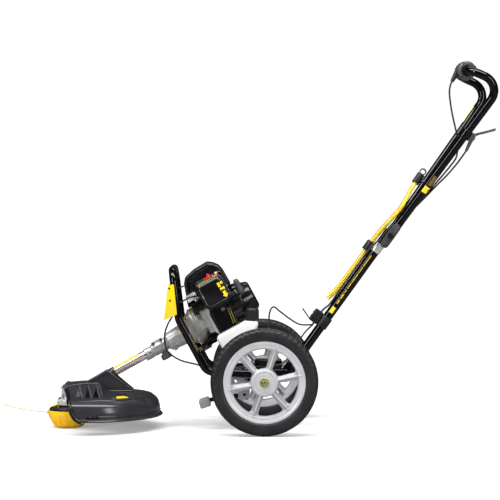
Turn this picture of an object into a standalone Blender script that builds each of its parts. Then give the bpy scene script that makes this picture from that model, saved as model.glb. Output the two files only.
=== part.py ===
# Wheeled petrol string trimmer: a line head and its guard in front, the engine over the axle, a folding
# handle behind. Metres, +Z up. The front is -X, the ground is Z = 0, and the origin lies under the middle
# of the whole machine.
import bmesh
import bpy
import math
from mathutils import Matrix, Vector

for old in list(bpy.data.objects):
    bpy.data.objects.remove(old, do_unlink=True)

# Fits
GAP = 0.0003
TURN_GAP = 0.0003

# Wheels and axle
WHEEL_RADIUS = 0.1525
TRACK = 0.45
TYRE_WIDTH = 0.045
TYRE_CROWN = 0.006
TYRE_DEPTH = 0.0365
RIM_RADIUS = WHEEL_RADIUS - TYRE_DEPTH
RIM_INNER_RADIUS = RIM_RADIUS - 0.0215
RIM_WIDTH = 0.036
RIM_DISC = 0.012
HUB_RADIUS = 0.038
HUB_CORE_RADIUS = 0.020
HUB_LENGTH = 0.052
WHEEL_SIDES = 32
SPOKES = 6
SPOKE_TURN = math.radians(11.5)
SPOKE_HALF_HUB = 0.0115
SPOKE_HALF_RIM = 0.0155
AXLE_RADIUS = 0.008
NUT_RADIUS = 0.0135
NUT_THICKNESS = 0.008

# Shaft line: the straight line from the gear case up to the recoil starter
HEAD_AHEAD = 0.571
GEAR_HEIGHT = 0.0897
SHAFT_TILT = math.radians(28.6)
TUBE_RADIUS = 0.013
TUBE_WALL = 0.0015
TUBE_START = 0.030
TUBE_END = 0.300
INNER_SHAFT_RADIUS = 0.004
GEAR_CASE_RADIUS = 0.027
GEAR_FLANGE_RADIUS = 0.036
GEAR_CAVITY_RADIUS = 0.021
GEAR_SOCKET_RADIUS = 0.018
GEAR_SOCKET_END = 0.041
BEVEL_CONE = 0.022
BEVEL_FACE = 0.010
PINION_TEETH = 14
GEAR_TEETH = 19

# Coupler and cone between the shaft tube and the clutch housing
SLEEVE_START = 0.251
SLEEVE_RADIUS = 0.0165
COUPLER_START = 0.280
COUPLER_RADIUS = 0.019
COUPLER_END = 0.328
KNOB_PLACE = 0.308
KNOB_SIZE = 0.024
KNOB_HEIGHT = 0.022
KNOB_STUD_RADIUS = 0.004
CONE_NOSE_RADIUS = 0.027
CONE_BASE_RADIUS = 0.032
CLUTCH_START = 0.405
CLUTCH_END = 0.440
CLUTCH_NOSE_RADIUS = 0.042
CLUTCH_RADIUS = 0.058
DRUM_RADIUS = 0.0365
DRUM_WALL = 0.0025

# Engine
CRANKCASE_END = 0.543
CRANK_CENTRE = 0.498
CRANK_RADIUS = 0.008
WEB_RADIUS = 0.031
CRANKCASE_NOSE_RADIUS = 0.046
CRANKCASE_HALF_WIDTH = 0.050
CRANKCASE_TOP = 0.0395
CRANKCASE_BOTTOM = 0.048
CYLINDER_HALF_LENGTH = 0.043
CYLINDER_HALF_WIDTH = 0.038
CYLINDER_TOP = 0.112
FINS = 8
BORE_RADIUS = 0.0175
SHROUD_HALF_WIDTH = 0.058
SHROUD_WALL = 0.0025
STARTER_END = 0.621
STARTER_RADIUS = 0.056
STARTER_NOSE_RADIUS = 0.042
STARTER_LIFT = 0.006
STARTER_WALL = 0.003
FLYWHEEL_RADIUS = 0.044
PULLEY_RADIUS = 0.030
FILTER_DEPTH = 0.053
FILTER_BACK = 0.062
FILTER_LOW = 0.028
FILTER_HIGH = 0.110
FILTER_FRONT = 0.482
FILTER_REAR = 0.564
MUFFLER_DEPTH = 0.050
TANK_HALF_WIDTH = 0.095
CAP_RADIUS = 0.0195
CAP_HEIGHT = 0.035
CAP_SIDE = 0.072

# Trimmer head
BOWL_RADIUS = 0.062
BOWL_FOOT_RADIUS = 0.0385
BOWL_TOP = 0.051
BOWL_WALL = 0.0025
COVER_RADIUS = 0.057
KNOB_TRAVEL = 0.008
BUMP_RADIUS = 0.0355
SPOOL_RADIUS = 0.050
SPOOL_CORE = 0.024
WOUND_RADIUS = 0.045
SPINDLE_RADIUS = 0.004
LINE_RADIUS = 0.0012
LINE_REACH = 0.191
EYELET_HEIGHT = 0.0435

# Guard
GUARD_BACK = 0.043
GUARD_SIDES = 40
GUARD_RADIUS = 0.222
GUARD_LIP = 0.008
GUARD_LOW = 0.037
GUARD_DECK = 0.110
GUARD_WALL = 0.003
GUARD_BOX_BASE = 0.097
GUARD_BOX_TOP = 0.130
GUARD_BOX_HALF_TOP = 0.070
GUARD_BOX_HALF_BASE = 0.168
GUARD_COLLAR_RADIUS = 0.0165
GUARD_COLLAR_END = 0.146

# Front hoop and axle carrier
HOOP_RADIUS = 0.0115
HOOP_WALL = 0.0015
HOOP_HALF_WIDTH = 0.115
HOOP_TOP_BACK = 0.264
HOOP_TOP = 0.464
HOOP_LEG_PLACE = 0.397
HOOP_KNEE = 0.047
HOOP_FOOT = 0.123
PLATE_OUTLINE = [(0.0153, 0.0091), (0.0213, 0.0047), (0.1007, 0.0028), (0.1041, 0.0130), (0.0945, 0.0217)]
PLATE_OUTLINE += [(0.0007, 0.0462)]
PLATE_HOLLOW = [(-0.0150, 0.0455), (-0.0150, -0.0250), (0.1210, -0.0450), (0.1210, 0.0071), (0.0942, 0.0194)]
PLATE_SHEET = 0.002
RAIL_HEIGHT = 0.166
CROSS_TUBE_RADIUS = 0.016
CARRIER_PLATE = 0.006
CARRIER_AHEAD = 0.098
TOWER_HEIGHT = 0.0475
ADJUSTER_BEHIND = 0.0415
SPINE_HALF_WIDTH = 0.030
PEDAL_SIDE = 0.040
PEDAL_PIVOT_AHEAD = 0.056
PEDAL_PIVOT_HEIGHT = 0.100
PEDAL_PIN_RADIUS = 0.004

# Handle: a single column below the fold, two tubes above it. The column's foot is level with the axle.
FOOT_BEHIND = 0.074
SOCKET_LENGTH = 0.062
HANDLE_TILT = math.radians(54.2)
COLUMN_RADIUS = 0.014
COLUMN_WALL = 0.002
COLUMN_OFFSET = 0.007
COLUMN_LENGTH = 0.505
COLUMN_TOP = 0.014
HANDLE_RADIUS = 0.0125
HANDLE_WALL = 0.0015
HANDLE_FOOT_SIDE = 0.036
HANDLE_TOP_SIDE = 0.138
HANDLE_LENGTH = 0.538
HANDLE_BEND_RADIUS = 0.046
HANDLE_REACH = 0.106
HANDLE_TURN = math.radians(101.8)
FOLD_BOLT_RADIUS = 0.004
KNUCKLE_LENGTH = 0.081
KNUCKLE_WIDTH = 0.025
KNUCKLE_THICKNESS = 0.008
HOUSING_RADIUS = 0.0275
HOUSING_OUTER = 0.097
HOUSING_INNER = 0.047
BOOT_END = (-0.0496, 0.0, 0.0154)
THROTTLE_RADIUS = 0.029
THROTTLE_LENGTH = 0.022
CABLE_RADIUS = 0.0025
HANDLE_FLARE_START = 0.057
HANDLE_FLARE_BEND = 0.15
HANDLE_BAR_BEND = 0.040
LEVER_PLACE = 0.364
HOLDER_PLACE = 0.190
CLAMP_ABOVE_FOOT = 0.168
CLAMP_LENGTH = 0.040

IDENTITY = Matrix.Identity(4)
TO_AXIS = {
    "X": Matrix(((0, 0, 1, 0), (1, 0, 0, 0), (0, 1, 0, 0), (0, 0, 0, 1))),
    "Y": Matrix(((0, 1, 0, 0), (0, 0, 1, 0), (1, 0, 0, 0), (0, 0, 0, 1))),
    "Z": IDENTITY,
}


# Shape helpers: each returns a new object with one closed mesh, at the origin and unturned
def solid(bm):
    bmesh.ops.recalc_face_normals(bm, faces=bm.faces)
    mesh = bpy.data.meshes.new("shape")
    bm.to_mesh(mesh)
    bm.free()
    obj = bpy.data.objects.new("shape", mesh)
    bpy.context.collection.objects.link(obj)
    return obj


def box(low, high, edge=0.0):
    bm = bmesh.new()
    bmesh.ops.create_cube(bm, size=1.0)
    low, high = Vector(low), Vector(high)
    bmesh.ops.transform(bm, matrix=Matrix.Diagonal((*(high - low), 1.0)), verts=bm.verts)
    bmesh.ops.translate(bm, vec=(low + high) / 2, verts=bm.verts)
    if edge:
        bmesh.ops.bevel(bm, geom=bm.edges[:], offset=edge, segments=1, affect="EDGES")
    return solid(bm)


def lathe(profile, sides, axis="Z", centre=(0.0, 0.0, 0.0), turn=0.0):
    # profile is a closed loop of (distance along the axis, radius); a radius of 0 lies on the axis
    bm = bmesh.new()
    rings = []
    for along, radius in profile:
        if radius == 0.0:
            rings.append([bm.verts.new((0.0, 0.0, along))])
            continue
        angles = [turn + 2 * math.pi * step / sides for step in range(sides)]
        rings.append([bm.verts.new((radius * math.cos(a), radius * math.sin(a), along)) for a in angles])
    for ring, following in zip(rings, rings[1:] + rings[:1]):
        for step in range(sides):
            after = (step + 1) % sides
            corners = []
            for vert in (
                ring[step % len(ring)],
                ring[after % len(ring)],
                following[after % len(following)],
                following[step % len(following)],
            ):
                if vert not in corners:
                    corners.append(vert)
            if len(corners) > 2:
                bm.faces.new(corners)
    bmesh.ops.transform(bm, matrix=Matrix.Translation(centre) @ TO_AXIS[axis], verts=bm.verts)
    return solid(bm)


def cylinder(radius, low, high, sides, axis="Z", centre=(0.0, 0.0, 0.0), turn=0.0):
    return lathe([(low, 0.0), (low, radius), (high, radius), (high, 0.0)], sides, axis, centre, turn)


def ring(inner, outer, low, high, sides, axis="Z", centre=(0.0, 0.0, 0.0)):
    return lathe([(low, inner), (low, outer), (high, outer), (high, inner)], sides, axis, centre)


def prism(outline, low, high, axis="Y"):
    # outline is in (x, z) for axis Y, (y, z) for axis X and (x, y) for axis Z
    places = {
        "X": lambda a, b, depth: (depth, a, b),
        "Y": lambda a, b, depth: (a, depth, b),
        "Z": lambda a, b, depth: (a, b, depth),
    }
    bm = bmesh.new()
    near = [bm.verts.new(places[axis](a, b, low)) for a, b in outline]
    far = [bm.verts.new(places[axis](a, b, high)) for a, b in outline]
    bm.faces.new(near)
    bm.faces.new(far[::-1])
    count = len(outline)
    for step in range(count):
        after = (step + 1) % count
        bm.faces.new((near[after], near[step], far[step], far[after]))
    return solid(bm)


def loft(lower, upper):
    bm = bmesh.new()
    base = [bm.verts.new(point) for point in lower]
    top = [bm.verts.new(point) for point in upper]
    bm.faces.new(base)
    bm.faces.new(top[::-1])
    count = len(base)
    for step in range(count):
        after = (step + 1) % count
        bm.faces.new((base[after], base[step], top[step], top[after]))
    return solid(bm)


def sweep(points, radii, sides, wall=0.0):
    # a round bar along the points, or a pipe with open ends where wall is given
    points = [Vector(point) for point in points]
    if not isinstance(radii, (list, tuple)):
        radii = [radii] * len(points)
    tangents = []
    for step, point in enumerate(points):
        before = points[max(step - 1, 0)]
        after = points[min(step + 1, len(points) - 1)]
        tangents.append((after - before).normalized())
    side = tangents[0].orthogonal().normalized()
    bm = bmesh.new()
    shells = [[], []] if wall else [[]]
    for point, tangent, radius in zip(points, tangents, radii):
        side = (side - side.dot(tangent) * tangent).normalized()
        other = tangent.cross(side)
        for depth, shell in enumerate(shells):
            reach = radius - wall * depth
            angles = [2 * math.pi * (step + 0.5) / sides for step in range(sides)]
            spokes = [side * math.cos(a) + other * math.sin(a) for a in angles]
            shell.append([bm.verts.new(point + reach * spoke) for spoke in spokes])
    for shell in shells:
        for first, second in zip(shell, shell[1:]):
            for step in range(sides):
                after = (step + 1) % sides
                bm.faces.new((first[step], first[after], second[after], second[step]))
    for end in (0, -1):
        if not wall:
            bm.faces.new(shells[0][end])
            continue
        outer, inner = shells[0][end], shells[1][end]
        for step in range(sides):
            after = (step + 1) % sides
            bm.faces.new((outer[step], outer[after], inner[after], inner[step]))
    return solid(bm)


def bend(points, radii, steps=3):
    # rounds each inner corner of a path with an arc of the given radius
    points = [Vector(point) for point in points]
    path = [points[0]]
    for before, corner, after, radius in zip(points, points[1:], points[2:], radii):
        arrive = (corner - before).normalized()
        leave = (after - corner).normalized()
        turn = arrive.angle(leave)
        start = corner - arrive * radius * math.tan(turn / 2)
        inward = (leave - arrive * arrive.dot(leave)).normalized()
        centre = start + inward * radius
        for step in range(steps + 1):
            angle = turn * step / steps
            path.append(centre - inward * radius * math.cos(angle) + arrive * radius * math.sin(angle))
    path.append(points[-1])
    return path


def curve_through(points, per_span=4):
    # points on a smooth curve through the given ones
    points = [Vector(point) for point in points]
    padded = [2 * points[0] - points[1], *points, 2 * points[-1] - points[-2]]
    smooth = []
    for a, b, c, d in zip(padded, padded[1:], padded[2:], padded[3:]):
        for step in range(per_span):
            t = step / per_span
            square, cube = 2 * a - 5 * b + 4 * c - d, 3 * b - a - 3 * c + d
            smooth.append(0.5 * (2 * b + (c - a) * t + square * t * t + cube * t**3))
    smooth.append(points[-1])
    return smooth


def cord(points, radius, per_span=4):
    curve = bpy.data.curves.new("cord", "CURVE")
    curve.dimensions = "3D"
    curve.bevel_depth = radius
    curve.bevel_resolution = 2
    curve.use_fill_caps = True
    route = curve_through(points, per_span)
    spline = curve.splines.new("POLY")
    spline.points.add(len(route) - 1)
    for point, place in zip(spline.points, route):
        point.co = (*place, 1.0)
    obj = bpy.data.objects.new("cord", curve)
    bpy.context.collection.objects.link(obj)
    return obj


def inset(outline, distance):
    # the outline moved inwards by the distance, with square corners; the outline runs anticlockwise
    moved = []
    count = len(outline)
    for step in range(count):
        before, here, after = (Vector(outline[(step + shift) % count]) for shift in (-1, 0, 1))
        first = (here - before).normalized()
        second = (after - here).normalized()
        inward = Vector((-first.y, first.x)) + Vector((-second.y, second.x))
        inward.normalize()
        moved.append(tuple(here + inward * distance / inward.dot(Vector((-first.y, first.x)))))
    return moved


def rounded_outline(low, high, radius, steps=3):
    # a rectangle with round corners, anticlockwise
    outline = []
    corners = ((high[0], high[1]), (low[0], high[1]), (low[0], low[1]), (high[0], low[1]))
    for quarter, (a, b) in enumerate(corners):
        centre_a = a - radius if a == high[0] else a + radius
        centre_b = b - radius if b == high[1] else b + radius
        for step in range(steps + 1):
            angle = math.pi / 2 * (quarter + step / steps)
            outline.append((centre_a + radius * math.cos(angle), centre_b + radius * math.sin(angle)))
    return outline


def oval(length, width, steps=6):
    # a slot shape along the first direction, centred on the origin
    outline = []
    for end, first in ((1, -math.pi / 2), (-1, math.pi / 2)):
        for step in range(steps + 1):
            angle = first + math.pi * step / steps
            centre = end * (length - width) / 2
            outline.append((centre + width / 2 * math.cos(angle), width / 2 * math.sin(angle)))
    return outline


def combine(obj, other, operation):
    modifier = obj.modifiers.new("combine", "BOOLEAN")
    modifier.operation = operation
    modifier.solver = "EXACT"
    modifier.object = other
    bpy.context.view_layer.update()
    graph = bpy.context.evaluated_depsgraph_get()
    mesh = bpy.data.meshes.new_from_object(obj.evaluated_get(graph))
    obj.modifiers.clear()
    obj.data = mesh
    bpy.data.objects.remove(other, do_unlink=True)
    return obj


def unite(obj, *others):
    for other in others:
        combine(obj, other, "UNION")
    return obj


def cut(obj, *others):
    for other in others:
        combine(obj, other, "DIFFERENCE")
    return obj


def moved(obj, matrix):
    obj.data.transform(matrix)
    if matrix.determinant() < 0:
        obj.data.flip_normals()
    return obj


def paint(name, colour, roughness, metallic=0.0):
    material = bpy.data.materials.new(name)
    material.use_nodes = True
    shader = material.node_tree.nodes["Principled BSDF"]
    shader.inputs["Base Color"].default_value = (*colour, 1.0)
    shader.inputs["Roughness"].default_value = roughness
    shader.inputs["Metallic"].default_value = metallic
    return material


def add(name, obj, parent, look):
    # names the piece, gives it its own material and hangs it on its frame
    obj.name = name
    obj.data.name = name
    obj.data.materials.clear()
    obj.data.materials.append(paint(name, *look))
    if obj.type == "MESH":
        obj.data.shade_smooth()
        obj.data.set_sharp_from_angle(angle=math.radians(35))
    obj.parent = parent
    return obj


def frame_at(name, location, tilt=0.0, parent=None):
    empty = bpy.data.objects.new(name, None)
    empty.location = location
    empty.rotation_euler = (0.0, -tilt, 0.0)
    empty.parent = parent
    bpy.context.collection.objects.link(empty)
    return empty


def clear(radius, sides, gap=GAP):
    # the radius of a many-sided bore whose flats clear a round bar by the gap
    return (radius + gap) / math.cos(math.pi / sides)


def across(side):
    # mirrors a shape in the machine's middle plane where side is -1
    return Matrix.Diagonal((1.0, side, 1.0, 1.0))


BLACK_GLOSS = ((0.012, 0.012, 0.014), 0.22)
BLACK_PLASTIC = ((0.018, 0.018, 0.02), 0.45)
DARK_GREY = ((0.055, 0.055, 0.06), 0.5)
MID_GREY = ((0.25, 0.25, 0.25), 0.5)
LIGHT_GREY = ((0.55, 0.56, 0.58), 0.42)
TYRE_BLACK = ((0.02, 0.02, 0.021), 0.75)
ALUMINIUM = ((0.62, 0.62, 0.6), 0.38, 1.0)
STEEL = ((0.5, 0.5, 0.5), 0.35, 1.0)
CHROME = ((0.75, 0.75, 0.75), 0.12, 1.0)
ZINC = ((0.72, 0.68, 0.32), 0.35, 1.0)
YELLOW = ((0.9, 0.62, 0.01), 0.4)
ORANGE = ((0.85, 0.3, 0.02), 0.45)
RED = ((0.6, 0.03, 0.02), 0.4)
TANK_WHITE = ((0.78, 0.78, 0.74), 0.4)

# The handle's path, in its own frame: along the tubes, to the side, square to them
handle_top = Vector((HANDLE_LENGTH, HANDLE_TOP_SIDE, 0.0))
handle_bar = handle_top + HANDLE_REACH * Vector((math.cos(HANDLE_TURN), 0.0, math.sin(HANDLE_TURN)))
left_half = [
    (-COLUMN_TOP, -HANDLE_FOOT_SIDE, 0.0),
    (HANDLE_FLARE_START, -HANDLE_FOOT_SIDE, 0.0),
    (HANDLE_LENGTH, -HANDLE_TOP_SIDE, 0.0),
    (handle_bar.x, -HANDLE_TOP_SIDE, handle_bar.z),
]
handle_corners = left_half + [(x, -y, z) for x, y, z in reversed(left_half)]
handle_bends = [HANDLE_FLARE_BEND, HANDLE_BEND_RADIUS, HANDLE_BAR_BEND]
handle_path = bend(handle_corners, handle_bends + handle_bends[::-1])

# The fold is at the column's upper end
fold_behind = FOOT_BEHIND + COLUMN_LENGTH * math.cos(HANDLE_TILT)
fold_height = WHEEL_RADIUS + COLUMN_LENGTH * math.sin(HANDLE_TILT)

# The machine's middle is set from its two ends, the line's tip and the handle's bend
handle_rear = max(p.x * math.cos(HANDLE_TILT) - p.z * math.sin(HANDLE_TILT) for p in handle_path)
REAR_END = fold_behind + handle_rear + HANDLE_RADIUS
FRONT_END = HEAD_AHEAD + LINE_REACH
AXLE_X = (FRONT_END - REAR_END) / 2

axle_line = frame_at("axle_line", (AXLE_X, 0.0, 0.0))
shaft_line = frame_at("shaft_line", (-HEAD_AHEAD, 0.0, GEAR_HEIGHT), SHAFT_TILT, axle_line)
head_line = frame_at("head_line", (-HEAD_AHEAD, 0.0, 0.0), 0.0, axle_line)
handle_line = frame_at("handle_line", (fold_behind, 0.0, fold_height), HANDLE_TILT, axle_line)


def from_shaft(along, up, side=0.0):
    # a place in the shaft line's frame, told in the axle line's frame
    x = -HEAD_AHEAD + along * math.cos(SHAFT_TILT) - up * math.sin(SHAFT_TILT)
    z = GEAR_HEIGHT + along * math.sin(SHAFT_TILT) + up * math.cos(SHAFT_TILT)
    return (x, side, z)


def from_handle(along, side, up):
    # a place in the handle line's frame, told in the axle line's frame
    x = fold_behind + along * math.cos(HANDLE_TILT) - up * math.sin(HANDLE_TILT)
    z = fold_height + along * math.sin(HANDLE_TILT) + up * math.cos(HANDLE_TILT)
    return (x, side, z)


HANDLE_SLOPE = (HANDLE_TOP_SIDE - HANDLE_FOOT_SIDE) / (HANDLE_LENGTH - HANDLE_FLARE_START)


def tube_side(along):
    # how far each handle tube is from the middle plane
    return HANDLE_FOOT_SIDE + HANDLE_SLOPE * (along - HANDLE_FLARE_START)


# Wheels: each has its own frame on the axle's centre line
def wheel_window(middle):
    inner_radius = HUB_RADIUS + 0.0035
    outer_radius = RIM_INNER_RADIUS - 0.005
    half_pitch = math.pi / SPOKES
    inner_half = half_pitch - math.asin(SPOKE_HALF_HUB / inner_radius)
    outer_half = half_pitch - math.asin(SPOKE_HALF_RIM / outer_radius)
    polar = [
        (outer_radius, 0.0),
        (outer_radius, outer_half),
        (inner_radius, inner_half),
        (inner_radius, -inner_half),
        (outer_radius, -outer_half),
        (outer_radius, 0.0),
    ]
    corners = [(r * math.cos(middle + a), 0.0, r * math.sin(middle + a)) for r, a in polar]
    outline = bend(corners, [0.008, 0.004, 0.004, 0.008], 2)
    return prism([(point.x, point.z) for point in outline[:-1]], -RIM_WIDTH, RIM_WIDTH)


def wheel(side, suffix):
    hub_line = frame_at("wheel_" + suffix, (0.0, side * TRACK / 2, WHEEL_RADIUS), 0.0, axle_line)
    half = TYRE_WIDTH / 2
    bead = RIM_RADIUS + GAP
    tread = WHEEL_RADIUS - TYRE_CROWN
    tyre = lathe(
        [
            (-half * 0.8, bead),
            (half * 0.8, bead),
            (half, bead + 0.008),
            (half, tread - 0.008),
            (half * 0.8, tread + TYRE_CROWN * 0.6),
            (half * 0.4, WHEEL_RADIUS),
            (-half * 0.4, WHEEL_RADIUS),
            (-half * 0.8, tread + TYRE_CROWN * 0.6),
            (-half, tread - 0.008),
            (-half, bead + 0.008),
        ],
        WHEEL_SIDES,
        "Y",
    )
    add("tyre_" + suffix, tyre, hub_line, TYRE_BLACK)
    bore = AXLE_RADIUS + TURN_GAP
    face = RIM_WIDTH / 2
    back = face - RIM_DISC
    hub_face = HUB_LENGTH / 2
    rim = lathe(
        [
            (face + 0.006, bore),
            (face + 0.006, HUB_RADIUS - 0.004),
            (face, HUB_RADIUS),
            (face - 0.002, RIM_INNER_RADIUS),
            (face, RIM_INNER_RADIUS + 0.004),
            (face, RIM_RADIUS),
            (-face, RIM_RADIUS),
            (-face, RIM_RADIUS - 0.006),
            (back - 0.004, RIM_RADIUS - 0.012),
            (back, RIM_INNER_RADIUS),
            (back, HUB_CORE_RADIUS + 0.006),
            (-hub_face, HUB_CORE_RADIUS),
            (-hub_face, bore),
        ],
        WHEEL_SIDES,
        "Y",
    )
    for number in range(SPOKES):
        cut(rim, wheel_window(SPOKE_TURN + math.pi / SPOKES * (2 * number + 1)))
    add("rim_" + suffix, moved(rim, across(side)), hub_line, LIGHT_GREY)


# The disc faces outwards, so the hub's outer end is half a rim and its boss from the tyre's middle
HUB_BOSS = 0.006
NUT_PLACE = TRACK / 2 + RIM_WIDTH / 2 + HUB_BOSS + GAP


def axle_parts():
    centre = (0.0, 0.0, WHEEL_RADIUS)
    end = NUT_PLACE + NUT_THICKNESS
    head = cylinder(NUT_RADIUS, -end, -NUT_PLACE, 6, "Y", centre)
    bar = cylinder(AXLE_RADIUS, -NUT_PLACE - NUT_THICKNESS / 2, end, 16, "Y", centre)
    add("axle", unite(bar, head), axle_line, ZINC)
    nut = cylinder(NUT_RADIUS, NUT_PLACE, end, 6, "Y", centre)
    cut(nut, cylinder(AXLE_RADIUS + GAP, NUT_PLACE - GAP, end + GAP, 16, "Y", centre))
    add("axle_nut", nut, axle_line, ZINC)


# Frame: the hoop with its rails, the axle carrier, the plate and the pedal
def hoop_points():
    knee = from_shaft(HOOP_LEG_PLACE, HOOP_KNEE)
    foot = from_shaft(HOOP_LEG_PLACE, -HOOP_FOOT)
    rail_end = -(CROSS_TUBE_RADIUS + GAP)
    half = [
        (rail_end, -HOOP_HALF_WIDTH, RAIL_HEIGHT),
        (foot[0], -HOOP_HALF_WIDTH, foot[2]),
        (knee[0], -HOOP_HALF_WIDTH, knee[2]),
        (-HOOP_TOP_BACK, -HOOP_HALF_WIDTH, HOOP_TOP),
    ]
    return half + [(x, -y, z) for x, y, z in reversed(half)]


def frame_parts():
    radii = [0.035, 0.060, 0.045]
    path = bend(hoop_points(), radii + radii[::-1])
    add("front_hoop", sweep(path, HOOP_RADIUS, 8, HOOP_WALL), axle_line, BLACK_GLOSS)

    # the plate is told along the hoop's leg, from the knee, and ahead of it
    knee, top = hoop_points()[2], hoop_points()[3]
    along = Vector((top[0] - knee[0], top[2] - knee[2])).normalized()
    ahead = Vector((-along.y, along.x))

    def on_leg(outline):
        return [tuple(Vector((knee[0], knee[2])) + up * along + out * ahead) for up, out in outline]

    half = HOOP_HALF_WIDTH - HOOP_RADIUS - GAP
    panel = prism(on_leg(PLATE_OUTLINE), -half, half)
    cut(panel, prism(on_leg(PLATE_HOLLOW), -half + PLATE_SHEET, half - PLATE_SHEET))
    add("warning_plate", panel, axle_line, YELLOW)

    centre = (0.0, 0.0, WHEEL_RADIUS)
    hub_back = TRACK / 2 - HUB_LENGTH / 2 - GAP
    carrier = cylinder(CROSS_TUBE_RADIUS, -hub_back, hub_back, 16, "Y", centre)
    plate_side = HOOP_HALF_WIDTH - HOOP_RADIUS - GAP
    front, back = -CARRIER_AHEAD, FOOT_BEHIND - 0.002
    low, high = WHEEL_RADIUS - 0.0185, WHEEL_RADIUS + 0.0195
    for side in (-1, 1):
        outer, inner = side * plate_side, side * (plate_side - CARRIER_PLATE)
        outline = [(front, low - 0.003), (0.030, low + 0.002), (0.030, RAIL_HEIGHT), (front, RAIL_HEIGHT)]
        hole = cylinder(0.005, -0.2, 0.2, 10, "Y", (front + 0.015, 0.0, low + 0.0095))
        unite(carrier, cut(prism(outline, *sorted((inner, outer))), hole))
    pivot = -PEDAL_PIVOT_AHEAD
    strap_half = plate_side - 0.001
    strap = box((pivot - 0.019, -strap_half, low - 0.002), (pivot + 0.019, strap_half, low + 0.006))
    spine = box((pivot + 0.011, -SPINE_HALF_WIDTH, low), (back, SPINE_HALF_WIDTH, high), 0.004)
    tower_top = WHEEL_RADIUS + TOWER_HEIGHT
    tower = box((-0.026, -0.026, high - 0.004), (FOOT_BEHIND - 0.020, 0.026, tower_top), 0.005)
    adjuster = cylinder(0.006, tower_top - 0.005, tower_top + 0.006, 10, "Z", (ADJUSTER_BEHIND, 0.0, 0.0))
    foot_place = Matrix.Translation((FOOT_BEHIND, 0.0, WHEEL_RADIUS))
    axis = foot_place @ Matrix.Rotation(-HANDLE_TILT, 4, "Y")
    socket = cylinder(COLUMN_RADIUS + 0.0055, -0.006, SOCKET_LENGTH, 16, "X", (0, 0, COLUMN_OFFSET))
    column_bore = clear(COLUMN_RADIUS, 16)
    bore = cylinder(column_bore, -GAP, 2 * SOCKET_LENGTH, 16, "X", (0, 0, COLUMN_OFFSET), math.pi / 16)
    unite(carrier, strap)
    ear_top, ear_low = low + 0.003, PEDAL_PIVOT_HEIGHT - 0.011
    ear = [(pivot - 0.017, ear_top), (pivot - 0.010, ear_low)]
    ear += [(pivot + 0.010, ear_low), (pivot + 0.017, ear_top)]
    for side in (-1, 1):
        ear_side = -PEDAL_SIDE + side * 0.0090 - 0.0025
        unite(carrier, prism(ear, ear_side, ear_side + 0.005))
    unite(carrier, spine, tower, adjuster, moved(socket, axis))
    cut(carrier, moved(bore, axis))
    pin = cylinder(PEDAL_PIN_RADIUS, -PEDAL_SIDE - 0.012, -PEDAL_SIDE + 0.012, 10, "Y")
    unite(carrier, moved(pin, Matrix.Translation((-PEDAL_PIVOT_AHEAD, 0.0, PEDAL_PIVOT_HEIGHT))))
    cut(carrier, cylinder(AXLE_RADIUS + GAP, -0.3, 0.3, 16, "Y", centre))
    add("axle_carrier", carrier, axle_line, BLACK_GLOSS)

    pedal_line = frame_at("pedal_line", (-PEDAL_PIVOT_AHEAD, -PEDAL_SIDE, PEDAL_PIVOT_HEIGHT), 0.0, axle_line)
    half_hub = 0.0062
    arm = prism([(0.0, -0.006), (0.0, 0.006), (-0.100, -0.010), (-0.100, -0.022)], -half_hub, half_hub)
    pad = box((-0.0165, -0.030, -0.0130), (0.0165, 0.030, 0.0130), 0.004)
    moved(pad, Matrix.Translation((-0.115, 0.0, -0.024)) @ Matrix.Rotation(math.radians(-18), 4, "Y"))
    pedal = cylinder(0.0095, -half_hub, half_hub, 14, "Y")
    unite(pedal, arm, pad)
    cut(pedal, cylinder(PEDAL_PIN_RADIUS + TURN_GAP, -0.05, 0.05, 10, "Y"))
    add("foot_pedal", pedal, pedal_line, MID_GREY)

    shelf = -(CLUTCH_RADIUS + GAP)
    leg_back = HOOP_LEG_PLACE + HOOP_RADIUS + GAP
    half = HOOP_HALF_WIDTH + HOOP_RADIUS
    mount = box((leg_back, -half, shelf - 0.008), (leg_back + 0.036, half, shelf), 0.002)
    add("engine_mount", mount, shaft_line, BLACK_GLOSS)


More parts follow.
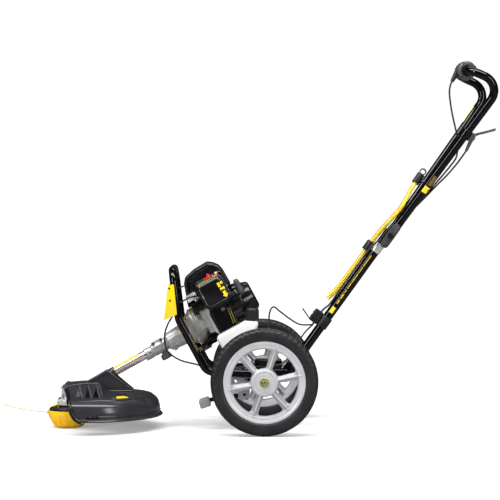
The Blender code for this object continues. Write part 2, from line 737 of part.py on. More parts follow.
# Shaft, coupler and cone
def shaft_parts():
    tube = ring(TUBE_RADIUS - TUBE_WALL, TUBE_RADIUS, TUBE_START, TUBE_END, 16, "X")
    add("shaft_tube", tube, shaft_line, CHROME)

    tube_bore = TUBE_RADIUS + GAP
    sleeve = lathe(
        [
            (SLEEVE_START, tube_bore),
            (SLEEVE_START, SLEEVE_RADIUS),
            (COUPLER_START, SLEEVE_RADIUS),
            (COUPLER_START + 0.003, COUPLER_RADIUS),
            (COUPLER_END - 0.002, COUPLER_RADIUS),
            (COUPLER_END, COUPLER_RADIUS - 0.002),
            (COUPLER_END, INNER_SHAFT_RADIUS + 0.003),
            (TUBE_END + GAP, INNER_SHAFT_RADIUS + 0.003),
            (TUBE_END + GAP, tube_bore),
        ],
        16,
        "X",
    )
    ridge = box((COUPLER_START + 0.006, -0.011, 0.013), (COUPLER_END - 0.006, 0.011, 0.0235), 0.002)
    unite(sleeve, ridge)
    slot = box((COUPLER_START + 0.008, -0.0008, TUBE_RADIUS + 0.003), (COUPLER_END - 0.008, 0.0008, 0.030))
    cut(sleeve, slot)
    stud_room = KNOB_STUD_RADIUS + TURN_GAP
    stud_hole = cylinder(stud_room, -0.03, -TUBE_RADIUS - 0.0025, 12, "Z", (KNOB_PLACE, 0, 0))
    cut(sleeve, stud_hole)
    add("coupler", sleeve, shaft_line, ALUMINIUM)

    knob_line = frame_at("knob_line", (KNOB_PLACE, 0.0, 0.0), 0.0, shaft_line)
    top = -(COUPLER_RADIUS + GAP)
    half = KNOB_SIZE / 2
    knob = box((-half, -half, top - KNOB_HEIGHT), (half, half, top), 0.004)
    stud = cylinder(KNOB_STUD_RADIUS, top - 0.004, -TUBE_RADIUS - 0.0035, 12)
    add("coupler_knob", unite(knob, stud), knob_line, MID_GREY)

    nose = COUPLER_END + GAP
    cone_bore = INNER_SHAFT_RADIUS + 0.003
    cone = lathe(
        [
            (nose, cone_bore),
            (nose, CONE_NOSE_RADIUS - 0.006),
            (nose + 0.006, CONE_NOSE_RADIUS),
            (nose + 0.055, CONE_BASE_RADIUS - 0.002),
            (CLUTCH_START - 0.006, CONE_BASE_RADIUS),
            (CLUTCH_START - GAP, CLUTCH_NOSE_RADIUS - 0.003),
            (CLUTCH_START - GAP, cone_bore),
        ],
        24,
        "X",
    )
    lug_low, lug_high = -CONE_NOSE_RADIUS - 0.005, -CONE_NOSE_RADIUS + 0.006
    lug = box((nose + 0.010, -0.008, lug_low), (nose + 0.022, 0.008, lug_high))
    add("shaft_cone", unite(cone, lug), shaft_line, ALUMINIUM)

    cavity = DRUM_RADIUS + 0.003
    housing = lathe(
        [
            (CLUTCH_START, 0.009),
            (CLUTCH_START, CLUTCH_NOSE_RADIUS),
            (CLUTCH_START + 0.008, CLUTCH_NOSE_RADIUS + 0.004),
            (CLUTCH_START + 0.018, CLUTCH_RADIUS - 0.004),
            (CLUTCH_START + 0.020, CLUTCH_RADIUS),
            (CLUTCH_END, CLUTCH_RADIUS),
            (CLUTCH_END, cavity),
            (CLUTCH_START + 0.0050, cavity),
            (CLUTCH_START + 0.0050, 0.009),
        ],
        28,
        "X",
    )
    add("clutch_housing", housing, shaft_line, ALUMINIUM)

    drum_back = CLUTCH_START + 0.0075
    stub = CLUTCH_START + GAP
    drum = lathe(
        [
            (stub, 0.0),
            (stub, 0.008),
            (drum_back, 0.008),
            (drum_back, DRUM_RADIUS),
            (CLUTCH_END - 0.003, DRUM_RADIUS),
            (CLUTCH_END - 0.003, DRUM_RADIUS - DRUM_WALL),
            (drum_back + DRUM_WALL, DRUM_RADIUS - DRUM_WALL),
            (drum_back + DRUM_WALL, 0.0),
        ],
        24,
        "X",
    )
    add("clutch_drum", drum, shaft_line, STEEL)

    slim = BEVEL_CONE - BEVEL_FACE
    shaft_angle = math.pi / 2 - SHAFT_TILT
    pinion_angle = math.atan(math.sin(shaft_angle) / (GEAR_TEETH / PINION_TEETH + math.cos(shaft_angle)))
    gear_angle = shaft_angle - pinion_angle
    clear = 0.0004
    pinion = [
        (slim * math.cos(pinion_angle), 0.0),
        (slim * math.cos(pinion_angle), slim * math.sin(pinion_angle) - clear),
        (BEVEL_CONE * math.cos(pinion_angle), BEVEL_CONE * math.sin(pinion_angle) - clear),
        (BEVEL_CONE * math.cos(pinion_angle) + 0.004, INNER_SHAFT_RADIUS),
        (stub - GAP, INNER_SHAFT_RADIUS),
        (stub - GAP, 0.0),
    ]
    add("drive_shaft", lathe(pinion, 12, "X"), shaft_line, STEEL)

    floor = GEAR_HEIGHT - 0.024
    gear_low = GEAR_HEIGHT + slim * math.cos(gear_angle)
    gear_high = GEAR_HEIGHT + BEVEL_CONE * math.cos(gear_angle)
    case_top = gear_high + 0.009
    case = lathe(
        [
            (floor, 0.0),
            (floor, GEAR_FLANGE_RADIUS),
            (floor + 0.020, GEAR_FLANGE_RADIUS),
            (floor + 0.024, GEAR_CASE_RADIUS),
            (case_top - 0.007, GEAR_CASE_RADIUS),
            (case_top, GEAR_CASE_RADIUS - 0.009),
            (case_top, 0.0),
        ],
        24,
    )
    turn = Matrix.Translation((0, 0, GEAR_HEIGHT)) @ Matrix.Rotation(-SHAFT_TILT, 4, "Y")
    socket = moved(cylinder(GEAR_SOCKET_RADIUS, 0.0, GEAR_SOCKET_END, 20, "X"), turn)
    tab = box((-0.0240, -0.013, floor + 0.010), (-0.0180, 0.013, GUARD_BOX_TOP - GUARD_WALL - 0.001), 0.0015)
    unite(case, socket, tab)
    cavity = cylinder(GEAR_CAVITY_RADIUS, floor - GAP, gear_high + 0.0045, 20)
    cut(case, cavity, moved(cylinder(tube_bore, 0.010, 0.08, 16, "X"), turn))
    add("gear_case", case, head_line, ALUMINIUM)

    cover_top = floor - GAP
    spindle = lathe(
        [
            (BOWL_TOP - 0.010, 0.0),
            (BOWL_TOP - 0.010, SPINDLE_RADIUS),
            (cover_top + 2 * GAP, SPINDLE_RADIUS),
            (cover_top + 2 * GAP, GEAR_CAVITY_RADIUS - 0.0005),
            (floor + 0.006, GEAR_CAVITY_RADIUS - 0.0005),
            (floor + 0.006, SPINDLE_RADIUS),
            (gear_low, SPINDLE_RADIUS),
            (gear_low, slim * math.sin(gear_angle) - clear),
            (gear_high, BEVEL_CONE * math.sin(gear_angle) - clear),
            (gear_high + 0.0035, 0.008),
            (gear_high + 0.0035, 0.0),
        ],
        20,
    )
    add("head_spindle", spindle, head_line, STEEL)


# Trimmer head, turning on the spindle
def head_parts():
    cover_top = GEAR_HEIGHT - 0.024 - GAP
    cover_low = BOWL_TOP + GAP
    bore = SPINDLE_RADIUS + GAP
    cover = lathe(
        [
            (cover_low, bore),
            (cover_low, COVER_RADIUS),
            (cover_low + 0.006, COVER_RADIUS),
            (cover_low + 0.0105, COVER_RADIUS - 0.010),
            (cover_low + 0.0105, 0.022),
            (cover_top, 0.020),
            (cover_top, bore),
        ],
        28,
    )
    add("head_cover", cover, head_line, BLACK_PLASTIC)

    hole = BUMP_RADIUS + TURN_GAP
    lift = 0.003
    bowl = lathe(
        [
            (BOWL_TOP, BOWL_RADIUS - BOWL_WALL),
            (BOWL_TOP, BOWL_RADIUS),
            (BOWL_TOP - 0.009, BOWL_RADIUS),
            (0.020, BOWL_RADIUS - 0.010),
            (lift + 0.003, BOWL_FOOT_RADIUS + 0.005),
            (lift, BOWL_FOOT_RADIUS),
            (lift, hole),
            (lift + BOWL_WALL, hole),
            (lift + 0.006, BOWL_FOOT_RADIUS + 0.0025),
            (0.0215, BOWL_RADIUS - 0.0125),
            (BOWL_TOP - 0.0085, BOWL_RADIUS - BOWL_WALL),
        ],
        28,
    )
    eyelet = cylinder(LINE_RADIUS + 0.0015, -0.08, 0.08, 10, "X", (0, 0, EYELET_HEIGHT))
    add("head_bowl", cut(bowl, eyelet), head_line, YELLOW)

    spool_low = 0.0175
    spool_high = BOWL_TOP - GAP
    flange = 0.0022
    line_low = spool_low + flange + GAP
    spool = lathe(
        [
            (spool_low, 0.012),
            (spool_low, SPOOL_RADIUS - 0.0045),
            (spool_low + flange, SPOOL_RADIUS - 0.0045),
            (spool_low + flange, SPOOL_CORE),
            (spool_high - flange, SPOOL_CORE),
            (spool_high - flange, SPOOL_RADIUS),
            (spool_high, SPOOL_RADIUS),
            (spool_high, 0.012),
        ],
        24,
    )
    add("spool", spool, head_line, BLACK_PLASTIC)

    wound = ring(SPOOL_CORE + GAP, WOUND_RADIUS, line_low, spool_high - flange - GAP, 24)
    tip_rise = 0.022
    bow = 0.004
    for side in (-1, 1):
        start = WOUND_RADIUS - 0.004
        ends = []
        steps = 7
        for step in range(steps + 1):
            share = step / steps
            reach = start + (LINE_REACH - start) * share
            past = max(reach - BOWL_RADIUS, 0.0) / (LINE_REACH - BOWL_RADIUS)
            ends.append((side * reach, 0.0, EYELET_HEIGHT + tip_rise * past - bow * math.sin(math.pi * past)))
        unite(wound, sweep(ends, LINE_RADIUS, 6))
    add("cutting_line", wound, head_line, ORANGE)

    knob_line = frame_at("bump_line", (0.0, 0.0, 0.0), 0.0, head_line)
    knob = lathe(
        [
            (0.0, 0.0),
            (0.0, BUMP_RADIUS - 0.006),
            (0.003, BUMP_RADIUS),
            (0.0065, BUMP_RADIUS),
            (0.0065, 0.0110),
            (BOWL_TOP - 0.0105 - KNOB_TRAVEL, 0.0110),
            (BOWL_TOP - 0.0105 - KNOB_TRAVEL, 0.0),
        ],
        24,
    )
    add("bump_knob", knob, knob_line, YELLOW)


# Guard: a dome round the head with a raised box in front and a collar on the shaft tube
def guard_box(shrink):
    front, back = -0.030, 0.118
    top_front, top_back = -0.030, 0.098
    base_half = GUARD_BOX_HALF_BASE - shrink
    top_half = GUARD_BOX_HALF_TOP - shrink * 0.7
    top = GUARD_BOX_TOP - shrink
    base_z = GUARD_BOX_BASE - shrink
    lower = [(front, -base_half, base_z), (back - shrink, -base_half, base_z)]
    lower += [(back - shrink, base_half, base_z), (front, base_half, base_z)]
    upper = [(top_front, -top_half, top - 0.004), (top_back - shrink, -top_half, top + 0.004)]
    upper += [(top_back - shrink, top_half, top + 0.004), (top_front, top_half, top - 0.004)]
    return loft(lower, upper)


def guard_profile(shrink):
    outer = GUARD_RADIUS - shrink
    deck = GUARD_DECK - shrink
    return [
        (GUARD_LOW + 0.022, outer),
        (deck - 0.028, outer - 0.006),
        (deck - 0.015, outer - 0.021),
        (deck - 0.008, outer - 0.044),
        (deck - 0.003, outer - 0.090),
        (deck + 0.001, 0.0),
    ]


def guard_parts():
    lip = GUARD_RADIUS + GUARD_LIP
    outside = [(GUARD_LOW, lip), (GUARD_LOW + 0.008, lip), (GUARD_LOW + 0.010, GUARD_RADIUS + 0.002)]
    inside = guard_profile(GUARD_WALL)
    profile = outside + guard_profile(0.0) + inside[::-1] + [(GUARD_LOW, GUARD_RADIUS - GUARD_WALL)]
    dome = lathe(profile, GUARD_SIDES, "Z", (GUARD_BACK, 0.0, 0.0))
    web = [(0.064, 0.1085), (0.064, 0.134), (0.072, 0.1394)]
    web += [(0.1135, 0.170), (0.1395, 0.1500), (0.192, 0.1075)]
    unite(dome, guard_box(0.0), prism(web, -GUARD_COLLAR_RADIUS, GUARD_COLLAR_RADIUS))
    cut(dome, guard_box(GUARD_WALL))
    turn = Matrix.Translation((0, 0, GEAR_HEIGHT)) @ Matrix.Rotation(-SHAFT_TILT, 4, "Y")
    cut(dome, moved(cylinder(TUBE_RADIUS + GAP, 0.03, 0.25, 16, "X"), turn))
    front = [(-0.30, 0.30), (-0.30, 0.0), (0.072, 0.0), (0.072, 0.036), (0.049, 0.049), (0.035, 0.066)]
    front += [(0.022, 0.094), (0.008, 0.1175), (-0.009, 0.128), (-0.009, 0.30)]
    cut(dome, prism(front, -0.4, 0.4))
    vent_low = GUARD_DECK - 0.0020
    for place in (0.0311, 0.0573, 0.0817):
        vent = [(place, GUARD_BOX_TOP - 0.0055), (place - 0.008, vent_low), (place + 0.010, vent_low)]
        for side in (-1, 1):
            reach = sorted((side * (GUARD_BOX_HALF_TOP + 0.004), side * (GUARD_BOX_HALF_BASE - 0.024)))
            cut(dome, prism(vent, *reach))
    add("guard", dome, head_line, DARK_GREY)

    # the cutter sits flat on one facet of the inner wall and points at the head
    facet = 9.5 * 2 * math.pi / GUARD_SIDES
    wall = (GUARD_RADIUS - GUARD_WALL) * math.cos(math.pi / GUARD_SIDES) - GAP
    foot = box((wall - 0.0016, -0.012, 0.048), (wall, 0.012, 0.0585))
    edge = [(wall - 0.0008, 0.0490), (wall - 0.0008, 0.0575), (wall - 0.0100, 0.0720), (wall - 0.0270, 0.0760)]
    edge += [(wall - 0.0270, 0.0600), (wall - 0.0100, 0.0490)]
    blade = unite(foot, prism(edge, -0.0008, 0.0008))
    moved(blade, Matrix.Translation((GUARD_BACK, 0.0, 0.0)) @ Matrix.Rotation(facet, 4, "Z"))
    add("line_cutter", blade, head_line, STEEL)



# Engine
def engine_parts():
    face = CLUTCH_END + GAP
    drum_end = 0.475
    case = cylinder(CRANKCASE_NOSE_RADIUS, face, drum_end, 20, "X")
    block = box(
        (drum_end - 0.006, -CRANKCASE_HALF_WIDTH, -CRANKCASE_BOTTOM),
        (CRANKCASE_END, CRANKCASE_HALF_WIDTH, CRANKCASE_TOP),
        0.005,
    )
    unite(case, block)
    cylinder_front = CRANK_CENTRE - CYLINDER_HALF_LENGTH - 0.001
    cut(case, box((cylinder_front, -0.1, CRANKCASE_TOP), (CRANKCASE_END + 0.01, 0.1, 0.1)))
    chamber = WEB_RADIUS + 0.003
    bore = CRANK_RADIUS + TURN_GAP
    cut(
        case,
        cylinder(chamber, CRANK_CENTRE - 0.020, CRANK_CENTRE + 0.020, 20, "X"),
        cylinder(bore, face - GAP, CRANKCASE_END + GAP, 14, "X"),
        cylinder(BORE_RADIUS + 0.0005, 0.0, CRANKCASE_TOP + 0.01, 16, "Z", (CRANK_CENTRE, 0.0, 0.0)),
    )
    add("crankcase", case, shaft_line, ALUMINIUM)

    hub_start = CLUTCH_START + 0.0125
    shoe = DRUM_RADIUS - DRUM_WALL - 0.0025
    end = CRANKCASE_END + 0.040
    crank = lathe(
        [
            (hub_start, 0.0),
            (hub_start, shoe),
            (CLUTCH_END - 0.0035, shoe),
            (CLUTCH_END - 0.0035, CRANK_RADIUS),
            (CRANK_CENTRE - 0.016, CRANK_RADIUS),
            (CRANK_CENTRE - 0.016, WEB_RADIUS),
            (CRANK_CENTRE + 0.016, WEB_RADIUS),
            (CRANK_CENTRE + 0.016, CRANK_RADIUS),
            (end, CRANK_RADIUS),
            (end, 0.0),
        ],
        20,
        "X",
    )
    throw = box((CRANK_CENTRE - 0.006, -0.04, -0.04), (CRANK_CENTRE + 0.006, 0.04, 0.04))
    crank_pin = cylinder(0.006, CRANK_CENTRE - 0.010, CRANK_CENTRE + 0.010, 10, "X", (0, 0, 0.018))
    add("crankshaft", unite(cut(crank, throw), crank_pin), shaft_line, STEEL)

    wheel_front = CRANKCASE_END + 0.0035
    fly = lathe(
        [
            (wheel_front, CRANK_RADIUS + GAP),
            (wheel_front, FLYWHEEL_RADIUS),
            (wheel_front + 0.018, FLYWHEEL_RADIUS),
            (wheel_front + 0.018, FLYWHEEL_RADIUS - 0.006),
            (wheel_front + 0.010, FLYWHEEL_RADIUS - 0.008),
            (wheel_front + 0.010, 0.016),
            (wheel_front + 0.026, 0.014),
            (wheel_front + 0.026, CRANK_RADIUS + GAP),
        ],
        24,
        "X",
    )
    vanes = 6
    for number in range(vanes):
        vane = box((wheel_front + 0.009, 0.015, -0.001), (wheel_front + 0.024, FLYWHEEL_RADIUS - 0.003, 0.001))
        unite(fly, moved(vane, Matrix.Rotation(2 * math.pi * number / vanes, 4, "X")))
    add("flywheel", fly, shaft_line, ALUMINIUM)

    # cylinder: a comb of fins on a core, with a solid head
    front = CRANK_CENTRE - CYLINDER_HALF_LENGTH
    back = CRANK_CENTRE + CYLINDER_HALF_LENGTH
    low = CRANKCASE_TOP + GAP
    core = BORE_RADIUS + 0.0065
    barrel = cylinder(core, low, CYLINDER_TOP, 20, "Z", (CRANK_CENTRE, 0.0, 0.0))
    pitch = (CYLINDER_TOP - low - 0.008) / (FINS - 1)
    for number in range(FINS):
        level = low + 0.001 + number * pitch
        thickness = 0.0022 if number else 0.006
        fin = box((front, -CYLINDER_HALF_WIDTH, level), (back, CYLINDER_HALF_WIDTH, level + thickness))
        unite(barrel, fin)
    head = box((front + 0.006, -0.030, CYLINDER_TOP - 0.008), (back - 0.006, 0.030, CYLINDER_TOP + 0.005), 0.003)
    port = box((CRANK_CENTRE - 0.018, -0.0385, 0.060), (CRANK_CENTRE + 0.018, 0.0385, 0.085))
    unite(barrel, head, port)
    cut(barrel, cylinder(BORE_RADIUS, low - GAP, CYLINDER_TOP - 0.004, 16, "Z", (CRANK_CENTRE, 0.0, 0.0)))
    add("cylinder", barrel, shaft_line, ALUMINIUM)

    top = CYLINDER_TOP + 0.005 + GAP
    plug = lathe(
        [(top, 0.0), (top, 0.0095), (top + 0.006, 0.0095), (top + 0.008, 0.006), (top + 0.026, 0.005), (top + 0.028, 0.0)],
        12,
        "Z",
        (CRANK_CENTRE, 0.0, 0.0),
    )
    add("spark_plug", plug, shaft_line, STEEL)

    # shroud: a cover open below, over the cylinder and the top of the starter
    seat = STARTER_LIFT + STARTER_RADIUS + GAP
    outline = [(0.583, seat), (0.579, 0.114), (0.573, 0.129), (0.560, 0.1425), (0.544, 0.154), (0.500, 0.151)]
    outline += [(0.462, 0.139), (0.440, 0.122), (0.424, 0.091), (0.4305, 0.060)]
    cover = prism(outline, -SHROUD_HALF_WIDTH, SHROUD_HALF_WIDTH)
    inner = inset(outline, SHROUD_WALL)
    inner[0] = (outline[0][0] - SHROUD_WALL, 0.0)
    inner[-1] = (outline[-1][0] + SHROUD_WALL, 0.0)
    half = SHROUD_HALF_WIDTH - SHROUD_WALL
    cut(cover, prism(inner, -half, half))
    left = rounded_outline((0.452, 0.030), (0.572, 0.113), 0.008)
    right = rounded_outline((0.457, 0.030), (0.541, 0.114), 0.008)
    cut(cover, prism(left, -0.1, -0.03), prism(right, 0.03, 0.1))
    add("engine_shroud", cover, shaft_line, BLACK_PLASTIC)

    muffler = box((0.462, 0.0388, 0.046), (0.536, 0.0388 + MUFFLER_DEPTH, 0.109), 0.005)
    pipe = cylinder(0.0065, 0.083, 0.098, 12, "Y", (0.478, 0.0, 0.060))
    hollow = box((0.4635, 0.0403, 0.0475), (0.5345, 0.0373 + MUFFLER_DEPTH, 0.1075), 0.0045)
    cut(unite(muffler, pipe), unite(hollow, cylinder(0.0045, 0.070, 0.11, 12, "Y", (0.478, 0.0, 0.060))))
    add("muffler", muffler, shaft_line, BLACK_GLOSS)

    inner_face = -(CYLINDER_HALF_WIDTH + 0.0005 + GAP)
    body = box((0.497, -FILTER_BACK + 0.001, 0.056), (0.545, inner_face, 0.088), 0.003)
    adaptor = cylinder(0.014, -FILTER_BACK + GAP, -FILTER_BACK + 0.004, 16, "Y", (0.520, 0.0, 0.072))
    unite(body, adaptor)
    cut(body, cylinder(0.009, -0.08, -0.03, 14, "Y", (0.520, 0.0, 0.072)))
    add("carburettor", body, shaft_line, ALUMINIUM)

    shell = rounded_outline((FILTER_FRONT, FILTER_LOW), (FILTER_REAR, FILTER_HIGH), 0.014, 4)
    lid = prism(shell, -(FILTER_BACK + FILTER_DEPTH), -FILTER_BACK)
    wall = 0.0025
    inside = rounded_outline((FILTER_FRONT + wall, FILTER_LOW + wall), (FILTER_REAR - wall, FILTER_HIGH - wall), 0.012)
    cut(lid, prism(inside, -(FILTER_BACK + FILTER_DEPTH) + wall, -FILTER_BACK - wall))
    cut(lid, cylinder(0.009, -FILTER_BACK - 0.01, -FILTER_BACK + 0.01, 14, "Y", (0.520, 0.0, 0.072)))
    add("air_filter_cover", lid, shaft_line, BLACK_GLOSS)

    choke_line = frame_at("choke_line", (0.531, -0.076, FILTER_HIGH + GAP), 0.0, shaft_line)
    lever = cylinder(0.006, 0.0, 0.006, 14)
    unite(lever, box((-0.022, -0.003, 0.001), (0.0, 0.003, 0.005)), box((-0.024, -0.004, 0.001), (-0.019, 0.004, 0.011)))
    add("choke_lever", lever, choke_line, RED)


def starter_parts():
    front = CRANKCASE_END + GAP
    shoulder = front + 0.044
    nose_end = STARTER_END
    wall = STARTER_WALL
    housing = lathe(
        [
            (front, STARTER_RADIUS - wall - 0.002),
            (front, STARTER_RADIUS - 0.002),
            (shoulder - 0.006, STARTER_RADIUS),
            (shoulder, STARTER_RADIUS - 0.004),
            (nose_end - 0.004, STARTER_NOSE_RADIUS),
            (nose_end, STARTER_NOSE_RADIUS - 0.006),
            (nose_end, 0.0),
            (nose_end - wall, 0.0),
            (nose_end - wall, STARTER_NOSE_RADIUS - wall - 0.002),
            (shoulder, STARTER_RADIUS - wall - 0.004),
        ],
        24,
        "X",
        (0.0, 0.0, STARTER_LIFT),
    )
    boss = cylinder(0.009, -0.062, -0.034, 16, "Y", (0.600, 0.0, 0.040))
    keep_out = cylinder(STARTER_NOSE_RADIUS - wall - 0.003, shoulder - 0.02, nose_end - wall, 24, "X", (0, 0, STARTER_LIFT))
    cut(boss, keep_out)
    rope_hole = cylinder(0.0025, -0.07, -0.02, 10, "Y", (0.600, 0.0, 0.040))
    post = cylinder(0.006, shoulder + 0.0025, nose_end - wall / 2, 12, "X")
    unite(housing, boss, post)
    cut(housing, rope_hole)
    # the housing clears the tank below it
    cut(housing, box((front - 0.01, -0.1, -0.10), (nose_end + 0.01, 0.1, -CRANKCASE_BOTTOM + GAP)))
    add("starter_housing", housing, shaft_line, BLACK_GLOSS)

    pulley_line = frame_at("pulley_line", (shoulder + 0.004, 0.0, 0.0), 0.0, shaft_line)
    pulley = lathe(
        [
            (0.0, 0.006 + TURN_GAP),
            (0.0, PULLEY_RADIUS + 0.002),
            (0.002, PULLEY_RADIUS + 0.002),
            (0.003, PULLEY_RADIUS - 0.003),
            (0.007, PULLEY_RADIUS - 0.003),
            (0.008, PULLEY_RADIUS + 0.002),
            (0.010, PULLEY_RADIUS + 0.002),
            (0.010, 0.006 + TURN_GAP),
        ],
        24,
        "X",
    )
    add("starter_pulley", pulley, pulley_line, BLACK_PLASTIC)

    grip_line = frame_at("grip_line", (0.600, -0.062 - GAP, 0.040), 0.0, shaft_line)
    radius = 0.0085
    grip = lathe(
        [(-0.016, 0.0), (-0.016, radius - 0.003), (-0.013, radius), (0.029, radius), (0.032, radius - 0.003), (0.032, 0.0)],
        14,
        "Z",
        (-0.006, -0.006 - radius, 0.0),
    )
    stem = cylinder(0.0055, -0.010, 0.0, 12, "Y")
    add("starter_handle", unite(grip, stem), grip_line, DARK_GREY)


def tank_parts():
    top = -(CRANKCASE_BOTTOM + GAP)
    outline = [(0.470, -0.115), (0.560, -0.115), (0.578, -0.087), (0.597, -0.0695), (0.564, top), (0.463, top)]
    shell = prism(outline, -TANK_HALF_WIDTH, TANK_HALF_WIDTH)
    wall = 0.0025
    hollow = prism(inset(outline, wall), -TANK_HALF_WIDTH + wall, TANK_HALF_WIDTH - wall)
    # the filler neck stands upright on the shoulder, so it is set in the axle line's frame
    shoulder = from_shaft(0.5805, -0.059)
    turn = Matrix.Rotation(SHAFT_TILT, 4, "Y") @ Matrix.Translation((HEAD_AHEAD, 0.0, -GEAR_HEIGHT))
    neck_high = shoulder[2] + 0.011
    neck = moved(cylinder(0.0135, shoulder[2] - 0.006, neck_high, 18, "Z", (shoulder[0], -CAP_SIDE, 0.0)), turn)
    mouth = moved(cylinder(0.0105, shoulder[2] - 0.02, neck_high + GAP, 16, "Z", (shoulder[0], -CAP_SIDE, 0.0)), turn)
    unite(shell, neck)
    cut(shell, unite(hollow, mouth))
    add("fuel_tank", shell, shaft_line, TANK_WHITE)

    base = neck_high - 0.0095
    cap_line = frame_at("cap_line", (shoulder[0], -CAP_SIDE, base), 0.0, axle_line)
    cap = lathe(
        [
            (0.0, 0.0135 + TURN_GAP),
            (0.0, CAP_RADIUS),
            (CAP_HEIGHT - 0.003, CAP_RADIUS),
            (CAP_HEIGHT, CAP_RADIUS - 0.003),
            (CAP_HEIGHT, 0.0),
            (0.0100, 0.0),
            (0.0100, 0.0135 + TURN_GAP),
        ],
        20,
    )
    grip = box((-0.004, -CAP_RADIUS - 0.001, 0.004), (0.004, -CAP_RADIUS + 0.003, CAP_HEIGHT - 0.004))
    ribs = 8
    for number in range(ribs):
        turn_step = Matrix.Rotation(2 * math.pi * number / ribs, 4, "Z")
        rib = grip.copy()
        rib.data = grip.data.copy()
        bpy.context.collection.objects.link(rib)
        unite(cap, moved(rib, turn_step))
    bpy.data.objects.remove(grip, do_unlink=True)
    add("fuel_cap", cap, cap_line, BLACK_PLASTIC)


# Handle: the column stays with the chassis, the rest folds about the bolt
def column_parts():
    bore = FOLD_BOLT_RADIUS + TURN_GAP
    column = ring(COLUMN_RADIUS - COLUMN_WALL, COLUMN_RADIUS, -COLUMN_LENGTH, COLUMN_TOP, 16, "X", (0, 0, COLUMN_OFFSET))
    cut(column, cylinder(bore, -0.05, 0.05, 12, "Y"))
    add("handle_column", column, handle_line, BLACK_GLOSS)

    cheek_inner = HANDLE_FOOT_SIDE + HANDLE_RADIUS + GAP
    head_place = cheek_inner + KNUCKLE_THICKNESS + GAP
    post_inner = COLUMN_RADIUS + GAP
    post_outer = HANDLE_FOOT_SIDE - HANDLE_RADIUS - GAP
    rod = FOLD_BOLT_RADIUS
    bolt = lathe(
        [
            (-head_place - 0.005, 0.0),
            (-head_place - 0.005, 0.009),
            (-head_place, 0.009),
            (-head_place, rod),
            (-post_outer, rod),
            (-post_outer, 0.008),
            (-post_inner, 0.008),
            (-post_inner, rod),
            (post_inner, rod),
            (post_inner, 0.008),
            (post_outer, 0.008),
            (post_outer, rod),
            (head_place, rod),
            (head_place, 0.009),
            (head_place + 0.005, 0.009),
            (head_place + 0.005, 0.0),
        ],
        14,
        "Y",
    )
    add("fold_bolt", bolt, handle_line, ZINC)

    for side, suffix in ((-1, "left"), (1, "right")):
        cheek = prism(oval(KNUCKLE_LENGTH, KNUCKLE_WIDTH), cheek_inner, cheek_inner + KNUCKLE_THICKNESS)
        boss = cylinder(0.007, COLUMN_RADIUS - 0.004, cheek_inner + 0.002, 12, "Y", (-0.030, 0.0, 0.0))
        cheek = unite(cheek, boss)
        clear = cylinder(COLUMN_RADIUS + GAP, -0.1, 0.0, 16, "X", (0, 0, COLUMN_OFFSET))
        cut(cheek, clear, cylinder(bore, 0.0, 0.1, 12, "Y"))
        add("knuckle_" + suffix, moved(cheek, across(side)), handle_line, DARK_GREY)


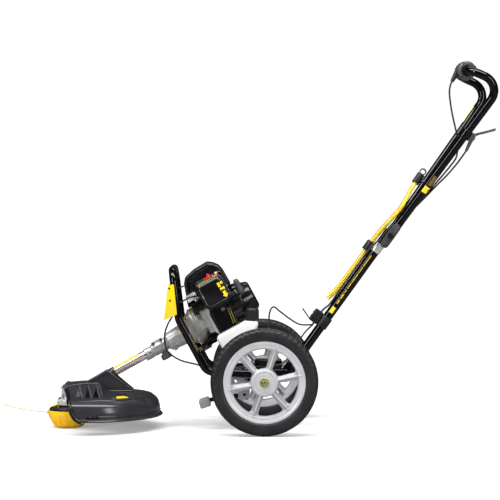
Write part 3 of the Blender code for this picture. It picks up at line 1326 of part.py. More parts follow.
def handle_parts():
    bore = FOLD_BOLT_RADIUS + TURN_GAP
    tube = sweep(handle_path, HANDLE_RADIUS, 10, HANDLE_WALL)
    cut(tube, cylinder(bore, -0.1, 0.1, 12, "Y"))
    add("upper_handle", tube, handle_line, BLACK_GLOSS)

    bar = (handle_bar.x, 0.0, handle_bar.z)
    tube_bore = clear(HANDLE_RADIUS, 12)
    housing = lathe(
        [
            (-HOUSING_OUTER, tube_bore),
            (-HOUSING_OUTER, HOUSING_RADIUS - 0.006),
            (-HOUSING_OUTER + 0.008, HOUSING_RADIUS),
            (-HOUSING_INNER, HOUSING_RADIUS),
            (-HOUSING_INNER, tube_bore),
        ],
        24,
        "Y",
        bar,
    )
    middle = -(HOUSING_OUTER + HOUSING_INNER) / 2
    boot_end = Vector((bar[0], middle, bar[2])) + Vector(BOOT_END)
    boot_start = boot_end + Vector((0.0300, 0.0, 0.0030))
    boot = sweep([boot_end, boot_start], [0.0055, 0.0085], 12)
    rearward = Vector((math.cos(HANDLE_TILT), 0.0, -math.sin(HANDLE_TILT)))
    unite(housing, boot)
    cut(housing, cylinder(tube_bore, -0.12, -0.02, 12, "Y", bar))
    button_place = Vector((bar[0], middle, bar[2])) + rearward * (HOUSING_RADIUS - 0.006)
    towards = Matrix.Translation(button_place) @ Matrix.Rotation(HANDLE_TILT, 4, "Y") @ TO_AXIS["X"]
    pocket = moved(cylinder(0.0063, 0.0, 0.02, 14), towards)
    cut(housing, pocket)
    add("control_housing", housing, handle_line, DARK_GREY)

    button_line = frame_at("button_line", button_place, -HANDLE_TILT, handle_line)
    button = cylinder(0.006, 0.0035, 0.0095, 14, "X")
    add("stop_button", button, button_line, RED)

    throttle_line = frame_at("throttle_line", bar, 0.0, handle_line)
    start = -HOUSING_INNER + GAP
    twist = ring(tube_bore, THROTTLE_RADIUS, start, start + THROTTLE_LENGTH, 24, "Y")
    tab = box((-0.004, start + 0.004, THROTTLE_RADIUS - 0.003), (0.010, start + 0.018, THROTTLE_RADIUS + 0.007), 0.002)
    unite(twist, moved(tab, Matrix.Rotation(math.radians(120), 4, "Y")))
    add("throttle_ring", twist, throttle_line, MID_GREY)

    tilt = Matrix.Rotation(-math.atan(HANDLE_SLOPE), 4, "Z")
    clamp = ring(tube_bore, HANDLE_RADIUS + 0.004, -0.013, 0.013, 16, "X")
    ears = box((-0.012, -0.008, -0.0300), (0.015, 0.008, -HANDLE_RADIUS - 0.001), 0.002)
    slot = box((-0.014, -0.0033, -0.040), (0.020, 0.0033, -HANDLE_RADIUS - 0.0035))
    nose = sweep([(-0.040, 0.0, -0.0305), (-0.008, 0.0, -0.0240)], [0.004, 0.006], 10)
    unite(clamp, ears, nose)
    cut(clamp, slot, cylinder(tube_bore, -0.03, 0.03, 12, "X"))
    pivot = (0.009, 0.0, -0.0235)
    unite(clamp, cylinder(0.0022, -0.007, 0.007, 8, "Y", pivot))
    bracket_place = Vector((LEVER_PLACE, -tube_side(LEVER_PLACE), 0.0))
    add("lever_bracket", moved(clamp, Matrix.Translation(bracket_place) @ tilt), handle_line, BLACK_PLASTIC)

    lever_place = bracket_place + tilt @ Vector(pivot)
    lever_line = frame_at("lever_line", lever_place, 0.0, handle_line)
    lever_line.rotation_euler = (0.0, 0.0, -math.atan(HANDLE_SLOPE))
    shape = [(-0.006, -0.003), (0.004, -0.0045), (0.020, -0.0160), (0.048, -0.0390), (0.055, -0.0370)]
    shape += [(0.0535, -0.0330), (0.026, -0.0095), (0.010, 0.0012), (0.0, 0.0045), (-0.006, 0.003)]
    blade = prism(shape, -0.003, 0.003)
    pad = [(0.016, -0.0140), (0.048, -0.0400), (0.0495, -0.0365), (0.0185, -0.0105)]
    unite(blade, prism(pad, -0.009, 0.009))
    cut(blade, cylinder(0.0022 + TURN_GAP, -0.02, 0.02, 10, "Y"))
    add("hand_lever", blade, lever_line, BLACK_PLASTIC)

    cup_outer = 0.0115
    high = HANDLE_RADIUS + GAP + cup_outer
    cup = cylinder(cup_outer, -0.017, 0.017, 14, "X", (0, 0, high))
    clasp = ring(tube_bore, HANDLE_RADIUS + 0.0035, -0.006, 0.006, 14, "X")
    unite(cup, clasp)
    cut(cup, cylinder(tube_bore, -0.03, 0.03, 14, "X"))
    cut(cup, cylinder(cup_outer - 0.002, -0.02, 0.014, 14, "X", (0, 0, high + 0.0002)))
    holder_place = (HOLDER_PLACE, tube_side(HOLDER_PLACE), 0.0)
    turn = Matrix.Translation(holder_place) @ Matrix.Rotation(math.atan(HANDLE_SLOPE), 4, "Z")
    add("line_holder", moved(cup, turn), handle_line, BLACK_PLASTIC)


# Cables, each in two lengths that meet beside the fold, and the bundle of spare line
def cable_parts():
    # the first two points leave the housing's boot, and the rest are shares of the way up to the crossbar
    middle = -(HOUSING_OUTER + HOUSING_INNER) / 2
    end = Vector((handle_bar.x, middle, handle_bar.z)) + Vector(BOOT_END)
    upper = [end + Vector((-0.0005, 0.0, -0.0001)), end + Vector((-0.0117, 0.0, -0.0032))]
    shares = [
        (0.842, -0.070, 0.1044),
        (0.772, -0.066, 0.0701),
        (0.703, -0.061, 0.0296),
        (0.671, -0.058, 0.0102),
        (0.638, -0.057, -0.0030),
        (0.604, -0.058, -0.0140),
        (0.561, -0.064, -0.0215),
        (0.467, -0.062, -0.0215),
        (0.349, -0.048, -0.0190),
        (0.232, -0.034, -0.0090),
    ]
    upper += [(share * handle_bar.x, side, out) for share, side, out in shares]
    upper.append((0.0600, -0.021, 0.0060))
    add("throttle_cable_upper", cord(upper, CABLE_RADIUS, 3), handle_line, BLACK_PLASTIC)

    nose = Vector((LEVER_PLACE, -tube_side(LEVER_PLACE), 0.0)) + Matrix.Rotation(
        -math.atan(HANDLE_SLOPE), 4, "Z"
    ) @ Vector((-0.0405, 0.0, -0.0306))
    shares = [
        (0.782, -0.0855, -0.0310),
        (0.662, -0.0750, -0.0300),
        (0.549, -0.0610, -0.0290),
        (0.412, -0.0300, -0.0260),
        (0.302, 0.0040, -0.0180),
        (0.2335, 0.0170, -0.0070),
    ]
    upper = [nose] + [(share * LEVER_PLACE, side, out) for share, side, out in shares]
    upper.append((0.0600, 0.021, 0.0060))
    add("lever_cable_upper", cord(upper, CABLE_RADIUS, 3), handle_line, BLACK_PLASTIC)

    front = COLUMN_OFFSET + COLUMN_RADIUS + CABLE_RADIUS + 2 * GAP
    raised = front + 0.006
    clamp_low = CLAMP_ABOVE_FOOT - COLUMN_LENGTH
    clamp_high = clamp_low + CLAMP_LENGTH
    adjuster_top = WHEEL_RADIUS + TOWER_HEIGHT + 0.006
    for side, name in ((-1, "throttle_cable_lower"), (1, "lever_cable_lower")):
        shared = [
            (0.0590, side * 0.0209, 0.0066),
            (0.0300, side * 0.0190, 0.0125),
            (0.0000, side * 0.0185, 0.0145),
            (-0.0280, side * 0.0180, 0.0170),
            (-0.0600, side * 0.0140, 0.0230),
            (-0.1000, side * 0.0050, front),
            (-0.1600, side * 0.0040, front),
            (clamp_high + 0.077, side * 0.0040, front),
            (clamp_high + 0.032, side * 0.0040, front),
            (clamp_high + 0.007, side * 0.0040, raised),
            (clamp_high - 0.021, side * 0.0040, raised),
            (clamp_low - 0.007, side * 0.0040, raised),
        ]
        route = [from_handle(*point) for point in shared]
        if side < 0:
            route += [
                (0.1220, -0.010, 0.2790),
                (0.1010, -0.018, 0.2500),
                (0.0790, -0.030, 0.2180),
                (0.0560, -0.041, 0.1900),
                (0.0200, -0.060, 0.1840),
                (-0.0200, -0.084, 0.1840),
                (-0.0600, -0.094, 0.1840),
                (-0.1050, -0.096, 0.1780),
                (-0.1500, -0.086, 0.1720),
                (-0.1900, -0.068, 0.1880),
                (-0.2373, -0.060, 0.1993),
                (-0.2672, -0.060, 0.2161),
                (-0.2838, -0.060, 0.2365),
                (-0.2879, -0.060, 0.2728),
                (-0.2794, -0.060, 0.3034),
                (-0.2635, -0.060, 0.3324),
                (-0.2560, -0.070, 0.3520),
                (-0.2400, -0.078, 0.3700),
                (-0.2150, -0.070, 0.3830),
                (-0.1920, -0.057, 0.3880),
                (-0.1740, -0.050, 0.3890),
            ]
        else:
            route += [
                (0.1429, 0.004, 0.3002),
                (0.1076, 0.006, 0.3010),
                (0.0782, 0.006, 0.3172),
                (0.0489, 0.004, 0.3392),
                (0.0312, 0.002, 0.3524),
                (0.0209, 0.000, 0.3436),
                (0.0165, -0.002, 0.3201),
                (0.0186, -0.004, 0.2850),
                (0.0280, -0.004, 0.2450),
                (ADJUSTER_BEHIND - 0.0015, 0.000, adjuster_top + 0.0120),
                (ADJUSTER_BEHIND, 0.000, adjuster_top + 0.0005),
            ]
        add(name, cord(route, CABLE_RADIUS, 2), axle_line, BLACK_PLASTIC)

    clamp_front = COLUMN_RADIUS + COLUMN_OFFSET
    holes = clear(CABLE_RADIUS, 10, 0.0006)
    wrap = COLUMN_RADIUS + 0.0035
    band = ring(COLUMN_RADIUS + GAP, wrap, clamp_low + 0.002, clamp_high - 0.003, 16, "X", (0, 0, COLUMN_OFFSET))
    body = box((clamp_low, -0.014, clamp_front + 0.0005), (clamp_high, 0.014, clamp_front + 0.028), 0.003)
    tail = box((-0.004, -0.0020, 0.0), (0.0, 0.0020, 0.038))
    moved(tail, Matrix.Translation((clamp_low + 0.004, 0.0, 0.045)) @ Matrix.Rotation(math.radians(20), 4, "Y"))
    unite(band, body, tail)
    past = 0.010
    for side in (-1, 1):
        cut(band, cylinder(holes, clamp_low - past, clamp_high + past, 10, "X", (0, side * 0.004, raised)))
    cut(band, cylinder(COLUMN_RADIUS + GAP, clamp_low - past, clamp_high + past, 16, "X", (0, 0, COLUMN_OFFSET)))
    add("cable_clamp", band, handle_line, BLACK_PLASTIC)

    bundle_side = 0.0265
    bundle = [
        (HOLDER_PLACE - 0.012, tube_side(HOLDER_PLACE - 0.012), 0.0245),
        (HOLDER_PLACE - 0.040, tube_side(HOLDER_PLACE - 0.040) - 0.0012, 0.0240),
        (HOLDER_PLACE - 0.075, tube_side(HOLDER_PLACE - 0.075) - 0.0078, 0.0200),
        (0.0816, 0.0295, 0.0190),
        (0.0450, 0.0265, 0.0225),
        (0.0100, bundle_side, 0.0265),
        (-0.035, bundle_side, 0.0290),
        (-0.085, bundle_side, 0.0290),
        (-0.150, bundle_side, 0.0290),
        (-0.2216, 0.0250, 0.0320),
        (-0.255, 0.0230, 0.0400),
    ]
    route = curve_through(bundle)
    ends = {0: 0.0060, 4: 0.0070, 12: 0.0075, 20: 0.0090, 36: 0.0092, 40: 0.0105}
    radii = []
    keys = sorted(ends)
    for step in range(len(route)):
        before = max(key for key in keys if key <= step)
        after = min([key for key in keys if key >= step] or [before])
        share = (step - before) / (after - before) if after > before else 0.0
        radii.append(ends[before] + (ends[after] - ends[before]) * share)
    add("spare_lines", sweep(route, radii, 10), handle_line, ORANGE)

    hold = clear(0.0093, 14, 0.0006)
    clip = box((-0.075, 0.0205, -0.0040), (-0.043, bundle_side + hold + 0.003, 0.0420))
    unite(clip, box((-0.071, COLUMN_RADIUS + GAP, 0.0), (-0.047, 0.0210, 0.0100)))
    cut(clip, cylinder(hold, -0.09, -0.03, 14, "X", (0, bundle_side, 0.0290)))
    add("line_clip", clip, handle_line, BLACK_PLASTIC)


for side, suffix in ((-1, "left"), (1, "right")):
    wheel(side, suffix)
axle_parts()
frame_parts()
shaft_parts()
head_parts()
guard_parts()
engine_parts()
starter_parts()
tank_parts()
column_parts()
handle_parts()
cable_parts()
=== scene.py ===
import math

import bmesh
import bpy
import numpy as np
from mathutils import Matrix, Vector


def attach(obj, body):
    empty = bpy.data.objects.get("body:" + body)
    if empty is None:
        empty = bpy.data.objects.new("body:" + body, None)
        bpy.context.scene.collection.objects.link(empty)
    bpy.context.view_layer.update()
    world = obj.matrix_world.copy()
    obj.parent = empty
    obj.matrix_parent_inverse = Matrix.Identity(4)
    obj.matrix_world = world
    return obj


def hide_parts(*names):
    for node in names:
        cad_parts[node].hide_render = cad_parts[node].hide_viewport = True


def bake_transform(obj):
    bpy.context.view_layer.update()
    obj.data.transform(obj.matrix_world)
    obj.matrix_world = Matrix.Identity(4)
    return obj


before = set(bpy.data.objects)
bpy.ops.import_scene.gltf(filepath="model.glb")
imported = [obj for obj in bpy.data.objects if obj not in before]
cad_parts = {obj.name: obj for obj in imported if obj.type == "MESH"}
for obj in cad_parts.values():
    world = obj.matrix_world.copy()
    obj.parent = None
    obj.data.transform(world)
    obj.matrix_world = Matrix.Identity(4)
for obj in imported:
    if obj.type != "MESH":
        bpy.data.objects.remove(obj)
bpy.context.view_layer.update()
print("frame loaded:", len(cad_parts), "nodes")

# Places in metres, the same as in the part's source
axleX = 0.044663
wheelRadius, track = 0.1525, 0.45
headAhead, gearHeight = 0.571, 0.0897
shaftTilt, handleTilt = math.radians(28.6), math.radians(54.2)
foldBehind = 0.074 + 0.505 * math.cos(handleTilt)
foldHeight = wheelRadius + 0.505 * math.sin(handleTilt)


def turnedFrame(x, z, tilt):
    # the frame's first axis leans up from +X by the tilt
    matrix = np.eye(4)
    matrix[:3, :3] = [[math.cos(tilt), 0, -math.sin(tilt)], [0, 1, 0], [math.sin(tilt), 0, math.cos(tilt)]]
    matrix[:3, 3] = [axleX + x, 0, z]
    return matrix


axleFrame = turnedFrame(0, 0, 0)
headFrame = turnedFrame(-headAhead, 0, 0)
shaftFrame = turnedFrame(-headAhead, gearHeight, shaftTilt)
handleFrame = turnedFrame(foldBehind, foldHeight, handleTilt)


# Shapes. A shell is (points, faces), worked out whole with numpy
def fullTurn(count):
    # equal angles all the way round
    return np.linspace(0, 2 * np.pi, count, endpoint=False)


def gridShell(points, wrapRows=False, wrapColumns=True, capFirst=False, capLast=False):
    # rows by columns of points joined into quads, with a flat face on an end that is capped
    rows, columns = points.shape[:2]
    index = np.arange(rows * columns).reshape(rows, columns)
    first, last = index[0][::-1].tolist(), index[-1].tolist()
    if wrapRows:
        index = np.vstack([index, index[:1]])
    if wrapColumns:
        index = np.hstack([index, index[:, :1]])
    faces = np.stack([index[:-1, :-1], index[:-1, 1:], index[1:, 1:], index[1:, :-1]], -1).reshape(-1, 4).tolist()
    return points.reshape(-1, 3), faces + [first] * capFirst + [last] * capLast


def softened(points, radius, steps=4, closed=True, share=0.49):
    # every corner becomes a circular arc, as a weighted quadratic curve between two cut-back points
    points = np.asarray(points, float)
    before, after = points - np.roll(points, 1, 0), np.roll(points, -1, 0) - points
    reach = np.linalg.norm(before, axis=1), np.linalg.norm(after, axis=1)
    arrive, leave = before / np.maximum(reach[0], 1e-9)[:, None], after / np.maximum(reach[1], 1e-9)[:, None]
    turn = np.arccos(np.clip((arrive * leave).sum(1), -1, 1))
    back = np.broadcast_to(radius, turn.shape) * np.tan(np.minimum(turn, 3.0) / 2)
    back = np.minimum(back, share * np.minimum(*reach))
    t = np.linspace(0, 1, steps + 1)[None, :, None]
    weight = 2 * np.cos(turn / 2)[:, None, None] * t * (1 - t)
    start, end = points - back[:, None] * arrive, points + back[:, None] * leave
    curve = (1 - t) ** 2 * start[:, None] + weight * points[:, None] + t**2 * end[:, None]
    curve = curve / ((1 - t) ** 2 + weight + t**2)
    if closed:
        return curve.reshape(-1, points.shape[1])
    return np.vstack([points[:1], curve[1:-1].reshape(-1, points.shape[1]), points[-1:]])


axisOrder = {"x": [2, 0, 1], "y": [1, 2, 0], "z": [0, 1, 2]}


def turned(profile, sides=48, axis="z", wrap=False, centre=(0, 0, 0)):
    # a profile of (along, radius) carried round the axis
    along, radius = np.asarray(profile, float).T[:, :, None]
    angle = fullTurn(sides)
    around = np.stack(np.broadcast_arrays(radius * np.cos(angle), radius * np.sin(angle), along), -1)
    return gridShell(around[..., axisOrder[axis]] + np.array(centre, float), wrapRows=wrap)


def rod(radius, low, high, sides=32, axis="z", centre=(0, 0, 0), edge=0.0006):
    # a straight line at one radius, with its two rims rounded, carried round the axis
    profile = softened([(low, 0), (low, radius), (high, radius), (high, 0)], edge, 3, closed=False)
    return turned(profile, sides, axis, centre=centre)


def spindle(profile, radius, steps, sides=48, axis="z", centre=(0, 0, 0)):
    # a profile that starts and ends on the axis, its corners rounded, carried round it
    return turned(softened(profile, radius, steps, closed=False), sides, axis, centre=centre)


def sleeve(profile, radius, steps, sides=48, axis="z", centre=(0, 0, 0)):
    # a closed profile away from the axis, its corners rounded, carried round it
    return turned(softened(profile, radius, steps), sides, axis, True, centre)


def band(low, high, inner, outer, edge, steps, sides, axis="z", centre=(0, 0, 0)):
    # a ring whose profile is a rectangle of length and radius
    return sleeve([(low, inner), (low, outer), (high, outer), (high, inner)], edge, steps, sides, axis, centre)


def rectangle(left, low, right, high):
    # its four corners, anticlockwise
    return [(left, low), (right, low), (right, high), (left, high)]


def offset(outline, distance):
    # the outline moved along its corner normals, inwards for an anticlockwise one
    before, after = outline - np.roll(outline, 1, 0), np.roll(outline, -1, 0) - outline
    first = np.stack([-before[:, 1], before[:, 0]], 1) / np.maximum(np.linalg.norm(before, axis=1), 1e-9)[:, None]
    second = np.stack([-after[:, 1], after[:, 0]], 1) / np.maximum(np.linalg.norm(after, axis=1), 1e-9)[:, None]
    normal = first + second
    return outline + distance * normal / np.maximum((normal * first).sum(1), 0.3)[:, None]


def cleaned(outline):
    # repeated points dropped, and the outline turned anticlockwise
    outline = np.asarray(outline, float)
    outline = outline[np.linalg.norm(outline - np.roll(outline, 1, 0), axis=1) > 1e-6]
    x, y = outline.T
    return outline if (x * np.roll(y, -1) - y * np.roll(x, -1)).sum() > 0 else outline[::-1]


def slab(outline, low, high, edge=0.0015, steps=3, axis="y"):
    # an outline carried from low to high, with its two rims rounded by a quarter circle
    outline = cleaned(outline)
    edge = min(edge, 0.49 * abs(high - low))
    quarter = np.linspace(0, np.pi / 2, steps + 1)
    inwards, depth = edge * (1 - np.sin(quarter)), edge * (1 - np.cos(quarter))
    inwards, depth = np.r_[inwards, inwards[::-1]], np.r_[low + depth, (high - depth)[::-1]]
    rims = np.stack([offset(outline, distance) for distance in inwards])
    depth = np.broadcast_to(depth[:, None], rims.shape[:2])
    parts = {"y": [rims[..., 0], depth, rims[..., 1]], "x": [depth, rims[..., 0], rims[..., 1]]}
    parts["z"] = [rims[..., 0], rims[..., 1], depth]
    return gridShell(np.stack(parts[axis], -1), capFirst=True, capLast=True)


def cutPlate(outline, radius, steps, low, high, edge=0.0015, rimSteps=3, axis="y"):
    # a slab whose outline has its corners rounded first
    return slab(softened(outline, radius, steps), low, high, edge, rimSteps, axis)


def roundBox(low, high, radius=0.002, steps=4):
    # the surface of a box whose points are pulled to a sphere's distance from an inner box
    low, high = np.array(low, float), np.array(high, float)
    centre, half = (low + high) / 2, (high - low) / 2
    radius = min(radius, half.min() * 0.98)
    rim = radius * np.tan(np.linspace(0, np.pi / 4, steps + 1))
    points, faces, count = [], [], 0
    for axis in range(3):
        u, v = (axis + 1) % 3, (axis + 2) % 3
        a, b = (np.r_[-(half[k] - radius + rim)[::-1], half[k] - radius + rim] for k in (u, v))
        for side in (-1, 1):
            spot = np.zeros((len(a), len(b), 3))
            spot[..., u], spot[..., v], spot[..., axis] = a[:, None], b[None, :], side * half[axis]
            inner = np.clip(spot, radius - half, half - radius)
            away = spot - inner
            spot = inner + radius * away / np.maximum(np.linalg.norm(away, axis=-1), 1e-9)[..., None]
            shell = gridShell(spot + centre, wrapColumns=False)
            faces += (np.array(shell[1]) + count).tolist()
            points.append(shell[0])
            count += len(shell[0])
    return np.vstack(points), faces


def smoothPath(points, perSpan=6):
    # a curve through the points, from each four neighbours
    points = np.asarray(points, float)
    padded = np.vstack([2 * points[0] - points[1], points, 2 * points[-1] - points[-2]])
    a, b, c, d = (padded[k : len(points) - 1 + k, None] for k in range(4))
    t = np.linspace(0, 1, perSpan, endpoint=False)[None, :, None]
    curve = 0.5 * (2 * b + (c - a) * t + (2 * a - 5 * b + 4 * c - d) * t**2 + (3 * b - a - 3 * c + d) * t**3)
    return np.vstack([curve.reshape(-1, points.shape[1]), points[-1:]])


def sideways(path):
    # two directions square to the path, carried along it without twisting
    along = np.gradient(path, axis=0)
    along /= np.linalg.norm(along, axis=1)[:, None]
    start = np.cross(along[0], (0.0, 1.0, 0.0) if abs(along[0][1]) < 0.9 else (1.0, 0.0, 0.0))
    first = [start / np.linalg.norm(start)]
    for direction in along[1:]:
        side = first[-1] - direction * (first[-1] @ direction)
        first.append(side / np.linalg.norm(side))
    first = np.array(first)
    return first, np.cross(along, first)


def pipe(path, radius, sides=24):
    # a circle carried along a path, with flat ends; its radius may change along it
    path = np.asarray(path, float)
    first, second = sideways(path)
    angle = fullTurn(sides)[None, :, None]
    radius = np.broadcast_to(radius, len(path))[:, None, None]
    around = path[:, None] + radius * (np.cos(angle) * first[:, None] + np.sin(angle) * second[:, None])
    return gridShell(around, capFirst=True, capLast=True)


def hollowPipe(path, radius, wall, sides=32):
    # the outer and the inner circle and the two rims as one closed tube
    path = np.asarray(path, float)
    first, second = sideways(path)
    angle = fullTurn(sides)[None, :, None]
    spokes = np.cos(angle) * first[:, None] + np.sin(angle) * second[:, None]
    outer, inner = path[:, None] + radius * spokes, path[:, None] + (radius - wall) * spokes
    return gridShell(np.concatenate([outer, inner[::-1]]), wrapRows=True)


def placed(shell, matrix):
    # every point turned and moved by the frame
    matrix = np.asarray(matrix, float)
    return shell[0] @ matrix[:3, :3].T + matrix[:3, 3], shell[1]


def aimed(place, direction):
    # a frame at the place with its third axis along the direction
    matrix = np.array(Vector(direction).to_track_quat("Z", "Y").to_matrix().to_4x4())
    matrix[:3, 3] = place
    return matrix


def allPlaced(shells, matrix):
    # every shell turned and moved by the same frame
    return [placed(each, matrix) for each in shells]


def spun(angle, axis="z"):
    # a frame turned about one axis through the origin
    return np.array(Matrix.Rotation(angle, 4, axis.upper()))


def mirrored(shell):
    # y changes its sign; buildMesh turns the faces outwards again
    return shell[0] * (1, -1, 1), shell[1]


def upright(line, y):
    # a flat line of (x, z) stood up at one y
    return np.stack([line[:, 0], np.full(len(line), y), line[:, 1]], 1)


def shifted(shells, by):
    # every point of every shell moved by the same step
    return [(points + by, faces) for points, faces in shells]


def onSide(side, near, far):
    # the span between two distances from the middle, on one side of the machine, from low to high
    return sorted((side * near, side * far))


def buildMesh(name, shells, owners=None):
    # each shell has its doubles merged and its faces turned outwards, then all are joined
    joined = bmesh.new()
    for number, (points, faces) in enumerate(shells):
        part = bpy.data.meshes.new("shell")
        part.from_pydata(np.asarray(points).tolist(), [], faces)
        work = bmesh.new()
        work.from_mesh(part)
        bmesh.ops.remove_doubles(work, verts=work.verts, dist=2e-6)
        bmesh.ops.dissolve_degenerate(work, edges=work.edges, dist=1e-6)
        bmesh.ops.recalc_face_normals(work, faces=work.faces)
        work.to_mesh(part)
        work.free()
        slot = owners[number] if owners else 0
        part.polygons.foreach_set("material_index", np.full(len(part.polygons), slot, np.int32))
        joined.from_mesh(part)
        bpy.data.meshes.remove(part)
    mesh = bpy.data.meshes.new(name)
    joined.to_mesh(mesh)
    joined.free()
    return mesh


def carved(shell, *tools):
    # the shell with the tools cut away by exact booleans
    objects = []
    for each in (shell, *tools):
        obj = bpy.data.objects.new("carving", buildMesh("carving", [each]))
        bpy.context.scene.collection.objects.link(obj)
        objects.append(obj)
    body = objects[0]
    for tool in objects[1:]:
        modifier = body.modifiers.new("cut", "BOOLEAN")
        modifier.operation, modifier.solver, modifier.object = "DIFFERENCE", "EXACT", tool
        bpy.context.view_layer.update()
        graph = bpy.context.evaluated_depsgraph_get()
        mesh = bpy.data.meshes.new_from_object(body.evaluated_get(graph))
        body.modifiers.clear()
        body.data = mesh
    points = np.zeros(len(body.data.vertices) * 3)
    body.data.vertices.foreach_get("co", points)
    faces = [list(polygon.vertices) for polygon in body.data.polygons]
    for obj in objects:
        bpy.data.objects.remove(obj)
    return points.reshape(-1, 3), faces


def piece(name, body, parts, replaces=(), at=None, sharp=38):
    # parts is a list of (material, shell, shell, ...); the object stays at the origin
    shells = [(shell if at is None else placed(shell, at)) for part in parts for shell in part[1:]]
    mesh = buildMesh(name, shells, [k for k, part in enumerate(parts) for shell in part[1:]])
    for part in parts:
        mesh.materials.append(part[0])
    mesh.shade_smooth()
    mesh.set_sharp_from_angle(angle=math.radians(sharp))
    obj = bpy.data.objects.new(name, mesh)
    bpy.context.scene.collection.objects.link(obj)
    if body:
        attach(obj, body)
    if replaces:
        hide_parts(*([replaces] if isinstance(replaces, str) else replaces))
    return obj


# Node groups that several materials share
def nodeGroup(name, inputs, outputs):
    # an empty group with its named sockets, and its two end nodes
    group = bpy.data.node_groups.new(name, "ShaderNodeTree")
    for label, kind, value in inputs:
        socket = group.interface.new_socket(label, in_out="INPUT", socket_type=kind)
        if value is not None:
            socket.default_value = value
    for label, kind in outputs:
        group.interface.new_socket(label, in_out="OUTPUT", socket_type=kind)
    return group, group.nodes.new("NodeGroupInput"), group.nodes.new("NodeGroupOutput")


def wire(tree, *rows):
    # each row is (node, output, node, input)
    for start, output, end, entry in rows:
        tree.links.new(start.outputs[output], end.inputs[entry])


def addNode(tree, kind, **values):
    # a shader node; each value goes to the socket of that name, or else to the node's own setting
    node = tree.nodes.new("ShaderNode" + kind)
    for name, value in values.items():
        if name in node.inputs:
            node.inputs[name].default_value = value
        else:
            setattr(node, name, value)
    return node


floatKind, vectorKind = "NodeSocketFloat", "NodeSocketVector"


def makeGrainGroup():
    # blotches of tone and gloss, and a fine moulded or cast grain
    inputs = [("Position", vectorKind, None), ("Grain Scale", floatKind, 900.0), ("Blotch Scale", floatKind, 25.0)]
    inputs += [("Rough Low", floatKind, 0.3), ("Rough High", floatKind, 0.4), ("Pits", floatKind, 0.0)]
    group, source, result = nodeGroup("surfaceGrain", inputs, [(n, floatKind) for n in ("Blotch", "Rough", "Height")])
    fine = addNode(group, "TexNoise", Detail=3.0, Roughness=0.6)
    blotch = addNode(group, "TexNoise", Detail=4.0, Roughness=0.62)
    pits = addNode(group, "TexVoronoi", feature="SMOOTH_F1")
    spread = addNode(group, "MapRange", **{"From Min": 0.32, "From Max": 0.68})
    rough = addNode(group, "MapRange")
    depth = addNode(group, "Math", operation="MULTIPLY")
    total = addNode(group, "Math", operation="ADD")
    for node in (fine, blotch, pits):
        wire(group, (source, "Position", node, "Vector"))
    wire(group, (source, "Grain Scale", fine, "Scale"), (source, "Grain Scale", pits, "Scale"),
        (source, "Blotch Scale", blotch, "Scale"), (blotch, "Fac", spread, "Value"),
        (spread, "Result", rough, "Value"), (source, "Rough Low", rough, "To Min"),
        (source, "Rough High", rough, "To Max"), (pits, "Distance", depth, 0), (source, "Pits", depth, 1),
        (fine, "Fac", total, 0), (depth, 0, total, 1), (spread, "Result", result, "Blotch"),
        (rough, "Result", result, "Rough"), (total, 0, result, "Height"))
    return group


def makeWearGroup():
    # edges and dust: a mask on convex edges, broken up by noise, and another on faces that look up
    inputs = [("Position", vectorKind, None), ("Edge", floatKind, 0.5), ("Dust", floatKind, 0.1)]
    group, source, result = nodeGroup("edgeWear", inputs, [("Edge", floatKind), ("Dust", floatKind)])
    geometry = addNode(group, "NewGeometry")
    edge = addNode(group, "MapRange", **{"From Min": 0.53, "From Max": 0.62})
    noise = addNode(group, "TexNoise", Scale=160.0, Detail=5.0, Roughness=0.7)
    broken = addNode(group, "MapRange", **{"From Min": 0.42, "From Max": 0.62})
    both = addNode(group, "Math", operation="MULTIPLY")
    amount = addNode(group, "Math", operation="MULTIPLY", use_clamp=True)
    split = addNode(group, "SeparateXYZ")
    up = addNode(group, "MapRange", **{"From Min": 0.35, "From Max": 1.0})
    fall = addNode(group, "Math", operation="MULTIPLY")
    dust = addNode(group, "Math", operation="MULTIPLY", use_clamp=True)
    wire(group, (source, "Position", noise, "Vector"), (geometry, "Pointiness", edge, "Value"),
        (noise, "Fac", broken, "Value"), (edge, "Result", both, 0), (broken, "Result", both, 1), (both, 0, amount, 0),
        (source, "Edge", amount, 1), (geometry, "Normal", split, 0), (split, "Z", up, "Value"),
        (up, "Result", fall, 0), (broken, "Result", fall, 1), (fall, 0, dust, 0), (source, "Dust", dust, 1),
        (amount, 0, result, "Edge"), (dust, 0, result, "Dust"))
    return group


grainGroup, wearGroup = makeGrainGroup(), makeWearGroup()


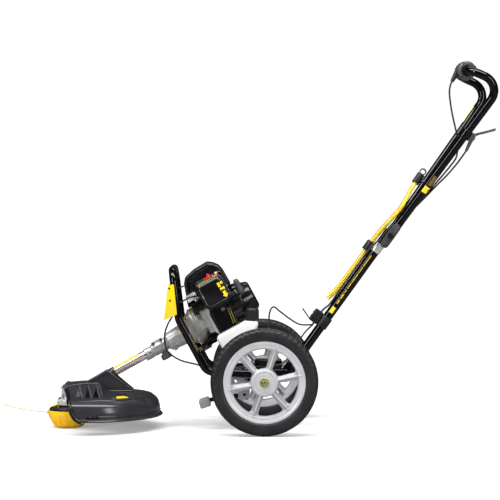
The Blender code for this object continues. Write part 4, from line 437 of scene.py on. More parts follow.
def finish(name, dark, light=None, rough=(0.3, 0.4), metal=0.0, grain=900.0, blotch=25.0, depth=0.00002, pits=0.0,
           edge=0.0, edgeColour=(0.5, 0.5, 0.5), dust=0.0, strength=0.5, **sockets):
    # one material: two tones, a gloss range, a grain depth in metres, worn edges and dust
    material = bpy.data.materials.new(name)
    material.use_nodes = True
    tree = material.node_tree
    shader = tree.nodes["Principled BSDF"]
    shader.inputs["Metallic"].default_value = metal
    for socket, value in sockets.items():
        shader.inputs[socket.replace("_", " ")].default_value = value
    spot = addNode(tree, "TexCoord")
    grains = tree.nodes.new("ShaderNodeGroup")
    grains.node_tree = grainGroup
    values = {"Grain Scale": grain, "Blotch Scale": blotch, "Rough Low": rough[0],
        "Rough High": rough[1], "Pits": pits}
    for label, value in values.items():
        grains.inputs[label].default_value = value
    tone = addNode(tree, "Mix", data_type="RGBA")
    tone.inputs[6].default_value = (*dark, 1)
    tone.inputs[7].default_value = (*(light or [min(1, c * 1.18 + 0.002) for c in dark]), 1)
    bump = addNode(tree, "Bump", Strength=strength, Distance=depth)
    wire(tree, (spot, "Object", grains, "Position"), (grains, "Blotch", tone, 0),
        (grains, "Rough", shader, "Roughness"), (grains, "Height", bump, "Height"), (bump, "Normal", shader, "Normal"))
    colour = tone.outputs[2]
    if edge or dust:
        wear = tree.nodes.new("ShaderNodeGroup")
        wear.node_tree = wearGroup
        wear.inputs["Edge"].default_value, wear.inputs["Dust"].default_value = edge, dust
        wire(tree, (spot, "Object", wear, "Position"))
        for label, over in (("Edge", edgeColour), ("Dust", (0.32, 0.3, 0.27))):
            layer = addNode(tree, "Mix", data_type="RGBA")
            layer.inputs[7].default_value = (*over, 1)
            tree.links.new(wear.outputs[label], layer.inputs[0])
            tree.links.new(colour, layer.inputs[6])
            colour = layer.outputs[2]
    tree.links.new(colour, shader.inputs["Base Color"])
    return material


glossBlack = finish("glossBlackPaint", (0.0008, 0.0008, 0.0016), (0.0018, 0.0018, 0.0028), (0.05, 0.09), grain=350,
    blotch=12, depth=0.000004, Specular_IOR_Level=0.36)
blackPlastic = finish("blackPlastic", (0.008, 0.008, 0.009), (0.013, 0.013, 0.014), (0.32, 0.44), grain=2600,
    depth=0.00003, edge=0.15, edgeColour=(0.05, 0.05, 0.05), dust=0.02, Specular_IOR_Level=0.35)
shinyPlastic = finish("shinyBlackPlastic", (0.004, 0.004, 0.005), (0.007, 0.007, 0.009), (0.11, 0.2), grain=700,
    depth=0.00001, edge=0.15, edgeColour=(0.05, 0.05, 0.055), Specular_IOR_Level=0.42)
guardPlastic = finish("guardPlastic", (0.021, 0.021, 0.025), (0.03, 0.03, 0.035), (0.18, 0.25), grain=1900, blotch=14,
    depth=0.00001, edge=0.1, edgeColour=(0.08, 0.08, 0.085), Specular_IOR_Level=0.5)
# a lighter grey on the guard's edge and crease lines stands in for their highlights: painted highlight
guardLinesPaintedHighlight = finish("guardPaintedHighlightEdges", (0.055, 0.056, 0.062), (0.075, 0.076, 0.083), (0.28, 0.36), grain=1900,
    blotch=14, depth=0.00001)
stripYellow = finish("dullYellowStrip", (0.56, 0.5, 0.05), (0.7, 0.62, 0.08), (0.32, 0.42), blotch=60, depth=0.000003)
greyPlastic = finish("greyPlastic", (0.26, 0.26, 0.27), (0.32, 0.32, 0.33), (0.38, 0.48), grain=2200, edge=0.4,
    edgeColour=(0.45, 0.45, 0.45), dust=0.05)
# a lighter grey on the shroud's ridge lines stands in for their highlights: painted highlight
ridgesPaintedHighlight = finish("shroudRidgesPaintedHighlight", (0.03, 0.031, 0.036), (0.045, 0.046, 0.052), (0.18, 0.28), depth=0.000008)
wornPrint = finish("wornYellowPrint", (0.3, 0.21, 0.015), (0.8, 0.6, 0.04), (0.32, 0.42), blotch=420, depth=0.000003)
# near white stands in for the direct light on the near-side fins: painted light on the cylinder's alloy
finsPaintedLight = finish("finsPaintedLight", (0.84, 0.84, 0.83), (0.94, 0.94, 0.93), (0.35, 0.45))
darkGreyPlastic = finish("darkGreyPlastic", (0.05, 0.051, 0.055), (0.07, 0.071, 0.075), (0.35, 0.46), grain=2200,
    edge=0.12, edgeColour=(0.14, 0.14, 0.14), dust=0.04)
foldPlastic = finish("foldPlatePlastic", (0.03, 0.03, 0.033), (0.044, 0.044, 0.048), (0.35, 0.46), grain=2200,
    edge=0.12, edgeColour=(0.11, 0.11, 0.11), dust=0.04)
rimPlastic = finish("silverRimPlastic", (0.47, 0.47, 0.49), (0.55, 0.555, 0.57), (0.28, 0.38), grain=1500, blotch=18,
    edge=0.3, edgeColour=(0.8, 0.8, 0.82), metal=0.15, dust=0.04)
# the rim's web sectors take a darker copy of the silver finish as painted shade, and its ribs a lighter copy as
# painted highlight
rimWebPaintedShade = finish("silverRimWebPaintedShade", (0.31, 0.31, 0.325), (0.37, 0.372, 0.385), (0.32, 0.42), grain=1500, blotch=18,
    metal=0.15, dust=0.04)
rimRibPaintedHighlight = finish("silverRimRibPaintedHighlight", (0.66, 0.66, 0.68), (0.75, 0.75, 0.77), (0.26, 0.36), grain=1500, blotch=18,
    metal=0.15, dust=0.02)
tyreRubber = finish("tyreRubber", (0.0075, 0.0068, 0.0085), (0.014, 0.0125, 0.015), (0.4, 0.56), grain=1200, blotch=30,
    depth=0.00005, edge=0.15, edgeColour=(0.04, 0.038, 0.042), dust=0.04, Specular_IOR_Level=0.5)
podPlastic = finish("podPlastic", (0.06, 0.06, 0.064), (0.078, 0.078, 0.083), (0.26, 0.34), depth=0.000003)
castAlloy = finish("castAlloy", (0.42, 0.42, 0.415), (0.58, 0.58, 0.57), (0.36, 0.5), metal=0.6, grain=1100, blotch=40,
    depth=0.00005, pits=0.4, edge=0.5, edgeColour=(0.85, 0.85, 0.84), dust=0.06)
brightAlloy = finish("brightAlloy", (0.62, 0.62, 0.61), (0.74, 0.74, 0.73), (0.3, 0.42), metal=0.45, depth=0.00003,
    edge=0.4, edgeColour=(0.9, 0.9, 0.9))
# the chrome's pink-brown tint stands in for the warm reflections on the tube: painted reflection
chromePaintedReflection = finish("chromedTubePaintedReflection", (0.8, 0.7, 0.68), (0.86, 0.76, 0.74), (0.15, 0.18), metal=0.75, grain=60,
    blotch=9, depth=0.000003)
plainSteel = finish("plainSteel", (0.36, 0.36, 0.365), (0.48, 0.48, 0.48), (0.26, 0.4), metal=1.0, grain=800, edge=0.3,
    edgeColour=(0.7, 0.7, 0.7))
darkSteel = finish("blackenedSteel", (0.02, 0.02, 0.022), (0.035, 0.035, 0.037), (0.26, 0.38), metal=0.6, edge=0.4,
    edgeColour=(0.2, 0.2, 0.2))
zincPlate = finish("brightZinc", (0.5, 0.53, 0.57), (0.64, 0.67, 0.7), (0.28, 0.42), metal=0.7, grain=500, blotch=90,
    edge=0.3, edgeColour=(0.85, 0.85, 0.85))
yellowZinc = finish("yellowZinc", (0.3, 0.31, 0.03), (0.8, 0.78, 0.3), (0.16, 0.26), metal=0.9, grain=600, blotch=160,
    depth=0.00001, edge=0.5, edgeColour=(0.95, 0.92, 0.62))
brassMetal = finish("brass", (0.55, 0.36, 0.13), (0.7, 0.5, 0.22), (0.24, 0.36), metal=1.0, grain=700)
yellowPaint = finish("yellowPaint", (0.95, 0.6, 0.0), (1.0, 0.66, 0.002), (0.28, 0.38), grain=500, blotch=10,
    depth=0.000006, edge=0.2, edgeColour=(0.6, 0.42, 0.03), Coat_Weight=0.15)
yellowLabel = finish("yellowLabel", (0.86, 0.66, 0.004), (0.95, 0.76, 0.012), (0.32, 0.42), blotch=30, depth=0.000003,
    Coat_Weight=0.2)
goldLabel = finish("dullGoldLabel", (0.06, 0.036, 0.007), (0.3, 0.175, 0.02), (0.3, 0.42), blotch=260, depth=0.000003)
oliveLabel = finish("oliveStripe", (0.22, 0.2, 0.012), (0.34, 0.31, 0.03), blotch=90, depth=0.000005)
bowlYellow = finish("bowlYellow", (1.0, 0.53, 0.001), (1.0, 0.62, 0.002), (0.28, 0.38), grain=1400, blotch=14,
    edge=0.3, edgeColour=(1.0, 0.72, 0.12), Subsurface_Weight=0.06, Subsurface_Scale=0.003)
orangePlastic = finish("orangePlastic", (0.95, 0.22, 0.003), (1.0, 0.3, 0.01), grain=1200)
redPlastic = finish("redPlastic", (0.62, 0.012, 0.008), (0.75, 0.03, 0.02), (0.25, 0.35), grain=1200, depth=0.00001)
nylonLine = finish("nylonLine", (0.84, 0.27, 0.012), (0.95, 0.37, 0.035), (0.22, 0.34), grain=300, depth=0.000003)
yellowLine = finish("yellowNylonLine", (1.0, 0.66, 0.02), (1.0, 0.8, 0.09), (0.22, 0.34), grain=300,
    blotch=40, depth=0.000003)
tankPlastic = finish("tankPlastic", (0.8, 0.81, 0.8), (0.88, 0.89, 0.88), (0.28, 0.4), grain=800, blotch=12, dust=0.02,
    Subsurface_Weight=0.25, Subsurface_Scale=0.004)
cableRubber = finish("cableRubber", (0.01, 0.01, 0.011), (0.016, 0.016, 0.018), (0.33, 0.44),
    grain=1600, depth=0.00001)
gripRubber = finish("gripRubber", (0.018, 0.018, 0.02), (0.028, 0.028, 0.03), (0.48, 0.6), grain=1800,
    depth=0.00003, dust=0.06)
paleMetal = finish("paleSleeve", (0.62, 0.62, 0.63), (0.72, 0.72, 0.73), (0.22, 0.32), metal=0.6,
    grain=700, depth=0.00001)
heatPaint = finish("heatPaint", (0.014, 0.014, 0.015), (0.024, 0.023, 0.023), (0.45, 0.6), grain=1300, depth=0.00004,
    edge=0.4, edgeColour=(0.14, 0.12, 0.1))

print("materials made")

# The photograph's camera, square to the machine's left side
camera = bpy.data.objects.new("camera", bpy.data.cameras.new("camera"))
bpy.context.scene.collection.objects.link(camera)
camera.location, camera.rotation_euler = (axleX - 0.0716, -5.585, 0.658), (math.radians(90), 0, 0)
camera.data.sensor_width, camera.data.lens = 36, 136.85
camera.data.shift_x, camera.data.shift_y = 0.022, -0.094
bpy.context.scene.camera = camera

# Floor and light: a pale floor that brightens away from the machine, and large soft lamps
floorMaterial = finish("floorPaper", (0.8, 0.8, 0.8), (0.82, 0.82, 0.82), (0.75, 0.85), grain=300, blotch=0.7,
    Emission_Color=(1, 1, 1, 1))
tree = floorMaterial.node_tree
away = addNode(tree, "VectorMath", operation="LENGTH")
glow = addNode(tree, "MapRange", **{"From Min": 0.9, "From Max": 4.0, "To Min": 0.3, "To Max": 0.95})
spot = [node for node in tree.nodes if node.type == "TEX_COORD"][0]
tree.links.new(spot.outputs["Object"], away.inputs[0])
tree.links.new(away.outputs["Value"], glow.inputs["Value"])
floorSees = addNode(tree, "LightPath")
shown = addNode(tree, "Math", operation="MULTIPLY")
tree.links.new(floorSees.outputs["Is Camera Ray"], shown.inputs[0])
tree.links.new(glow.outputs["Result"], shown.inputs[1])
tree.links.new(shown.outputs[0], tree.nodes["Principled BSDF"].inputs["Emission Strength"])
dimmed = addNode(tree, "Mix", data_type="RGBA")
dimmed.inputs[7].default_value = (0.21, 0.21, 0.21, 1)
shader = tree.nodes["Principled BSDF"]
tree.links.new(floorSees.outputs["Is Glossy Ray"], dimmed.inputs[0])
tree.links.new(shader.inputs["Base Color"].links[0].from_socket, dimmed.inputs[6])
tree.links.new(dimmed.outputs[2], shader.inputs["Base Color"])
floor = piece("floorSweep", None, [(floorMaterial, turned([(-0.0006, 0.0), (-0.0006, 40.0)], 64))])


def softLamp(name, place, target, size, power):
    # a rectangle of light at the place, facing the target
    lamp = bpy.data.lights.new(name, "AREA")
    lamp.shape, lamp.size, lamp.size_y, lamp.energy = "RECTANGLE", size[0], size[1], power
    obj = bpy.data.objects.new(name, lamp)
    obj.location = place
    obj.rotation_euler = (Vector(target) - Vector(place)).to_track_quat("-Z", "Y").to_euler()
    bpy.context.scene.collection.objects.link(obj)


softLamp("lampAbove", (-0.35, -0.95, 3.0), (-0.2, 0, 0.3), (4.6, 0.9), 150)
softLamp("lampFrontLeft", (-3.2, -3.4, 2.6), (0, 0, 0.4), (0.8, 2.4), 78)
softLamp("lampFrontRight", (3.0, -3.6, 1.9), (0, 0, 0.4), (0.9, 2.4), 60)
softLamp("lampBehind", (0.6, 2.4, 5.0), (0, 0, 0.4), (3.0, 1.0), 32)
world = bpy.data.worlds.new("studioAir")
world.use_nodes = True
air = world.node_tree
background = air.nodes["Background"]
background.inputs["Color"].default_value = (1.0, 1.0, 1.0, 1)
airSees = addNode(air, "LightPath")
strength = addNode(air, "MapRange")
air.links.new(airSees.outputs["Is Camera Ray"], strength.inputs["Value"])
softer = addNode(air, "MapRange", **{"To Min": 0.18, "To Max": 0.05})
air.links.new(airSees.outputs["Is Glossy Ray"], softer.inputs["Value"])
air.links.new(softer.outputs["Result"], strength.inputs["To Min"])
air.links.new(strength.outputs["Result"], background.inputs["Strength"])
bpy.context.scene.world = world
bpy.context.scene.view_settings.view_transform = "Standard"


# Wheels. Each is worked out on its own centre with +Y outwards, and the near one is mirrored
tyre = {"width": 0.045, "bead": 0.1162, "blocks": 54, "groove": 0.0026, "sectionPoints": 66, "pointsPerBlock": 10}


def resampled(points, count, closed=True):
    # the same line with its points at equal steps of length
    points = np.vstack([points, points[:1]]) if closed else np.asarray(points, float)
    length = np.r_[0, np.cumsum(np.linalg.norm(np.diff(points, axis=0), axis=1))]
    steps = np.linspace(0, length[-1], count + 1)[:-1] if closed else np.linspace(0, length[-1], count)
    return np.stack([np.interp(steps, length, column) for column in points.T], 1)


def smoothStep(low, high, value):
    # 0 below, 1 above, and three squares less two cubes of the share between
    t = np.clip((value - low) / (high - low), 0, 1)
    return t * t * (3 - 2 * t)


def tyreShell():
    # the tyre's section carried round, its tread lowered where a groove function of angle and width says so
    half = tyre["width"] / 2
    outside = [(-0.0165, tyre["bead"]), (-0.0195, 0.118), (-0.0216, 0.1245), (-half, 0.1315), (-half, 0.1375)]
    outside += [(-0.0214, 0.144), (-0.0186, 0.1482), (-0.012, 0.1511), (-0.004, wheelRadius)]
    section = softened(outside + [(-y, r) for y, r in outside[::-1]], 0.004, 3)
    section = resampled(section, tyre["sectionPoints"])
    width, radius = section.T
    columns = tyre["blocks"] * tyre["pointsPerBlock"]
    turn = np.arange(columns) / tyre["pointsPerBlock"]
    side = np.abs(width)[:, None]
    phase = (turn[None, :] + np.where(width > 0, 0.5, 0.0)[:, None] + 9.0 * side) % 1.0
    across = smoothStep(0.3, 0.36, np.abs(phase - 0.5)) * smoothStep(0.005, 0.0062, side)
    around = smoothStep(0.0032, 0.0042, side) * (1 - smoothStep(0.0056, 0.0066, side))
    tread = smoothStep(0.1425, 0.146, radius)[:, None]
    ridge = 0.0007 * np.exp(-(((radius - 0.1225) / 0.0007) ** 2))
    ridge += 0.0006 * np.exp(-(((radius - 0.1345) / 0.0006) ** 2))
    depth = tyre["groove"] * np.maximum(across, 0.8 * around) * tread
    reach = radius[:, None] - depth * 0.9
    width = width[:, None] + np.sign(width)[:, None] * (ridge[:, None] - 0.25 * depth * smoothStep(0.016, 0.02, side))
    angle = 2 * np.pi * np.arange(columns) / columns
    points = np.stack(np.broadcast_arrays(reach * np.cos(angle), width, reach * np.sin(angle)), -1)
    return gridShell(points, wrapRows=True)


rim = {"spokes": 6, "turn": math.radians(11.5), "front": 0.016, "back": 0.006, "dish": 0.0074, "ribHeight": 0.0032,
    "ribHalf": 0.0014}


def rimSector(middle):
    # one sixth of the disc: rays from a window's middle run from the window's wall out to the sector's edge
    inner, outer, pitch = 0.041, 0.094, math.pi / rim["spokes"]
    innerHalf, outerHalf = pitch - math.asin(0.0088 / inner), pitch - math.asin(0.0118 / outer)
    spread = np.linspace(outerHalf, -outerHalf, 7)
    corners = [(outer * math.cos(a), outer * math.sin(a)) for a in spread]
    corners += [(inner * math.cos(a), inner * math.sin(a)) for a in (-innerHalf, 0.0, innerHalf)]
    window = resampled(softened(corners, [0.015] + [0.02] * 5 + [0.015, 0.008, 0.03, 0.008], 8)[::-1], 120)
    heart = np.array([0.071, 0.0])
    ray = window - heart
    ray /= np.linalg.norm(ray, axis=1)[:, None]

    def toCircle(radius, far):
        # how far each ray runs to a circle about the axle: the root of a quadratic
        along = -(ray @ heart)
        root = along**2 - heart @ heart + radius**2
        reach = along + (1 if far else -1) * np.sqrt(np.maximum(root, 0))
        return np.where((root > 0) & (reach > 0), reach, 9.0)

    def toSpoke(angle):
        # how far each ray runs to the line through the axle at the angle
        normal = np.array([-math.sin(angle), math.cos(angle)])
        facing = ray @ normal
        reach = -(heart @ normal) / np.where(np.abs(facing) < 1e-6, 1e-6, facing)
        return np.where(reach > 0, reach, 9.0)

    edge = heart + ray * np.min([toCircle(0.0985, True), toCircle(0.034, False), toSpoke(pitch), toSpoke(-pitch)],
        axis=0)[:, None]

    def faceHeight(point):
        # the web falls away on both sides of its rib, like a roof, and levels out at its two ends
        span = np.linalg.norm(point, axis=-1)
        off = span * np.sin(np.maximum(pitch - np.abs(np.arctan2(point[..., 1], point[..., 0])), 0))
        ends = smoothStep(0.034, 0.044, span) * (1 - smoothStep(0.084, 0.099, span))
        return rim["front"] - rim["dish"] * np.clip((off - 0.0012) / 0.0095, 0, 1) * ends

    arc = np.linspace(0, np.pi / 2, 5)[:, None]
    outwards = ray * 0.0015
    rounding = window + outwards * (1 - np.cos(arc))[..., None]
    depth = faceHeight(rounding) - 0.0015 * (1 - np.sin(arc))
    face = rounding[-1] + (edge - rounding[-1]) * np.linspace(0, 1, 18)[1:, None, None]
    rows = [np.stack([rounding[..., 0], depth, rounding[..., 1]], -1),
        np.stack([face[..., 0], faceHeight(face), face[..., 1]], -1)]
    rows += [np.insert(line, 1, rim["back"], axis=1)[None] for line in (edge, window)]
    return placed(gridShell(np.concatenate(rows), wrapRows=True), spun(-middle, "y"))


def wheel(suffix, body):
    # the tyre, then the rim: ring and hub turned, six sectors of disc, and a rib and a web on each spoke
    shape = mirrored if suffix == "left" else (lambda shell: shell)
    piece("tyreVisual_" + suffix, body, [(tyreRubber, shape(tyreShell()))], "tyre_" + suffix, wheelFrame[suffix])
    ring = [(0.015, 0.0966), (0.0166, 0.0984), (0.0172, 0.107), (0.0192, 0.11), (0.0192, 0.1148), (0.0178, 0.1164)]
    ring += [(-0.0178, 0.1164), (-0.0192, 0.1148), (-0.0192, 0.1116), (-0.0165, 0.1092), (0.001, 0.1036)]
    ring += [(0.0052, 0.099), (0.006, 0.0966)]
    hub = [(0.024, 0.0082), (0.024, 0.027), (0.0225, 0.0276), (0.0225, 0.0292), (0.024, 0.0298), (0.0236, 0.0345)]
    hub += [(0.0205, 0.0372), (0.0172, 0.0385), (0.006, 0.0385), (0.004, 0.0265), (-0.0255, 0.02), (-0.0255, 0.0082)]
    shells = [sleeve(ring, 0.0012, 3, 144, "y"), sleeve(hub, 0.001, 3, 96, "y")]
    ribs, sectors = [], []
    for number in range(rim["spokes"]):
        angle = rim["turn"] + number * math.pi / 3
        sectors.append(shape(rimSector(angle + math.pi / 6)))
        half = rim["ribHalf"]
        outline = [(0.033, -half), (0.07, -half * 0.8), (0.1065, -half * 0.5), (0.1065, half * 0.5),
            (0.07, half * 0.8), (0.033, half)]
        top = rim["front"] + rim["ribHeight"]
        ribs.append(shape(placed(cutPlate(outline, 0.001, 3, 0.007, top, 0.001, 4), spun(-angle, "y"))))
        web = [(0.036, -0.002), (0.1, -0.002), (0.1, 0.002), (0.036, 0.002)]
        shells.append(placed(cutPlate(web, 0.001, 2, -0.004, 0.008, 0.001, 2), spun(-angle, "y")))
    shells = [shape(each) for each in shells]
    # painted shade on the sloping web sectors, painted highlight on the ribs
    parts = [(rimPlastic, *shells), (rimWebPaintedShade, *sectors), (rimRibPaintedHighlight, *ribs)]
    piece("rimVisual_" + suffix, body, parts, "rim_" + suffix, wheelFrame[suffix])


wheelFrame = {name: axleFrame.copy() for name in ("left", "right")}
for suffix, side in (("left", -1), ("right", 1)):
    wheelFrame[suffix][:3, 3] += [0, side * track / 2, wheelRadius]
    wheel(suffix, "wheel_" + suffix)


def hexHead(across, low, high):
    # a hexagon with its corners turned off in a cone
    angle = np.arange(6) * np.pi / 3 + np.pi / 6
    outline = np.stack([across * np.cos(angle), across * np.sin(angle)], 1)
    return cutPlate(outline, 0.0004, 1, low, high, 0.0008, 2, axis="z")


def screw(radius=0.003, height=0.0022):
    # a pan head with a hexagon socket, standing on the plane with +Z up
    head = softened([(0.0, radius), (height, radius), (height, radius * 0.48), (height * 0.35, radius * 0.44)], 0.0003,
        2, closed=False)
    return turned(np.vstack([[(-0.001, 0)], [(-0.001, radius)], head, [(height * 0.35, 0)]]), 20)


def boltRow(places, direction, radius=0.003, height=0.0022):
    # one screw at each place, all facing the direction
    return [placed(screw(radius, height), aimed(place, direction)) for place in places]


axleEnds = {"nutRadius": 0.011, "washer": 0.0126, "place": track / 2 + 0.0243}


def axleShells(side):
    # a hexagon nut, the washer under it and the end of the bolt, on one side
    place = axleEnds["place"]
    radius = axleEnds["nutRadius"]
    corners = [(radius * math.cos(a), radius * math.sin(a)) for a in np.arange(6) * math.pi / 3 + 0.2]
    nut = cutPlate(corners, 0.0006, 2, *onSide(side, place + 0.0016, place + 0.0078), 0.001)
    washer = rod(axleEnds["washer"], *onSide(side, place, place + 0.0018), 40, "y", edge=0.0005)
    boltEnd = rod(0.0062, *onSide(side, place, place + 0.008), 32, "y", edge=0.0005)
    return shifted([nut, washer, boltEnd], (0, 0, wheelRadius))


shaftBar = rod(0.0079, -0.249, 0.249, 32, "y", (0, 0, wheelRadius))
piece("axleBolt", "chassis", [(yellowZinc, shaftBar, *axleShells(-1))], "axle", axleFrame)
piece("axleNutVisual", "chassis", [(yellowZinc, *axleShells(1))], "axle_nut", axleFrame)
print("wheels made")

# The hoop in front of the engine: one bent tube with its two rails back to the axle
hoop = {"radius": 0.0115, "halfWidth": 0.115, "bends": [0, 0.035, 0.06, 0.045, 0.045, 0.06, 0.035, 0]}
hoopLine = [(-0.0163, 0.166), (-0.1636, 0.1718), (-0.2449, 0.321), (-0.264, 0.464)]
hoopHalf = [(x, -hoop["halfWidth"], z) for x, z in hoopLine]
hoopPath = softened(hoopHalf + [(x, -y, z) for x, y, z in hoopHalf[::-1]], hoop["bends"], 12, closed=False, share=0.6)
piece("hoopTube", "chassis", [(glossBlack, pipe(hoopPath, hoop["radius"], 32))], "front_hoop", axleFrame)

# Guard: one height field for the dome and its raised box, thickened inwards
guard = {"centre": 0.043, "lip": 0.23, "wall": 0.0028, "columns": 288, "rows": 84}


def smoothMin(a, b, soft):
    # the lesser of two values, with a quadratic blend where they are closer than soft
    h = np.clip(0.5 + 0.5 * (b - a) / soft, 0, 1)
    return b + (a - b) * h - soft * h * (1 - h)


skirt = [(0.0372, 0.23), (0.0448, 0.23), (0.0472, 0.2246), (0.064, 0.2246), (0.086, 0.2175), (0.0965, 0.199)]
skirt += [(0.1, 0.178), (0.1045, 0.132), (0.1085, 0.07), (0.11, 0.0)]
guardLine = softened(skirt, [0, 0.001, 0.002, 0.03, 0.04, 0.03, 0.05, 0.1, 0.1, 0], 6, closed=False)
guardLine = resampled(guardLine, guard["rows"], closed=False)


def boxHeight(x, y):
    # the raised box: the least of its top and its three slopes
    top = smoothMin(0.1262 + 0.14 * (x + 0.008), 0.134 + 0.03 * (x - 0.06), 0.003)
    return smoothMin(smoothMin(top, 0.1335 - 0.25 * (np.abs(y) - 0.045), 0.005), 0.135 - 1.75 * (x - 0.094), 0.008)


def guardShell():
    # height = the larger of the dome's profile and the box; a groove at 27 degrees and a rib beside it mark the rear
    height, reach = guardLine.T
    angle = 2 * np.pi * np.arange(guard["columns"]) / guard["columns"]
    off = np.degrees(np.minimum(angle, 2 * np.pi - angle))
    groove = 0.0022 * np.exp(-(((off - 22.5) / 1.6) ** 2)) - 0.0042 * np.exp(-(((off - 27.5) / 2.0) ** 2))
    groove = groove * (smoothStep(0.0475, 0.054, height) * (1 - smoothStep(0.094, 0.099, height)))[:, None]
    x = guard["centre"] + (reach[:, None] + groove) * np.cos(angle)
    y = (reach[:, None] + groove) * np.sin(angle)
    box = boxHeight(x, y)
    base = height[:, None] + 0.0075 * np.exp(-(((x - 0.212) / 0.03) ** 2) - (y / 0.055) ** 2)
    step = 0.0016 * smoothStep(0.15, 0.147, x) * smoothStep(0.214, 0.205, reach)[:, None]
    z = -smoothMin(-(base + step), -np.where(reach[:, None] < 0.2025, box, 0), 0.0035)
    z = np.where(reach[:, None] > 0.2075, base, z)
    outer = np.stack([x, y, z], -1)
    down = np.gradient(outer, axis=0)
    around = np.roll(outer, -1, 1) - np.roll(outer, 1, 1)
    normal = np.cross(down, around)
    size = np.linalg.norm(normal, axis=-1)[..., None]
    normal = np.where(size > 1e-9, normal / np.maximum(size, 1e-9), (0.0, 0.0, 1.0))
    outwards = (normal[..., :2] * (outer[..., :2] - (guard["centre"], 0))).sum(-1)[..., None]
    inverted = (normal[..., 2:] < -0.2) | (outwards < -1e-4) & (normal[..., 2:] < 0.2)
    normal = normal * np.where(inverted, -1, 1)
    inner = outer - guard["wall"] * normal
    inner[0] = outer[0] - np.stack([np.cos(angle), np.sin(angle), 0 * angle], -1) * (guard["lip"] - 0.219)
    inner[1] = inner[0] + (0, 0, 0.004)
    return gridShell(np.concatenate([outer, inner[::-1]]), wrapRows=True)


frontEdge = [(0.05, -0.2298, 0.04), (0.033, -0.2236, 0.049), (0.0245, -0.2226, 0.062), (0.019, -0.2205, 0.0761),
    (0.0145, -0.209, 0.0905)]
frontEdge += [(0.0112, -0.18, 0.0998), (0.007, -0.147, 0.108), (-0.002, -0.103, 0.119), (-0.01, -0.078, 0.1245),
    (-0.0125, -0.056, 0.1258)]
frontCut = [(-0.32, 0.32), (-0.32, -0.02), (0.072, -0.02), (0.072, 0.034)] + [(x, z) for x, y,
    z in frontEdge] + [(-0.0125, 0.32)]
frontCut = softened(frontCut, [0, 0, 0, 0.003] + [0.02] * 9 + [0.002, 0])
ventPlaces = (0.0352, 0.061, 0.085)


def ventOutline(place):
    # a slanted triangle with rounded corners
    corners = [(place, 0.1262), (place - 0.0015, 0.102), (place + 0.0155, 0.102)]
    return softened(corners, 0.0012, 3)


vents = [slab(ventOutline(place), *onSide(side, 0.076, 0.182), 0.0003) for place in ventPlaces for side in (-1, 1)]
guardBody = carved(guardShell(), slab(frontCut, -0.4, 0.4, 0.0001, 1), *vents)
slotMarks, ventRibsPaintedHighlight, edgeHighlightLines = [], [], []
webOutline = [(0.049, 0.106), (0.0515, 0.1335), (0.06, 0.1395), (0.072, 0.146), (0.1135, 0.1705), (0.1395, 0.15),
    (0.1925, 0.107)]
webShell = cutPlate(webOutline, [0.001, 0.004, 0.004, 0.006, 0.01, 0.014, 0.006], 5, -0.0165, 0.0165, 0.0035, 4)
webRidge = pipe(smoothPath([(0.1215, 0, 0.1665), (0.14, 0, 0.1525), (0.1665, 0, 0.1305),
    (0.189, 0, 0.1122)]), 0.0026, 12)
guardParts = [guardBody, webShell, webRidge, roundBox((0.03, -0.0015, 0.085), (0.106, 0.0015, 0.127), 0.001)]
frontRim = smoothPath(frontEdge + [(x, -y, z) for x, y, z in frontEdge[::-1]])
bandLine = frontRim + (0.0036, 0, -0.001)
rimBand = [pipe(bandLine[bandLine[:, 1] * side > 0.101], 0.0064, 20) for side in (-1, 1)]
brow = pipe(bandLine[np.abs(bandLine[:, 1]) < 0.106], 0.0042, 20)
for side in (-1, 1):
    edgeLine = [(0.056, 0.1355), (0.074, 0.1446), (0.1125, 0.167), (0.135, 0.1508), (0.187, 0.1106)]
    edgeHighlightLines += [pipe(softened([(x, side * 0.0162, z) for x, z in edgeLine], 0.006, closed=False), 0.0016, 10),
        pipe([(0.101, side * 0.0168, 0.1085), (0.145, side * 0.0168, 0.1078),
        (0.185, side * 0.0168, 0.1082)], 0.0018, 10)]
    crease = [(-0.006, 0.07), (0.03, 0.052), (0.06, 0.046), (0.086, 0.048), (0.0935, 0.058),
        (0.1, 0.095), (0.1085, 0.15)]
    crease = smoothPath([(x, side * y, boxHeight(x, y) - 0.0002) for x, y in crease], 5)
    edgeHighlightLines.append(pipe(crease, 0.0014, 10))
    for place in ventPlaces:
        # a slanted rib stands along the rear edge of each vent, in a lighter dark grey as a painted highlight
        ends = np.array([(place + 0.0012, 0.1272), (place + 0.0186, 0.1012)])
        ribLine = np.insert(ends, 1, side * (0.045 + (0.1335 - ends[:, 1]) / 0.25), axis=1) + (0, 0, 0.0004)
        ventRibsPaintedHighlight.append(pipe(np.linspace(ribLine[0], ribLine[1], 8), 0.0023, 10))
    for number in range(3):
        angle = side * math.radians(82.4 - 3.3 * number)
        slotMark = placed(roundBox((0.2225, -0.005, 0.0442), (0.2278, 0.005, 0.0545), 0.0008), spun(angle))
        slotMarks += shifted([slotMark], (guard["centre"], 0, 0))
rimAngle = np.radians(np.linspace(-82.5, 82.5, 110))
# beads round the skirt: height, radius, thickness, and how far forward each one starts
for level, reach, thick, ahead in ((0.0405, 0.2298, 0.0028, 0.054), (0.096, 0.2008, 0.0017, 0.025),
        (0.053, 0.225, 0.0013, 0.042)):
    bead = np.stack([guard["centre"] + reach * np.cos(rimAngle), reach * np.sin(rimAngle), level + 0 * rimAngle], -1)
    guardParts.append(pipe(bead[bead[:, 0] > ahead], thick, 10))
# the edge and crease lines take the lighter grey as painted highlight
piece("guardShell", "chassis", [(guardPlastic, *guardParts), (glossBlack, *slotMarks), (shinyPlastic, *rimBand),
    (darkGreyPlastic, *ventRibsPaintedHighlight, brow), (guardLinesPaintedHighlight, *edgeHighlightLines)], "guard", headFrame, sharp=32)

